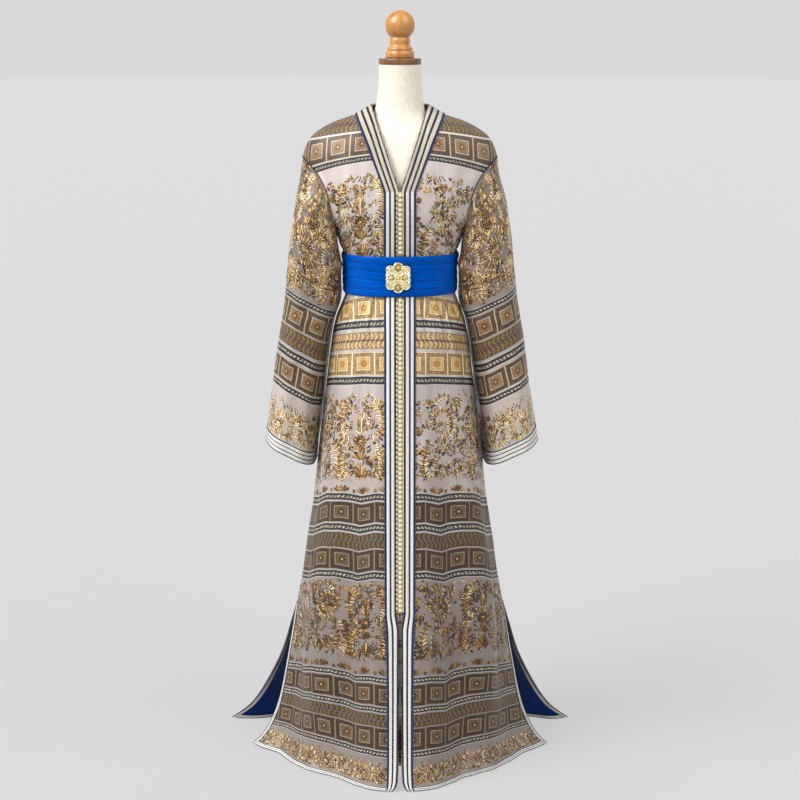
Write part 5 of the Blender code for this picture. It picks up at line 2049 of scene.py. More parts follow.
def draw_filler() -> Figure:
    """Draw the small twig that fills the ground between the figures."""
    figure = Figure()
    stem = figure.curve([(0, -10), (5, -4), (-4, 3), (2, 9)], 2.0, 0.26, 6)
    figure.foliage(stem, 5.0, 8.0, 3.8, (0.42, 0.64), taper=0.0)
    figure.leaf(1, 7, 80, 8, 4.0, 0.50, 30)
    return figure


def draw_cluster() -> Figure:
    """Draw the sleeve's pale leaf cluster."""
    figure = Figure()
    for i in range(9):
        figure.leaf(0, 0, 14 + 40 * i, 16, 5.2, 0.80 - 0.2 * (i % 2), 20)
    figure.dot(0, 0, 3.0, 0.40)
    for hand in (-1, 1):
        figure.spiral(hand * 20, -2, 7, 2, 90 + 90 * hand, 1.1 * hand, 2.6, 0.46, 10)
        figure.leaf(hand * 12, 14, 90 - 40 * hand, 13, 4.6, 0.60, -34 * hand)
        figure.leaf(hand * 14, -14, -90 + 40 * hand, 13, 4.6, 0.50, 34 * hand)
    return figure


class Spot(NamedTuple):
    """Where a figure stands: its drawing, place across, height, size and changes."""

    figure: str
    u: float
    height: float
    scale: float = 1.0
    mirror: bool = False
    tone: float = 0.0
    turn: float = 0.0

    def place(self, path: Array) -> Array:
        """Return a stroke's path on the flat cloth, in metres, from millimetres.

        Args:
            path: The stroke's points, in mm.

        Returns:
            The points on the flat cloth.
        """
        angle = math.radians(self.turn)
        spin = np.array([[math.cos(angle), math.sin(angle)],
                         [-math.sin(angle), math.cos(angle)]])
        hand = np.array([-1.0 if self.mirror else 1.0, 1.0])
        return (path * hand) @ spin * (0.001 * self.scale) + np.array([self.u, self.height])


FIGURES = {
    "candelabrum": draw_candelabrum(),
    "wreath": draw_wreath(),
    "sprig": draw_sprig(),
    "bouquet": draw_bouquet(),
    "filler": draw_filler(),
    "cluster": draw_cluster(),
}


@dataclass
class Goldwork:
    """The gold figures of one panel, laid on its silk as low relief."""

    name: str
    drape: Drape
    material: Material
    spots: Sequence[Spot]
    margin: float = 0.0
    low: float = 0.0
    high: float = 9.0
    edge_rise: float = 0.00012

    def strokes(self) -> list[tuple[Array, Array, float, float]]:
        """Return every stroke on the flat cloth, in metres, with its tone and rise."""
        found = []
        for spot in self.spots:
            for path, widths, tone, rise in FIGURES[spot.figure].strokes:
                placed = spot.place(path)
                if self.off_bands(placed[:, 1]):
                    varied = tone + spot.tone + TONE_SPREAD * math.sin(12.9898 * len(found))
                    found.append((placed, widths * 0.001 * spot.scale,
                                  min(max(varied, 0.02), 1.0), rise * 0.001))
        return found

    def off_bands(self, height: Array) -> bool:
        """Tell whether heights keep clear of the stripes and of the panel's ends.

        Args:
            height: Heights of a stroke's points on the cloth.

        Returns:
            Whether the whole stroke is clear.
        """
        low, high = height.min(), height.max()
        if low < self.low or high > self.high:
            return False
        return all(low > band.high - 0.0005 or high < band.low + 0.0005
                   for band in self.drape.bands)

    def on_panel(self, strokes: Sequence) -> list[bool]:
        """Tell for each stroke whether it lies wholly on the panel.

        Args:
            strokes: The strokes, with their paths first.

        Returns:
            For each stroke, whether it is kept.
        """
        sizes = [len(stroke[0]) for stroke in strokes]
        flat = np.vstack([stroke[0] for stroke in strokes])
        row, column = self.drape.find(flat[:, 0], flat[:, 1])
        near = np.abs(self.drape.sample(self.drape.height, row, column) - flat[:, 1]) < 0.002
        last = self.drape.shape[1] - 1
        edge = self.margin / ((self.drape.stop[0] - self.drape.start[0]) / last)
        inside = near & (column > edge) & (column < last - edge)
        firsts = np.concatenate(([0], np.cumsum(sizes)[:-1]))
        return list(np.logical_and.reduceat(inside, firsts))

    def build(self) -> Object:
        """Make the relief as one piece."""
        flat, rises, tones, faces, uvs = [], [], [], [], []
        strokes = self.strokes()
        for (path, widths, tone, rise), fits in zip(strokes, self.on_panel(strokes)):
            if not fits:
                continue
            steps = unit(np.gradient(path, axis=0))
            side = np.column_stack((-steps[:, 1], steps[:, 0])) * widths[:, None]
            first, last = len(flat), len(path) - 1
            flat.append(path[0])
            rises.append(self.edge_rise)
            for i in range(1, last):
                flat += [path[i] + side[i], path[i], path[i] - side[i]]
                rises += [self.edge_rise, rise * min(1.0, widths[i] / 0.0012) + self.edge_rise,
                          self.edge_rise]
            flat.append(path[last])
            rises.append(self.edge_rise)
            tones += [tone] * (len(flat) - first)
            end = len(flat) - 1
            a, m, b = first + 1, first + 2, first + 3
            faces += [(first, m, a), (first, b, m), (first, a, b)]
            uvs += [((0, 0), (0.1, 0), (0.1, 1)), ((0, 0), (0.1, -1), (0.1, 0)),
                    ((0, 0), (0.1, 1), (0.1, -1))]
            for i in range(1, last - 1):
                a, m, b = first + 3 * i - 2, first + 3 * i - 1, first + 3 * i
                c, n, d = a + 3, m + 3, b + 3
                x, y = i * 0.1, (i + 1) * 0.1
                faces += [(a, m, n, c), (m, b, d, n), (b, a, c, d)]
                uvs += [((x, 1), (x, 0), (y, 0), (y, 1)), ((x, 0), (x, -1), (y, -1), (y, 0)),
                        ((x, -1), (x, 1), (y, 1), (y, -1))]
            a, m, b = end - 3, end - 2, end - 1
            x = last * 0.1
            faces += [(a, m, end), (m, b, end), (b, a, end)]
            uvs += [((x, 1), (x, 0), (x, 0)), ((x, 0), (x, -1), (x, 0)),
                    ((x, -1), (x, 1), (x, 0))]
        flat_points = np.array(flat)
        row, column = self.drape.find(flat_points[:, 0], flat_points[:, 1])
        piece = Piece(self.name, [self.material])
        piece.add_points(self.drape.lift(row, column, np.array(rises)))
        piece.tones = [np.array(tones)]
        turn = self.drape.facing
        for face, uv in zip(faces, uvs):
            piece.add_face(face[::turn], uv[::turn])
        return piece.build(35.0)


# ---- braids
class Stripe(NamedTuple):
    """One cord or flat braid of a trimming: its width, its place in the slots, its rise."""

    width: float
    slot: int
    rise: float


NAVY, CREAM, TAN, BLUE = 0, 1, 2, 3
CENTRE_STRIPES = [
    Stripe(0.0016, BLUE, 0.0018), Stripe(0.0028, NAVY, 0.0018), Stripe(0.0061, CREAM, 0.0014),
    Stripe(0.0037, NAVY, 0.0018), Stripe(0.0061, CREAM, 0.0014), Stripe(0.0038, NAVY, 0.0016),
]
COLLAR_STRIPES = [stripe._replace(slot=TAN) if stripe.slot == CREAM else stripe
                  for stripe in CENTRE_STRIPES]
NECK_STRIPES = [Stripe(0.0060, TAN, 0.0014), Stripe(0.0012, NAVY, 0.0013)]
HEM_STRIPES = [
    Stripe(0.0020, NAVY, 0.0016), Stripe(0.0036, CREAM, 0.0013), Stripe(0.0009, NAVY, 0.0012),
    Stripe(0.0031, CREAM, 0.0013), Stripe(0.0014, NAVY, 0.0012),
]
CUFF_STRIPES = [
    Stripe(0.0018, NAVY, 0.0016), Stripe(0.0064, CREAM, 0.0013), Stripe(0.0016, NAVY, 0.0013),
    Stripe(0.0064, CREAM, 0.0013), Stripe(0.0016, NAVY, 0.0013), Stripe(0.0064, CREAM, 0.0013),
    Stripe(0.0018, NAVY, 0.0016),
]
Placer = Callable[[float, Array, Array], Array]


@dataclass
class Trimming:
    """Braids sewn side by side, run as closed rounded strips along the edges of a panel."""

    name: str
    materials: Sequence[Material]
    base: float = 0.0002

    def __post_init__(self) -> None:
        """Start the piece."""
        self.piece = Piece(self.name, self.materials)

    def profile(self, stripes: Sequence[Stripe]) -> tuple[Array, Array, list[int]]:
        """Return the section's places across as shares, its rises and its cells' slots.

        Args:
            stripes: The stripes, from the outer edge.

        Returns:
            The places, the rises and the slots.
        """
        places, rises, slots, start = [], [], [], 0.0
        for stripe in stripes:
            places += [start, start + 0.18 * stripe.width, start + 0.5 * stripe.width,
                       start + 0.82 * stripe.width]
            rises += [stripe.rise * 0.62, stripe.rise * 0.93, stripe.rise, stripe.rise * 0.93]
            slots += [stripe.slot] * 4
            start += stripe.width
        return (np.array(places + [start]) / start, np.array(rises + [stripes[-1].rise * 0.5]),
                slots)

    def run(self, stations: Sequence[float], place: Placer, stripes: Sequence[Stripe],
            turn: int, closed: bool = False) -> None:
        """Run the trimming along stations.

        Args:
            stations: Parameters along the edge, passed to place.
            place: Returns points from a station, shares across and rises.
            stripes: The stripes, from the outer edge.
            turn: 1 or -1, so that the faces turn outward.
            closed: Whether the last station joins the first.
        """
        shares, rises, slots = self.profile(stripes)
        across = len(shares)
        under = shares[::-4]
        shares_all = np.concatenate((shares, under))
        rises_all = np.concatenate((rises, np.full(len(under), self.base)))
        rings = [place(station, shares_all, rises_all) for station in stations]
        ring = len(shares_all)
        first = self.piece.add_points(np.vstack(rings))
        widths = np.cumsum([0.0] + [stripe.width for stripe in stripes])
        middles = (widths[1:] + widths[:-1]) / 2
        total = widths[-1]
        along = 0.0
        count = len(rings)
        spans = count if closed else count - 1
        for i in range(spans):
            j = (i + 1) % count
            step = float(np.linalg.norm(rings[j][across // 2] - rings[i][across // 2]))
            for k in range(ring):
                m = (k + 1) % ring
                face = (first + i * ring + k, first + i * ring + m,
                        first + j * ring + m, first + j * ring + k)
                slot = slots[k] if k < across - 1 else NAVY
                middle = middles[k // 4] if k < across - 1 else 0.0
                v0, v1 = shares_all[k] * total - middle, shares_all[m] * total - middle
                uv = ((along, v0), (along, v1), (along + step, v1), (along + step, v0))
                self.piece.add_face(face[::turn], uv[::turn], slot)
            along += step
        if not closed:
            for i, hand in ((0, -turn), (count - 1, turn)):
                end = [first + i * ring + k for k in range(ring)][::hand]
                self.piece.add_face(end, [(0.0, 0.0)] * ring, NAVY)


class PanelEdges:
    """Finds places along the edges of a front or of the back."""

    def __init__(self, drape: Drape) -> None:
        """Keep the drape."""
        self.drape = drape
        self.last = drape.shape[1] - 1

    def row_at(self, z: float) -> float:
        """Return the row whose first point lies at a height."""
        edge = self.drape.points[:, self.last // 2 if self.drape.start[0] < 0 else 0, 2]
        return float(np.interp(z, edge, np.arange(len(edge))))

    def lift(self, row: Array, column: Array, rise: Array) -> Array:
        """Return raised points.

        Args:
            row: Row of each point, or of all.
            column: Column of each point, or of all.
            rise: Rise of each point.

        Returns:
            The points.
        """
        row = np.broadcast_to(np.asarray(row, float), rise.shape)
        column = np.broadcast_to(np.asarray(column, float), rise.shape)
        return self.drape.lift(row, column, rise)

    def across(self, row: float, distance: Array) -> Array:
        """Return the columns at distances from the centre line, measured along X.

        Args:
            row: The row.
            distance: The distances.

        Returns:
            The columns.
        """
        return np.interp(distance, np.abs(self.line(row)[:, 0]), np.arange(self.last + 1))

    def column_at_x(self, row: float, x: float) -> float:
        """Return the column at a place left or right of the centre line on a row.

        Args:
            row: The row.
            x: The place along X.

        Returns:
            The column.
        """
        line = self.line(row)
        return float(np.interp(x, line[:, 0], np.arange(len(line))))

    def line(self, row: float) -> Array:
        """Return the points along a row.

        Args:
            row: The row, between two of the drape's or on one.

        Returns:
            The points, one for each column.
        """
        low = int(min(row, self.drape.shape[0] - 1.001))
        share = row - low
        return (1 - share) * self.drape.points[low] + share * self.drape.points[low + 1]

    def hem(self, column: float, shares: Array, rises: Array) -> Array:
        """Return one section of a hem's braid.

        Args:
            column: Where the section stands along the hem.
            shares: Places across the braid, from its outer edge.
            rises: Rise of each point over the cloth.

        Returns:
            The section's points.
        """
        rows = np.array([self.climb(length) for length in shares * EDGE_BRAID_WIDTH])
        return self.lift(rows, column, rises)

    def slit(self, hand: int) -> Placer:
        """Make the placer of a slit's braid.

        Args:
            hand: 1 for the slit at the last column, -1 for the one at the first.

        Returns:
            The placer, whose stations are heights.
        """

        def placer(z: float, shares: Array, rises: Array) -> Array:
            """Return one section.

            Args:
                z: Height of the section.
                shares: Places across the braid, from its outer edge.
                rises: Rise of each point over the cloth.

            Returns:
                The section's points.
            """
            row = self.row_at(z)
            span = self.column_span(row, EDGE_BRAID_WIDTH) * shares
            return self.lift(row, self.last - span if hand > 0 else span, rises)

        return placer

    def column_span(self, row: float, length: float) -> float:
        """Return how many columns a length across the cloth spans on a row.

        Args:
            row: The row.
            length: The length.

        Returns:
            The number of columns.
        """
        places = np.arange(self.drape.shape[0])
        start = np.interp(row, places, self.drape.start)
        stop = np.interp(row, places, self.drape.stop)
        return length / (stop - start) * self.last

    def climb(self, length: float) -> float:
        """Return the row at a length up the cloth from the hem."""
        middle = self.drape.points[:, self.last // 2]
        return float(np.interp(length, lengths_along(middle), np.arange(len(middle))))


def centre_placer(edges: PanelEdges, neck: bool) -> Placer:
    """Return the placer of the braid beside the centre line, or of the neck's inner one.

    Args:
        edges: The front's edges.
        neck: Whether the braid is the narrow one on the neck edge.
    """

    def place(z: float, shares: Array, rises: Array) -> Array:
        """Return the points of one section.

        Args:
            z: Height of the section.
            shares: Places across the braid, from its outer edge.
            rises: Rise of each point over the cloth.

        Returns:
            The section's points.
        """
        edge = max((z - V_BOTTOM_Z) / V_SLOPE, 0.0)
        if neck:
            inner, outer = edge + SEAM_GAP + NECK_REVEAL, edge + PLACKET_HALF - 0.0001
        else:
            spread = NECK_BRAID_WIDTH - float(BRAID_OUT(V_BOTTOM_Z))
            inner = float(BRAID_IN(z)) + edge
            widening = spread * smooth_step((z - V_BOTTOM_Z) / COLLAR_SPREAD)
            outer = float(BRAID_OUT(z)) + edge + widening
        row = edges.row_at(z)
        columns = edges.across(row, outer + (inner - outer) * shares)
        return edges.lift(row, columns, rises)

    return place


@dataclass
class FrontBraids:
    """The braid of one front: neck, centre, hem and slit."""

    side: Side
    drape: Drape
    wardrobe: Wardrobe

    def build(self) -> Object:
        """Make the braid."""
        edges = PanelEdges(self.drape)
        cords = self.wardrobe.cords
        trimming = Trimming(f"front_braid_{self.side.word}_cords", cords)
        turn = -self.side.value
        neck = np.linspace(V_BOTTOM_Z - 0.001, SHOULDER_Z - 0.0006, 46)
        centre = np.concatenate(([HEM_Z + 0.0002, 0.006, 0.012, 0.020, 0.030],
                                 np.linspace(0.042, V_BOTTOM_Z, 190)))
        collar = np.concatenate(([V_BOTTOM_Z], neck[2:]))
        trimming.run(neck, centre_placer(edges, True), NECK_STRIPES, turn)
        trimming.run(centre, centre_placer(edges, False), CENTRE_STRIPES, turn)
        trimming.run(collar, centre_placer(edges, False), COLLAR_STRIPES, turn)
        inner = edges.across(0.0, np.array([float(BRAID_OUT(HEM_Z)) + 0.0004]))[0]
        stop = edges.last - edges.column_span(0.0, EDGE_BRAID_WIDTH) - 0.04
        trimming.run(np.linspace(inner, stop, 100), edges.hem, HEM_STRIPES, -turn)
        trimming.run(np.linspace(HEM_Z + 0.0002, SLIT_TOP_Z, 64), edges.slit(1), HEM_STRIPES,
                     turn)
        return trimming.piece.build(70.0)


@dataclass
class BackBraids:
    """The back's braid: hem and both slits, and the short braid behind the neck."""

    drape: Drape
    wardrobe: Wardrobe
    inner_depth: float = 0.0030

    def edges(self) -> Object:
        """Make the braid of the hem and the slits."""
        place = PanelEdges(self.drape)
        trimming = Trimming("back_braid_cords", self.wardrobe.cords[:2])
        last = place.last

        def inside(outside: Placer) -> Placer:
            """Return the placer of the same braid on the cloth's inner side."""
            return lambda station, shares, rises: outside(station, shares,
                                                          -self.inner_depth - rises)

        corner = place.column_span(0.0, EDGE_BRAID_WIDTH) + 0.04
        trimming.run(np.linspace(corner, last - corner, 230), place.hem, HEM_STRIPES, 1)
        trimming.run(np.linspace(corner, last - corner, 120), inside(place.hem),
                     HEM_STRIPES, -1)
        for hand in (-1, 1):
            heights = np.linspace(HEM_Z + 0.0002, SLIT_TOP_Z, 64)
            trimming.run(heights, place.slit(hand), HEM_STRIPES, hand)
            trimming.run(heights, inside(place.slit(hand)), HEM_STRIPES, -hand)
        return trimming.piece.build(70.0)

    def neck(self) -> Object:
        """Make the braid behind the neck."""
        place = PanelEdges(self.drape)
        trimming = Trimming("back_neck_braid_cords", self.wardrobe.cords)
        top = self.drape.shape[0] - 1
        steps = np.linalg.norm(np.diff(self.drape.points[::-1], axis=0), axis=2)
        depths = np.vstack((np.zeros(steps.shape[1]), np.cumsum(steps, axis=0)))
        wide = NECK_BRAID_WIDTH - 0.001

        def level_at(column: float, depth: float) -> float:
            """Return the level a distance below the neck edge or the shoulder seam.

            Args:
                column: The column.
                depth: The distance along the cloth.

            Returns:
                The level.
            """
            first, part = int(column), column % 1
            run = (1 - part) * depths[:, first] + part * depths[:, first + 1]
            return top - float(np.interp(depth, run, np.arange(top + 1)))

        def placer(station: float, shares: Array, rises: Array) -> Array:
            """Return one section, from one shoulder seam at -1 to the other at 1.

            Args:
                station: Place along the braid, from -1 to 1.
                shares: Places across the braid, from its outer edge.
                rises: Rise of each point over the cloth.

            Returns:
                The section's points.
            """
            bend = max(abs(station) - NECK_TURN, 0.0) / (1 - NECK_TURN) * math.pi / 2
            inner = NECK_HALF * min(abs(station) / NECK_TURN, 1.0)
            reach = wide * (1 - shares)
            places = math.copysign(1.0, station) * (inner + reach * math.sin(bend))
            levels = np.full(len(shares), float(top))
            for _ in range(3):
                columns = np.array([place.column_at_x(level, x)
                                    for level, x in zip(levels, places)])
                levels = np.array([level_at(column, depth) for column, depth
                                   in zip(columns, reach * math.cos(bend))])
            return place.lift(levels, columns, rises)

        trimming.run(np.linspace(-1.0, 1.0, 75), placer, COLLAR_STRIPES + NECK_STRIPES, -1)
        return trimming.piece.build(70.0)


@dataclass
class CuffBraid:
    """The braid round a cuff, and the piping round the armhole."""

    side: Side
    drape: Drape
    wardrobe: Wardrobe

    def cuff(self) -> Object:
        """Make the cuff's braid."""
        trimming = Trimming(f"cuff_braid_{self.side.word}_cords",
                            [self.wardrobe.navy, self.wardrobe.cream])
        last = self.drape.shape[1] - 1
        heights = self.drape.height[:, 0]
        rows = np.arange(len(heights), dtype=float)
        wide = SLEEVE_LENGTH * (1 - CUFF_BRAID_T)

        def placer(column: float, shares: Array, rises: Array) -> Array:
            """Return one section."""
            row = np.interp(shares * wide, heights, rows)
            return self.drape.lift(row, np.full(len(row), column), rises)

        trimming.run(np.linspace(0.0, last, 144, endpoint=False), placer, CUFF_STRIPES,
                     self.side.value, closed=True)
        return trimming.piece.build(70.0)

    def piping(self) -> Object:
        """Make the navy piping on the armhole's seam."""
        trimming = Trimming(f"armhole_piping_{self.side.word}", [self.wardrobe.navy])
        rows, columns = self.drape.shape

        def placer(column: float, shares: Array, rises: Array) -> Array:
            """Return one section."""
            row = rows - 1.02 - 0.55 * (1 - shares)
            return self.drape.lift(row, np.full(len(row), column), rises)

        trimming.run(np.linspace(0.0, columns - 1, 120, endpoint=False), placer,
                     [Stripe(0.0028, NAVY, 0.0014)], self.side.value, closed=True)
        return trimming.piece.build(70.0)


# ---- trims made hard
def select_only(thing: Object) -> None:
    """Make a thing the only selected one, and the active one.

    Args:
        thing: The thing.
    """
    bpy.ops.object.select_all(action="DESELECT")
    thing.select_set(True)
    bpy.context.view_layer.objects.active = thing


def named_primitive(name: str, material: Material) -> Object:
    """Name the primitive just made, give it a material and return it.

    Args:
        name: The name.
        material: The material.

    Returns:
        The primitive.
    """
    thing = bpy.context.view_layer.objects.active
    thing.name = thing.data.name = name
    thing.data.materials.append(material)
    return thing


def bevel_all(thing: Object, offset: float, segments: int, degrees: float) -> None:
    """Bevel every edge of a thing and smooth its soft ones.

    Args:
        thing: The thing.
        offset: The bevel's width.
        segments: The bevel's number of faces across.
        degrees: The least angle that stays sharp.
    """
    select_only(thing)
    bpy.ops.object.mode_set(mode="EDIT")
    bpy.ops.mesh.select_all(action="SELECT")
    bpy.ops.mesh.bevel(offset=offset, segments=segments, affect="EDGES")
    bpy.ops.object.mode_set(mode="OBJECT")
    bpy.ops.object.shade_smooth_by_angle(angle=math.radians(degrees))


def join_all(things: Sequence[Object], name: str) -> Object:
    """Join things into the first, which takes a name.

    Args:
        things: The things.
        name: The name of the whole.

    Returns:
        The joined thing.
    """
    bpy.ops.object.select_all(action="DESELECT")
    for thing in things:
        thing.select_set(True)
    bpy.context.view_layer.objects.active = things[0]
    bpy.ops.object.join()
    things[0].name = things[0].data.name = name
    return things[0]


def set_down(thing: Object) -> None:
    """Put a thing's place, turn and size into its mesh."""
    select_only(thing)
    bpy.ops.object.transform_apply(location=True, rotation=True, scale=True)


@dataclass
class ButtonRow:
    """A placket strip with a knotted cord button and its loop at every pitch."""

    name: str
    low: float
    high: float
    front: Drape
    wardrobe: Wardrobe
    radius: float = 0.0047
    strip_rise: float = 0.0017
    shift: float = 0.0008

    def depth_at(self, z: float) -> float:
        """Return how far forward the meeting edges stand at a height."""
        edge = self.front.points[:, 0]
        return float(np.interp(z, edge[:, 2], edge[:, 1]))

    def strip(self) -> Object:
        """Make the strip: two flat cords beside a middle one."""
        stripes = [Stripe(0.0034, 0, 0.0014), Stripe(0.0032, 1, self.strip_rise),
                   Stripe(0.0036, 0, 0.0015), Stripe(0.0032, 1, self.strip_rise),
                   Stripe(0.0034, 0, 0.0014)]
        trimming = Trimming(f"{self.name}_strip",
                            [self.wardrobe.gold_cord, self.wardrobe.tan])

        def placer(z: float, shares: Array, rises: Array) -> Array:
            """Return one section.

            Args:
                z: Height of the section.
                shares: Places across the strip.
                rises: Rise of each point.

            Returns:
                The section's points.
            """
            x = (shares - 0.5) * 2 * (PLACKET_HALF - 0.0002)
            y = self.depth_at(z) - 0.0004 - rises
            return np.column_stack((x, y, np.full(len(x), z)))

        count = max(2, int((self.high - self.low) / 0.006))
        trimming.run(np.linspace(self.low, self.high, count), placer, stripes, -1)
        return trimming.piece.build(70.0)

    def knot(self, z: float, number: int) -> list[Object]:
        """Make one button: a cord ball wound twice round, and the loop that holds it.

        Args:
            z: The button's height.
            number: Its number in the row, which sets its lean.

        Returns:
            The button's parts.
        """
        y = self.depth_at(z) - self.strip_rise - 0.0026
        lean = 0.25 * math.sin(2.3 * number)
        bpy.ops.mesh.primitive_uv_sphere_add(
            segments=10, ring_count=6, radius=self.radius * 0.92,
            location=(self.shift, y, z),
            rotation=(math.pi / 2, lean, 0.0))
        ball = named_primitive("knot", self.wardrobe.gold_cord)
        select_only(ball)
        bpy.ops.object.mode_set(mode="EDIT")
        bpy.ops.mesh.select_all(action="SELECT")
        bpy.ops.transform.resize(value=(1.08, 0.72, 0.98))
        bpy.ops.object.mode_set(mode="OBJECT")
        bpy.ops.object.shade_smooth()
        parts = [ball]
        for turn in (0.75, -0.75):
            bpy.ops.mesh.primitive_torus_add(
                major_segments=12, minor_segments=4, major_radius=self.radius * 0.74,
                minor_radius=0.0008, location=(self.shift, y - 0.0004, z),
                rotation=(math.pi / 2 + 0.35, turn + lean, 0.0))
            parts.append(named_primitive("wind", self.wardrobe.gold_cord))
            bpy.ops.object.shade_smooth()
        bpy.ops.mesh.primitive_torus_add(
            major_segments=12, minor_segments=4, major_radius=0.0024, minor_radius=0.0006,
            location=(-0.0056, y + 0.0012, z - 0.0004), rotation=(math.pi / 2, 0.0, 0.0))
        parts.append(named_primitive("loop", self.wardrobe.navy))
        bpy.ops.object.shade_smooth()
        return parts

    def buttons(self) -> Object:
        """Make every button of the row."""
        count = int(round((self.high - self.low) / BUTTON_PITCH))
        parts = []
        for i in range(count):
            parts += self.knot(self.low + (i + 0.5) * BUTTON_PITCH, i)
        row = join_all(parts, f"{self.name}_knots")
        set_down(row)
        return row


@dataclass
class Sash:
    """The belt: blue satin laid in four soft tiers that wander round the waist."""

    satin: Material
    around: int = 260
    down: int = 44
    clearance: float = 0.0028
    thickness: float = 0.0020

    def ring(self, angles: Array, z: Array, reach: Array) -> Array:
        """Return points round the waist that stand off the cloth by a reach.

        Args:
            angles: Angles round the waist, from the front.
            z: Height of each point.
            reach: How far each point stands off the cloth.

        Returns:
            The ring's points.
        """
        front, back = FRONT["depth"](z) + reach, BACK["depth"](z) + reach
        x = (FRONT["edge_x"](z) + reach) * np.sin(angles)
        y = -np.where(np.cos(angles) > 0, front, back) * np.cos(angles)
        return np.column_stack((x, y, z))

    def swell(self, angles: Array, share: float) -> Array:
        """Return how far the tiers and their creases stand out.

        Args:
            angles: Angles round the waist.
            share: Share of the way up the sash.

        Returns:
            How far each point stands out.
        """
        wander = 0.030 * np.sin(angles * 2 + 0.6) + 0.018 * np.sin(5 * angles + 1.9)
        fan = 0.05 * np.sin(angles) * np.maximum(np.cos(angles), 0.0)
        lines = np.array([0.16, 0.38, 0.60, 0.80])
        place = share + wander * math.sin(math.pi * share) + fan * (share - 0.4)
        rise = np.zeros_like(angles)
        for number, line in enumerate(lines):
            sharp = 0.020 + 0.006 * np.sin(3 * angles + 1.7 * number)
            rise -= 0.0013 * np.exp(-((place - line) / sharp)**2)
            rise += 0.0005 * np.exp(-((place - line - 0.07) / 0.05)**2)
        rise += 0.0004 * np.sin(angles * 9 + 7 * share) * math.sin(math.pi * share)
        rise += 0.0003 * np.sin(angles * 23 + 11 * share)
        return rise

    def build(self) -> Object:
        """Make the sash as a closed band."""
        angles = np.linspace(0.0, 2 * math.pi, self.around, endpoint=False)
        height = BELT_TOP_Z - BELT_BOTTOM_Z
        rings = []
        for share in np.linspace(0.0, 1.0, self.down):
            lip = smooth_step(share / 0.05) * smooth_step((1 - share) / 0.05)
            dip = 0.0010 * np.sin(angles * 3 + 1.0) + 0.0012 * np.sin(angles + 0.4)
            z = BELT_BOTTOM_Z + 0.0015 + share * (height - 0.003) + dip * abs(2 * share - 1)
            z = np.clip(z, BELT_BOTTOM_Z + 0.0003, BELT_TOP_Z - 0.0003)
            reach = self.clearance + self.thickness * (0.45 + 0.55 * lip)
            rings.append(self.ring(angles, z, reach + 0.0010 * lip + lip
                                   * self.swell(angles, float(share))))
        for share in (1.0, 0.66, 0.33, 0.0):
            z = np.full(self.around, BELT_BOTTOM_Z + 0.0015 + share * (height - 0.003))
            rings.append(self.ring(angles, z, np.full(self.around, self.clearance - 0.0004)))
        piece = Piece("belt_sash", [self.satin])
        first = piece.add_points(np.vstack(rings))
        count, girth = len(rings), 0.74
        for i in range(count):
            for j in range(self.around):
                k, m = (i + 1) % count, (j + 1) % self.around
                face = (first + i * self.around + j, first + i * self.around + m,
                        first + k * self.around + m, first + k * self.around + j)
                u0, u1 = girth * j / self.around, girth * (j + 1) / self.around
                v0, v1 = 0.0022 * i, 0.0022 * (i + 1)
                piece.add_face(face, ((u0, v0), (u1, v0), (u1, v1), (u0, v1)))
        return piece.build(50.0)


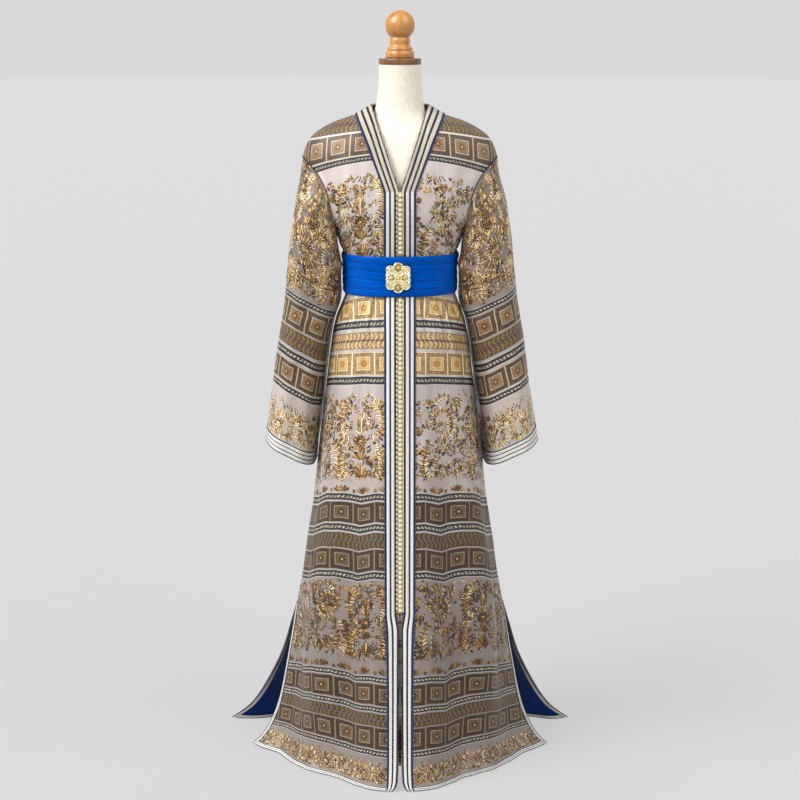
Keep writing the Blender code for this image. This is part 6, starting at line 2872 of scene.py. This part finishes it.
@dataclass
class Buckle:
    """The belt's gilt buckle: a scalloped filigree plate with a beaded boss."""

    gilt: Material
    # pale gives the rims their painted highlight, and dark gives the hollows their painted
    # shade.
    pale: Material
    dark: Material
    belt_y: float
    x: float = -0.004
    z: float = 1.0845

    def disc(self, name: str, x: float, z: float, radius: float, depth: float,
             rise: float, sides: int = 24,
             finish: Material | None = None) -> Object:
        """Make a disc with a bevelled front rim, facing forward.

        Args:
            name: The part's name.
            x: Place of its middle.
            z: Height of its middle.
            radius: Radius.
            depth: Thickness.
            rise: How far its middle stands before the buckle's back.
            sides: Number of sides.
            finish: Its metal, gilt where none is given.

        Returns:
            The disc.
        """
        bpy.ops.mesh.primitive_cylinder_add(vertices=sides, radius=radius, depth=depth,
                                            location=(x, self.belt_y - rise, z),
                                            rotation=(math.pi / 2, 0.0, 0.0))
        thing = named_primitive(name, finish or self.gilt)
        bevel_all(thing, depth * 0.3, 2, 40)
        return thing

    def wire(self, name: str, x: float, z: float, radius: float, thick: float, rise: float,
             finish: Material, sides: int = 22) -> Object:
        """Make a ring of wire, facing forward.

        Args:
            name: The part's name.
            x: Place of its middle.
            z: Height of its middle.
            radius: Radius of the ring.
            thick: Radius of the wire.
            rise: How far it stands before the buckle's back.
            finish: Its metal.
            sides: Number of straight lengths.

        Returns:
            The ring.
        """
        bpy.ops.mesh.primitive_torus_add(major_segments=sides, minor_segments=6,
                                         major_radius=radius, minor_radius=thick,
                                         location=(x, self.belt_y - rise, z),
                                         rotation=(math.pi / 2, 0.0, 0.0))
        thing = named_primitive(name, finish)
        bpy.ops.object.shade_smooth()
        return thing

    def bead(self, x: float, z: float, radius: float, rise: float) -> Object:
        """Make one round bead.

        Args:
            x: Place of its middle.
            z: Height of its middle.
            radius: Radius.
            rise: How far it stands before the buckle's back.

        Returns:
            The bead.
        """
        bpy.ops.mesh.primitive_uv_sphere_add(segments=8, ring_count=5, radius=radius,
                                             location=(x, self.belt_y - rise, z))
        bead = named_primitive("bead", self.gilt)
        bpy.ops.object.shade_smooth()
        return bead

    def lobe(self, x: float, z: float, radius: float, hollow: bool) -> list[Object]:
        """Make one scallop: a disc, its pale rim (a painted highlight), and scrolls over a
        dark hollow (painted shade) or a bead.

        Args:
            x: Place of its middle from the buckle's.
            z: Height of its middle over the buckle's.
            radius: Radius.
            hollow: Whether scrolls fill a dark hollow.

        Returns:
            The scallop's parts.
        """
        x, z = self.x + x, self.z + z
        parts = [self.disc("lobe", x, z, radius, 0.0016, 0.0018, 24),
                 self.wire("lobe_rim", x, z, radius - 0.0004, 0.0011, 0.0028, self.pale)]
        if not hollow:
            return parts + [self.wire("lobe_ring", x, z, radius * 0.45, 0.0007, 0.0030,
                                      self.pale, sides=14), self.bead(x, z, 0.0016, 0.0032)]
        parts.append(self.disc("hollow", x, z, radius * 0.74, 0.0008, 0.0030, 24, self.dark))
        for i in range(5):
            angle = math.radians(72.0 * i)
            near_x, near_z = x + 0.0036 * math.sin(angle), z + 0.0036 * math.cos(angle)
            parts.append(self.wire("scroll", near_x, near_z, 0.0017, 0.0005, 0.0038,
                                   self.gilt, sides=12))
        return parts + [self.bead(x, z, 0.0015, 0.0040)]

    def build(self) -> Object:
        """Make the buckle."""
        parts = [self.disc("plate", self.x, self.z, 0.0232, 0.0018, 0.0016, 40)]
        for side in (-1, 1):
            for x, z, radius in ((0.0160, 0.0158, 0.0096), (0.0196, 0.0056, 0.0064),
                                 (0.0196, -0.0056, 0.0064), (0.0160, -0.0158, 0.0096)):
                parts += self.lobe(side * x, z, radius, False)
            parts += self.lobe(0.0, side * 0.0214, 0.0106, True)
            parts += self.lobe(side * 0.0142, 0.0, 0.0092, True)
        parts.append(self.disc("boss", self.x, self.z, 0.0078, 0.0030, 0.0042, 24))
        # The boss's pale rim is a painted highlight.
        parts.append(self.wire("boss_rim", self.x, self.z, 0.0080, 0.0007, 0.0050, self.pale))
        for i in range(12):
            angle = math.radians(30.0 * i)
            parts.append(self.bead(self.x + 0.0056 * math.sin(angle),
                                   self.z + 0.0056 * math.cos(angle), 0.0009, 0.0060))
        parts.append(self.bead(self.x, self.z, 0.0026, 0.0056))
        plate = join_all(parts, "belt_rosette_gilt")
        set_down(plate)
        return plate


# ---- dress form
class FormRing(NamedTuple):
    """A ring of the form: height, half width, and reach to the front and the back."""

    z: float
    half_width: float
    front: float
    back: float


FORM_TORSO = [
    FormRing(1.5265, 0.0455, 0.0440, 0.0440),
    FormRing(1.5000, 0.0455, 0.0440, 0.0440),
    FormRing(1.4750, 0.0470, 0.0450, 0.0450),
    FormRing(1.4550, 0.0495, 0.0465, 0.0480),
    FormRing(1.4380, 0.0525, 0.0480, 0.0530),
    FormRing(1.4220, 0.0600, 0.0510, 0.0600),
    FormRing(1.4050, 0.0860, 0.0560, 0.0670),
    FormRing(1.3850, 0.1450, 0.0660, 0.0750),
    FormRing(1.3600, 0.1740, 0.0760, 0.0800),
    FormRing(1.3300, 0.1840, 0.0850, 0.0840),
    FormRing(1.2950, 0.1820, 0.0940, 0.0860),
    FormRing(1.2500, 0.1660, 0.1010, 0.0870),
    FormRing(1.2100, 0.1480, 0.1050, 0.0860),
    FormRing(1.1650, 0.1250, 0.1020, 0.0810),
    FormRing(1.1200, 0.1120, 0.0930, 0.0740),
    FormRing(1.0800, 0.1090, 0.0890, 0.0700),
    FormRing(1.0350, 0.1100, 0.0910, 0.0750),
    FormRing(0.9700, 0.1250, 0.1050, 0.0900),
    FormRing(0.8800, 0.1400, 0.1150, 0.1020),
    FormRing(0.8200, 0.1380, 0.1120, 0.1020),
    FormRing(0.8000, 0.1250, 0.1000, 0.0900),
]


@dataclass
class DressForm:
    """The limbless form: a linen torso, a walnut neck cap and a turned oak finial."""

    wardrobe: Wardrobe
    around: int = 72
    levels: int = 110
    cap_radius: float = 0.0455
    cap_low: float = 1.5268
    cap_high: float = 1.5397
    finial_low: float = 1.5400
    finial_high: float = 1.6400
    ball_radius: float = 0.0315

    def torso(self) -> Object:
        """Make the padded torso."""
        angles = np.linspace(0.0, 2 * math.pi, self.around, endpoint=False)
        widths = table_curve(FORM_TORSO, "half_width")
        fronts, backs = table_curve(FORM_TORSO, "front"), table_curve(FORM_TORSO, "back")
        top, bottom = FORM_TORSO[0].z, FORM_TORSO[-1].z
        piece = Piece("form_torso_linen", [self.wardrobe.linen])
        heights = np.linspace(bottom, top, self.levels)
        for z in heights:
            half = widths(z) - 0.0004
            depth = np.where(np.cos(angles) > 0, fronts(z), backs(z)) - 0.0004
            piece.add_points(np.column_stack((half * np.sin(angles), -depth * np.cos(angles),
                                              np.full(self.around, z))))
        count = self.around
        for i in range(self.levels - 1):
            for j in range(count):
                m = (j + 1) % count
                face = (i * count + j, i * count + m, (i + 1) * count + m, (i + 1) * count + j)
                u0, u1 = 0.9 * j / count, 0.9 * (j + 1) / count
                v0, v1 = heights[i], heights[i + 1]
                piece.add_face(face, ((u0, v0), (u1, v0), (u1, v1), (u0, v1)))
        last = (self.levels - 1) * count
        ring = [(math.cos(a) * 0.1, math.sin(a) * 0.1) for a in angles]
        piece.add_face(list(range(count))[::-1], ring[::-1])
        piece.add_face(list(range(last, last + count)), ring)
        return piece.build(50.0)

    def cap(self) -> Object:
        """Make the neck cap."""
        middle = (self.cap_low + self.cap_high) / 2
        bpy.ops.mesh.primitive_cylinder_add(vertices=72, radius=self.cap_radius,
                                            depth=self.cap_high - self.cap_low,
                                            location=(0.0, 0.0, middle))
        cap = named_primitive("form_neck_cap_walnut", self.wardrobe.walnut)
        bevel_all(cap, 0.0025, 3, 35)
        set_down(cap)
        return cap

    def profile(self) -> list[tuple[float, float]]:
        """Return the finial's half section as radius and height, from the top down."""
        ball_z = self.finial_high - self.ball_radius
        points = [(0.0, self.finial_high)]
        for degrees in np.linspace(84, -50, 24):
            angle = math.radians(degrees)
            points.append((self.ball_radius * math.cos(angle),
                           ball_z + self.ball_radius * math.sin(angle)))
        points += [(0.0200, 1.5822), (0.0212, 1.5800), (0.0219, 1.5772), (0.0220, 1.5740),
                   (0.0216, 1.5705), (0.0212, 1.5680), (0.0222, 1.5655), (0.0250, 1.5632),
                   (0.0262, 1.5618), (0.0270, 1.5600), (0.0270, 1.5578), (0.0262, 1.5560),
                   (0.0266, 1.5548), (0.0290, 1.5536), (0.0302, 1.5515), (0.0305, 1.5480),
                   (0.0304, 1.5430), (0.0298, 1.5406), (0.0290, self.finial_low),
                   (0.0, self.finial_low)]
        return points

    def finial(self) -> Object:
        """Turn the finial: its half section is spun about the form's axis."""
        points = self.profile()
        bpy.ops.mesh.primitive_plane_add(size=0.01, location=(0.0, 0.0, 0.0))
        finial = named_primitive("form_finial_oak", self.wardrobe.oak)
        select_only(finial)
        bpy.ops.object.mode_set(mode="EDIT")
        shape = bmesh.from_edit_mesh(finial.data)
        bmesh.ops.delete(shape, geom=shape.verts[:], context="VERTS")
        corners = [shape.verts.new((radius, 0.0, z)) for radius, z in points]
        for upper, lower in zip(corners, corners[1:]):
            shape.edges.new((upper, lower))
        bmesh.update_edit_mesh(finial.data)
        bpy.ops.mesh.select_all(action="SELECT")
        bpy.ops.mesh.spin(steps=64, angle=2 * math.pi, center=(0.0, 0.0, 0.0),
                          axis=(0.0, 0.0, 1.0))
        bpy.ops.mesh.select_all(action="SELECT")
        bpy.ops.mesh.remove_doubles(threshold=0.00005)
        bpy.ops.mesh.normals_make_consistent(inside=False)
        bpy.ops.object.mode_set(mode="OBJECT")
        bpy.ops.object.shade_smooth_by_angle(angle=math.radians(40))
        return finial

    def build(self) -> None:
        """Make and dress the torso, cap and finial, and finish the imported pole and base."""
        torso = self.torso()
        for thing, slot, node in ((torso, "linen", "form_torso"),
                                  (self.cap(), "walnut", "form_neck_cap"),
                                  (self.finial(), "oak", "form_finial")):
            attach(thing, "root")
            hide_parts(node)
            report(thing, "dress form")
        for node, finish in (("form_pole", self.wardrobe.steel),
                             ("form_base", self.wardrobe.oak)):
            thing = frame["nodes"][node]
            thing.data.materials.clear()
            thing.data.materials.append(finish)
            report(thing, "kept as packed")


# ---- the whole
LOW_PAINTED_SHADE = -0.23               # the gold is darker in the skirt's lower part: partly its own browner tone, partly painted shade
FIGURE_ZONES = ((0.285, 0.448), (0.668, 0.845), (1.120, 1.300))
# Where small woven leaves crowd the ground: from, to, and how closely.
BODY_LEAFY = ((0.006, 0.062, 0.85), (0.262, 0.448, 1.1), (0.652, 0.842, 1.0),
              (1.050, 1.315, 0.90))
SLEEVE_LEAFY = ((0.024, 0.120, 0.70), (0.318, 0.640, 1.20))


def front_spots(side: Side) -> list[Spot]:
    """Return where the gold figures stand on a front.

    Args:
        side: Which front.

    Returns:
        The spots, small twigs included.
    """
    if side is Side.LEFT:
        upper = (("candelabrum", 0.088), ("wreath", 0.186), ("candelabrum", 0.314))
        lower = (("candelabrum", 0.076), ("wreath", 0.166), ("candelabrum", 0.281),
                 ("wreath", 0.371))
    else:
        upper = (("wreath", 0.092), ("candelabrum", 0.222), ("wreath", 0.320))
        lower = (("wreath", 0.084), ("candelabrum", 0.201), ("wreath", 0.290),
                 ("candelabrum", 0.407))
    spots = [Spot(kind, u, 0.659) for kind, u in upper]
    spots += [Spot(kind, u, 0.277, 0.90, False, LOW_PAINTED_SHADE) for kind, u in lower]
    spots += [Spot(kind, u - 0.002, 1.126 if kind == "candelabrum" else 1.108)
              for kind, u in upper]
    spots += scattered(spots, 0.46, FIGURE_ZONES, 5 + side.value)
    return spots + repeats(0.0, 0.47)


def repeats(start: float, stop: float) -> list[Spot]:
    """Return the sprigs and the hem's bouquets along a panel.

    Args:
        start: First place across the cloth.
        stop: Last place across the cloth.

    Returns:
        The spots.
    """
    spots = []
    for i in range(int((stop - start) / TILE_WIDTH) + 1):
        u = (math.floor(start / TILE_WIDTH) + i + 0.5) * TILE_WIDTH
        spots.append(Spot("sprig", u, 0.2425, 1.0, False, LOW_PAINTED_SHADE))
        spots.append(Spot("sprig", u, 0.6325, 1.0, False, -0.08))
        spots.append(Spot("bouquet", u, 0.0135, 0.72, i % 2 == 0, LOW_PAINTED_SHADE + 0.04))
    return spots


def back_spots() -> list[Spot]:
    """Return where the gold figures stand on the back."""
    spots = [Spot("candelabrum", 0.0, height, scale, False, tone)
             for height, scale, tone in ((0.659, 1.0, 0.0), (0.277, 0.90, LOW_PAINTED_SHADE),
                                         (1.126, 1.0, 0.0))]
    for hand in (-1, 1):
        for place, kind in enumerate(("wreath", "candelabrum", "wreath", "candelabrum")):
            u = (0.098, 0.228, 0.326, 0.456)[place]
            foot = 1.126 if kind == "candelabrum" else 1.108
            for height, scale, tone in ((0.659, 1.0, 0.0), (0.277, 0.90, LOW_PAINTED_SHADE),
                                        (foot, 1.0, 0.0)):
                spots.append(Spot(kind, hand * u * scale, height, scale, hand < 0, tone))
    spots += scattered(spots, 0.50, FIGURE_ZONES, 7)
    return spots + repeats(-0.52, 0.52)


def sleeve_spots() -> list[Spot]:
    """Return where the gold figures stand on a sleeve."""
    spots = []
    for i in range(-3, 4):
        tall = i % 2 == 0
        first, second = ("candelabrum", "wreath") if tall else ("wreath", "candelabrum")
        spots.append(Spot(first, 0.084 * i, 0.326, 0.82, i < 0, 0.08))
        spots.append(Spot(second, 0.084 * i, 0.472, 0.68, i < 0, 0.08))
        spots.append(Spot("bouquet", 0.084 * i, 0.031, 1.0, i % 2 == 0, 0.10))
        spots.append(Spot("cluster", 0.084 * (i + 0.5), 0.085, 0.90))
        spots.append(Spot("cluster", 0.084 * (i + 0.5), 0.380, 0.70))
        spots.append(Spot("cluster", 0.084 * (i + 0.5), 0.520, 0.75))
    return spots


def scattered(spots: Sequence[Spot], width: float, zones: Sequence[tuple[float, float]],
              seed: int, gap: float = 0.0125) -> list[Spot]:
    """Return small twigs for the places that the figures leave bare.

    Args:
        spots: Where the figures stand.
        width: Half the panel's width; places run to both sides of its middle.
        zones: Lowest and highest height of each stretch of silk to fill.
        seed: Start of the scatter.
        gap: Least distance between a twig's middle and any other stroke, in metres.

    Returns:
        The twigs' spots.
    """
    chance = np.random.default_rng(seed)
    taken = np.vstack([spot.place(stroke[0]) for spot in spots
                       for stroke in FIGURES[spot.figure].strokes])
    found = []
    for low, high in zones:
        near = taken[(taken[:, 1] > low - 0.03) & (taken[:, 1] < high + 0.03)]
        for _ in range(int(2 * width * (high - low) / gap**2 * 4)):
            place = np.array([chance.uniform(-width, width), chance.uniform(low, high)])
            if np.min(np.hypot(*(near - place).T)) < gap:
                continue
            spot = Spot("filler", float(place[0]), float(place[1]), chance.uniform(0.75, 1.05),
                        chance.uniform() < 0.5, LOW_PAINTED_SHADE if low < 0.5 else 0.0,
                        chance.uniform(0.0, 360.0))
            found.append(spot)
            near = np.vstack([near] + [spot.place(stroke[0])
                                       for stroke in FIGURES["filler"].strokes])
    return found


@dataclass
class Kaftan:
    """The garment: panels, sleeves, trimmings, buttons and belt."""

    wardrobe: Wardrobe

    def dress(self, thing: Object, nodes: Sequence[str],
              note: str) -> Object:
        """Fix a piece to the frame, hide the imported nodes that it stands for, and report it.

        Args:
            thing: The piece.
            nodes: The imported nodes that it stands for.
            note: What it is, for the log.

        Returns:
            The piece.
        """
        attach(thing, "root")
        if nodes:
            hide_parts(*nodes)
        report(thing, note)
        return thing

    def cloth(self, name: str, drape: Drape, node: str, spots: Sequence[Spot],
              margin: float,
              leafy: Sequence[tuple[float, float, float]]) -> None:
        """Args:
            name: The sheet's name.
            drape: How it hangs.
            node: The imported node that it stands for.
            spots: Where its gold figures stand.
            margin: How far the gold keeps from the side edges.
            leafy: Where small woven leaves crowd the ground.
        """
        brocade = (self.wardrobe.sleeve_brocade if leafy is SLEEVE_LEAFY
                   else self.wardrobe.brocade)
        sheet = self.dress(BrocadeSheet(name, drape, brocade, leafy).build(),
                           [node], "brocade hung on the form")
        gold = self.dress(Goldwork(f"{name}_goldwork", drape, self.wardrobe.gold, spots,
                                   margin=margin, low=0.0125).build(),
                          [], "raised gold figures")

    def fronts(self) -> dict[Side, Drape]:
        """Make both fronts and their braids."""
        drapes = {}
        for side in Side:
            drape = drape_front(side)
            self.cloth(f"front_{side.word}_brocade", drape, f"front_{side.word}",
                       front_spots(side), 0.002, BODY_LEAFY)
            self.dress(FrontBraids(side, drape, self.wardrobe).build(),
                       [f"front_braid_{side.word}"], "cords and flat braids")
            drapes[side] = drape
        return drapes

    def back(self) -> None:
        """Make the back, its blue lining and its braids."""
        drape = drape_back()
        self.cloth("back_brocade", drape, "back_panel", back_spots(),
                   0.002, BODY_LEAFY)
        self.dress(BackLining(drape, self.wardrobe.blue_lining).build(),
                   ["back_lining"], "blue satin that shows in the slits")
        braids = BackBraids(drape, self.wardrobe)
        self.dress(braids.edges(), ["back_braid"], "cords and flat braids")
        self.dress(braids.neck(), ["back_neck_braid"], "braid behind the neck")

    def sleeves(self) -> None:
        """Make both sleeves and their cuff braids."""
        for side in Side:
            drape = SleeveShape(side).drape()
            self.cloth(f"sleeve_{side.word}_brocade", drape, f"sleeve_{side.word}",
                       sleeve_spots(), 0.0005, SLEEVE_LEAFY)
            trims = CuffBraid(side, drape, self.wardrobe)
            self.dress(trims.cuff(), [f"cuff_braid_{side.word}"], "cuff braid")
            self.dress(trims.piping(), [], "piping on the armhole")

    def closures(self, front: Drape) -> None:
        """Make the button rows, the belt and its buckle.

        Args:
            front: The drape whose meeting edge the buttons follow.
        """
        for name, low, high in (("placket_upper", BELT_TOP_Z + 0.004, V_BOTTOM_Z),
                                ("placket_lower", BUTTONS_END_Z, BELT_BOTTOM_Z - 0.004)):
            row = ButtonRow(name, low, high, front, self.wardrobe)
            self.dress(row.strip(), [name], "placket strip")
            self.dress(row.buttons(), [], "knotted buttons and loops")
        sash = self.dress(Sash(self.wardrobe.belt).build(), ["belt"],
                          "pleated satin belt")
        # The buckle's back lies on the sash's tiers: clearance, wall, swell and a gap.
        belt_y = -(float(FRONT["depth"](1.117)) + 0.0028 + 0.0022 + 0.0013 + 0.0003)
        buckle = self.dress(Buckle(self.wardrobe.gilt, self.wardrobe.gilt_painted_highlight,
                                  self.wardrobe.gilt_painted_shade, belt_y).build(),
                            ["belt_rosette"], "gilt buckle")

    def build(self) -> None:
        """Make every piece of the garment."""
        drapes = self.fronts()
        self.back()
        self.sleeves()
        self.closures(drapes[Side.RIGHT])


@dataclass
class BackLining:
    """The blue satin inside the back's lower part, seen through the slits."""

    drape: Drape
    satin: Material
    low_z: float = 0.010
    high_z: float = 0.378
    gap: float = 0.0022
    wall: float = 0.0006

    def build(self) -> Object:
        """Make the lining as a thin closed sheet inside the back."""
        edges = PanelEdges(self.drape)
        rows = np.linspace(edges.row_at(self.low_z), edges.row_at(self.high_z), 48)
        columns = np.linspace(0.0, edges.last, 120)
        row, column = np.meshgrid(rows, columns, indexing="ij")
        piece = Piece("back_lining_satin", [self.satin])
        count = row.size
        for depth in (self.gap, self.gap + self.wall):
            piece.add_points(self.drape.lift(row.ravel(), column.ravel(),
                                             np.full(count, -depth)))
        wide = len(columns)

        def place(index: int) -> tuple[float, float]:
            """Return the UV place of a point."""
            index %= count
            return (0.008 * (index % wide), 0.008 * (index // wide))

        for i in range(len(rows) - 1):
            for j in range(wide - 1):
                a, b, c, d = (i * wide + j, i * wide + j + 1, (i + 1) * wide + j + 1,
                              (i + 1) * wide + j)
                for face in ((d, c, b, a), (a + count, b + count, c + count, d + count)):
                    piece.add_face(face, [place(k) for k in face])
        ring = (list(range(wide)) + [i * wide + wide - 1 for i in range(1, len(rows))]
                + [(len(rows) - 1) * wide + j for j in range(wide - 2, -1, -1)]
                + [i * wide for i in range(len(rows) - 2, 0, -1)])
        for a, b in zip(ring, ring[1:] + ring[:1]):
            face = (a, b, b + count, a + count)
            piece.add_face(face, [place(k) for k in face])
        return piece.build(60.0)


@dataclass
class Studio:
    """Pale floor, soft light and the camera."""

    floor_finish: Material
    camera_at: tuple[float, float, float] = (0.0, -4.0, 1.6)
    pitch: float = 11.33
    lens: float = 83.25

    def lamp(self, name: str, degrees: tuple[float, float, float], power: float,
             spread: float) -> None:
        """Hang a far soft lamp, turned by degrees from straight down.

        Args:
            name: The lamp's name.
            degrees: Its turn about X, Y and Z.
            power: Its strength.
            spread: Its apparent size, in degrees.
        """
        data = bpy.data.lights.new(name, "SUN")
        data.energy, data.angle = power, math.radians(spread)
        lamp = bpy.data.objects.new(name, data)
        bpy.context.scene.collection.objects.link(lamp)
        lamp.rotation_euler = tuple(math.radians(turn) for turn in degrees)

    def build(self) -> None:
        """Make the floor, the lamps, the world and the camera."""
        bpy.ops.mesh.primitive_circle_add(vertices=64, radius=60.0, fill_type="NGON",
                                          location=(0.0, 0.0, 0.0))
        floor = named_primitive("studio_floor", self.floor_finish)
        world = bpy.data.worlds.new("studio")
        bpy.context.scene.world = world
        world.use_nodes = True
        light = world.node_tree.nodes["Background"].inputs
        light["Color"].default_value = linear("#dbdadb")
        light["Strength"].default_value = 1.0
        self.lamp("key", (50.0, 0.0, -60.0), 5.0, 40.0)
        self.lamp("fill", (52.0, 0.0, 56.0), 1.6, 50.0)
        camera_data = bpy.data.cameras.new("camera")
        camera_data.lens, camera_data.sensor_width = self.lens, 36.0
        camera = bpy.data.objects.new("camera", camera_data)
        bpy.context.scene.collection.objects.link(camera)
        camera.location = self.camera_at
        camera.rotation_euler = (math.radians(90 - self.pitch), 0.0, 0.0)
        bpy.context.scene.camera = camera
        bpy.context.scene.view_settings.view_transform = "Standard"


def main() -> None:
    """Build the dressed kaftan on its form, and the studio."""
    logging.basicConfig(level=logging.INFO, format="%(message)s")
    wardrobe = Wardrobe()
    DressForm(wardrobe).build()
    Kaftan(wardrobe).build()
    Studio(wardrobe.floor).build()


if __name__ == "__main__":
    main()
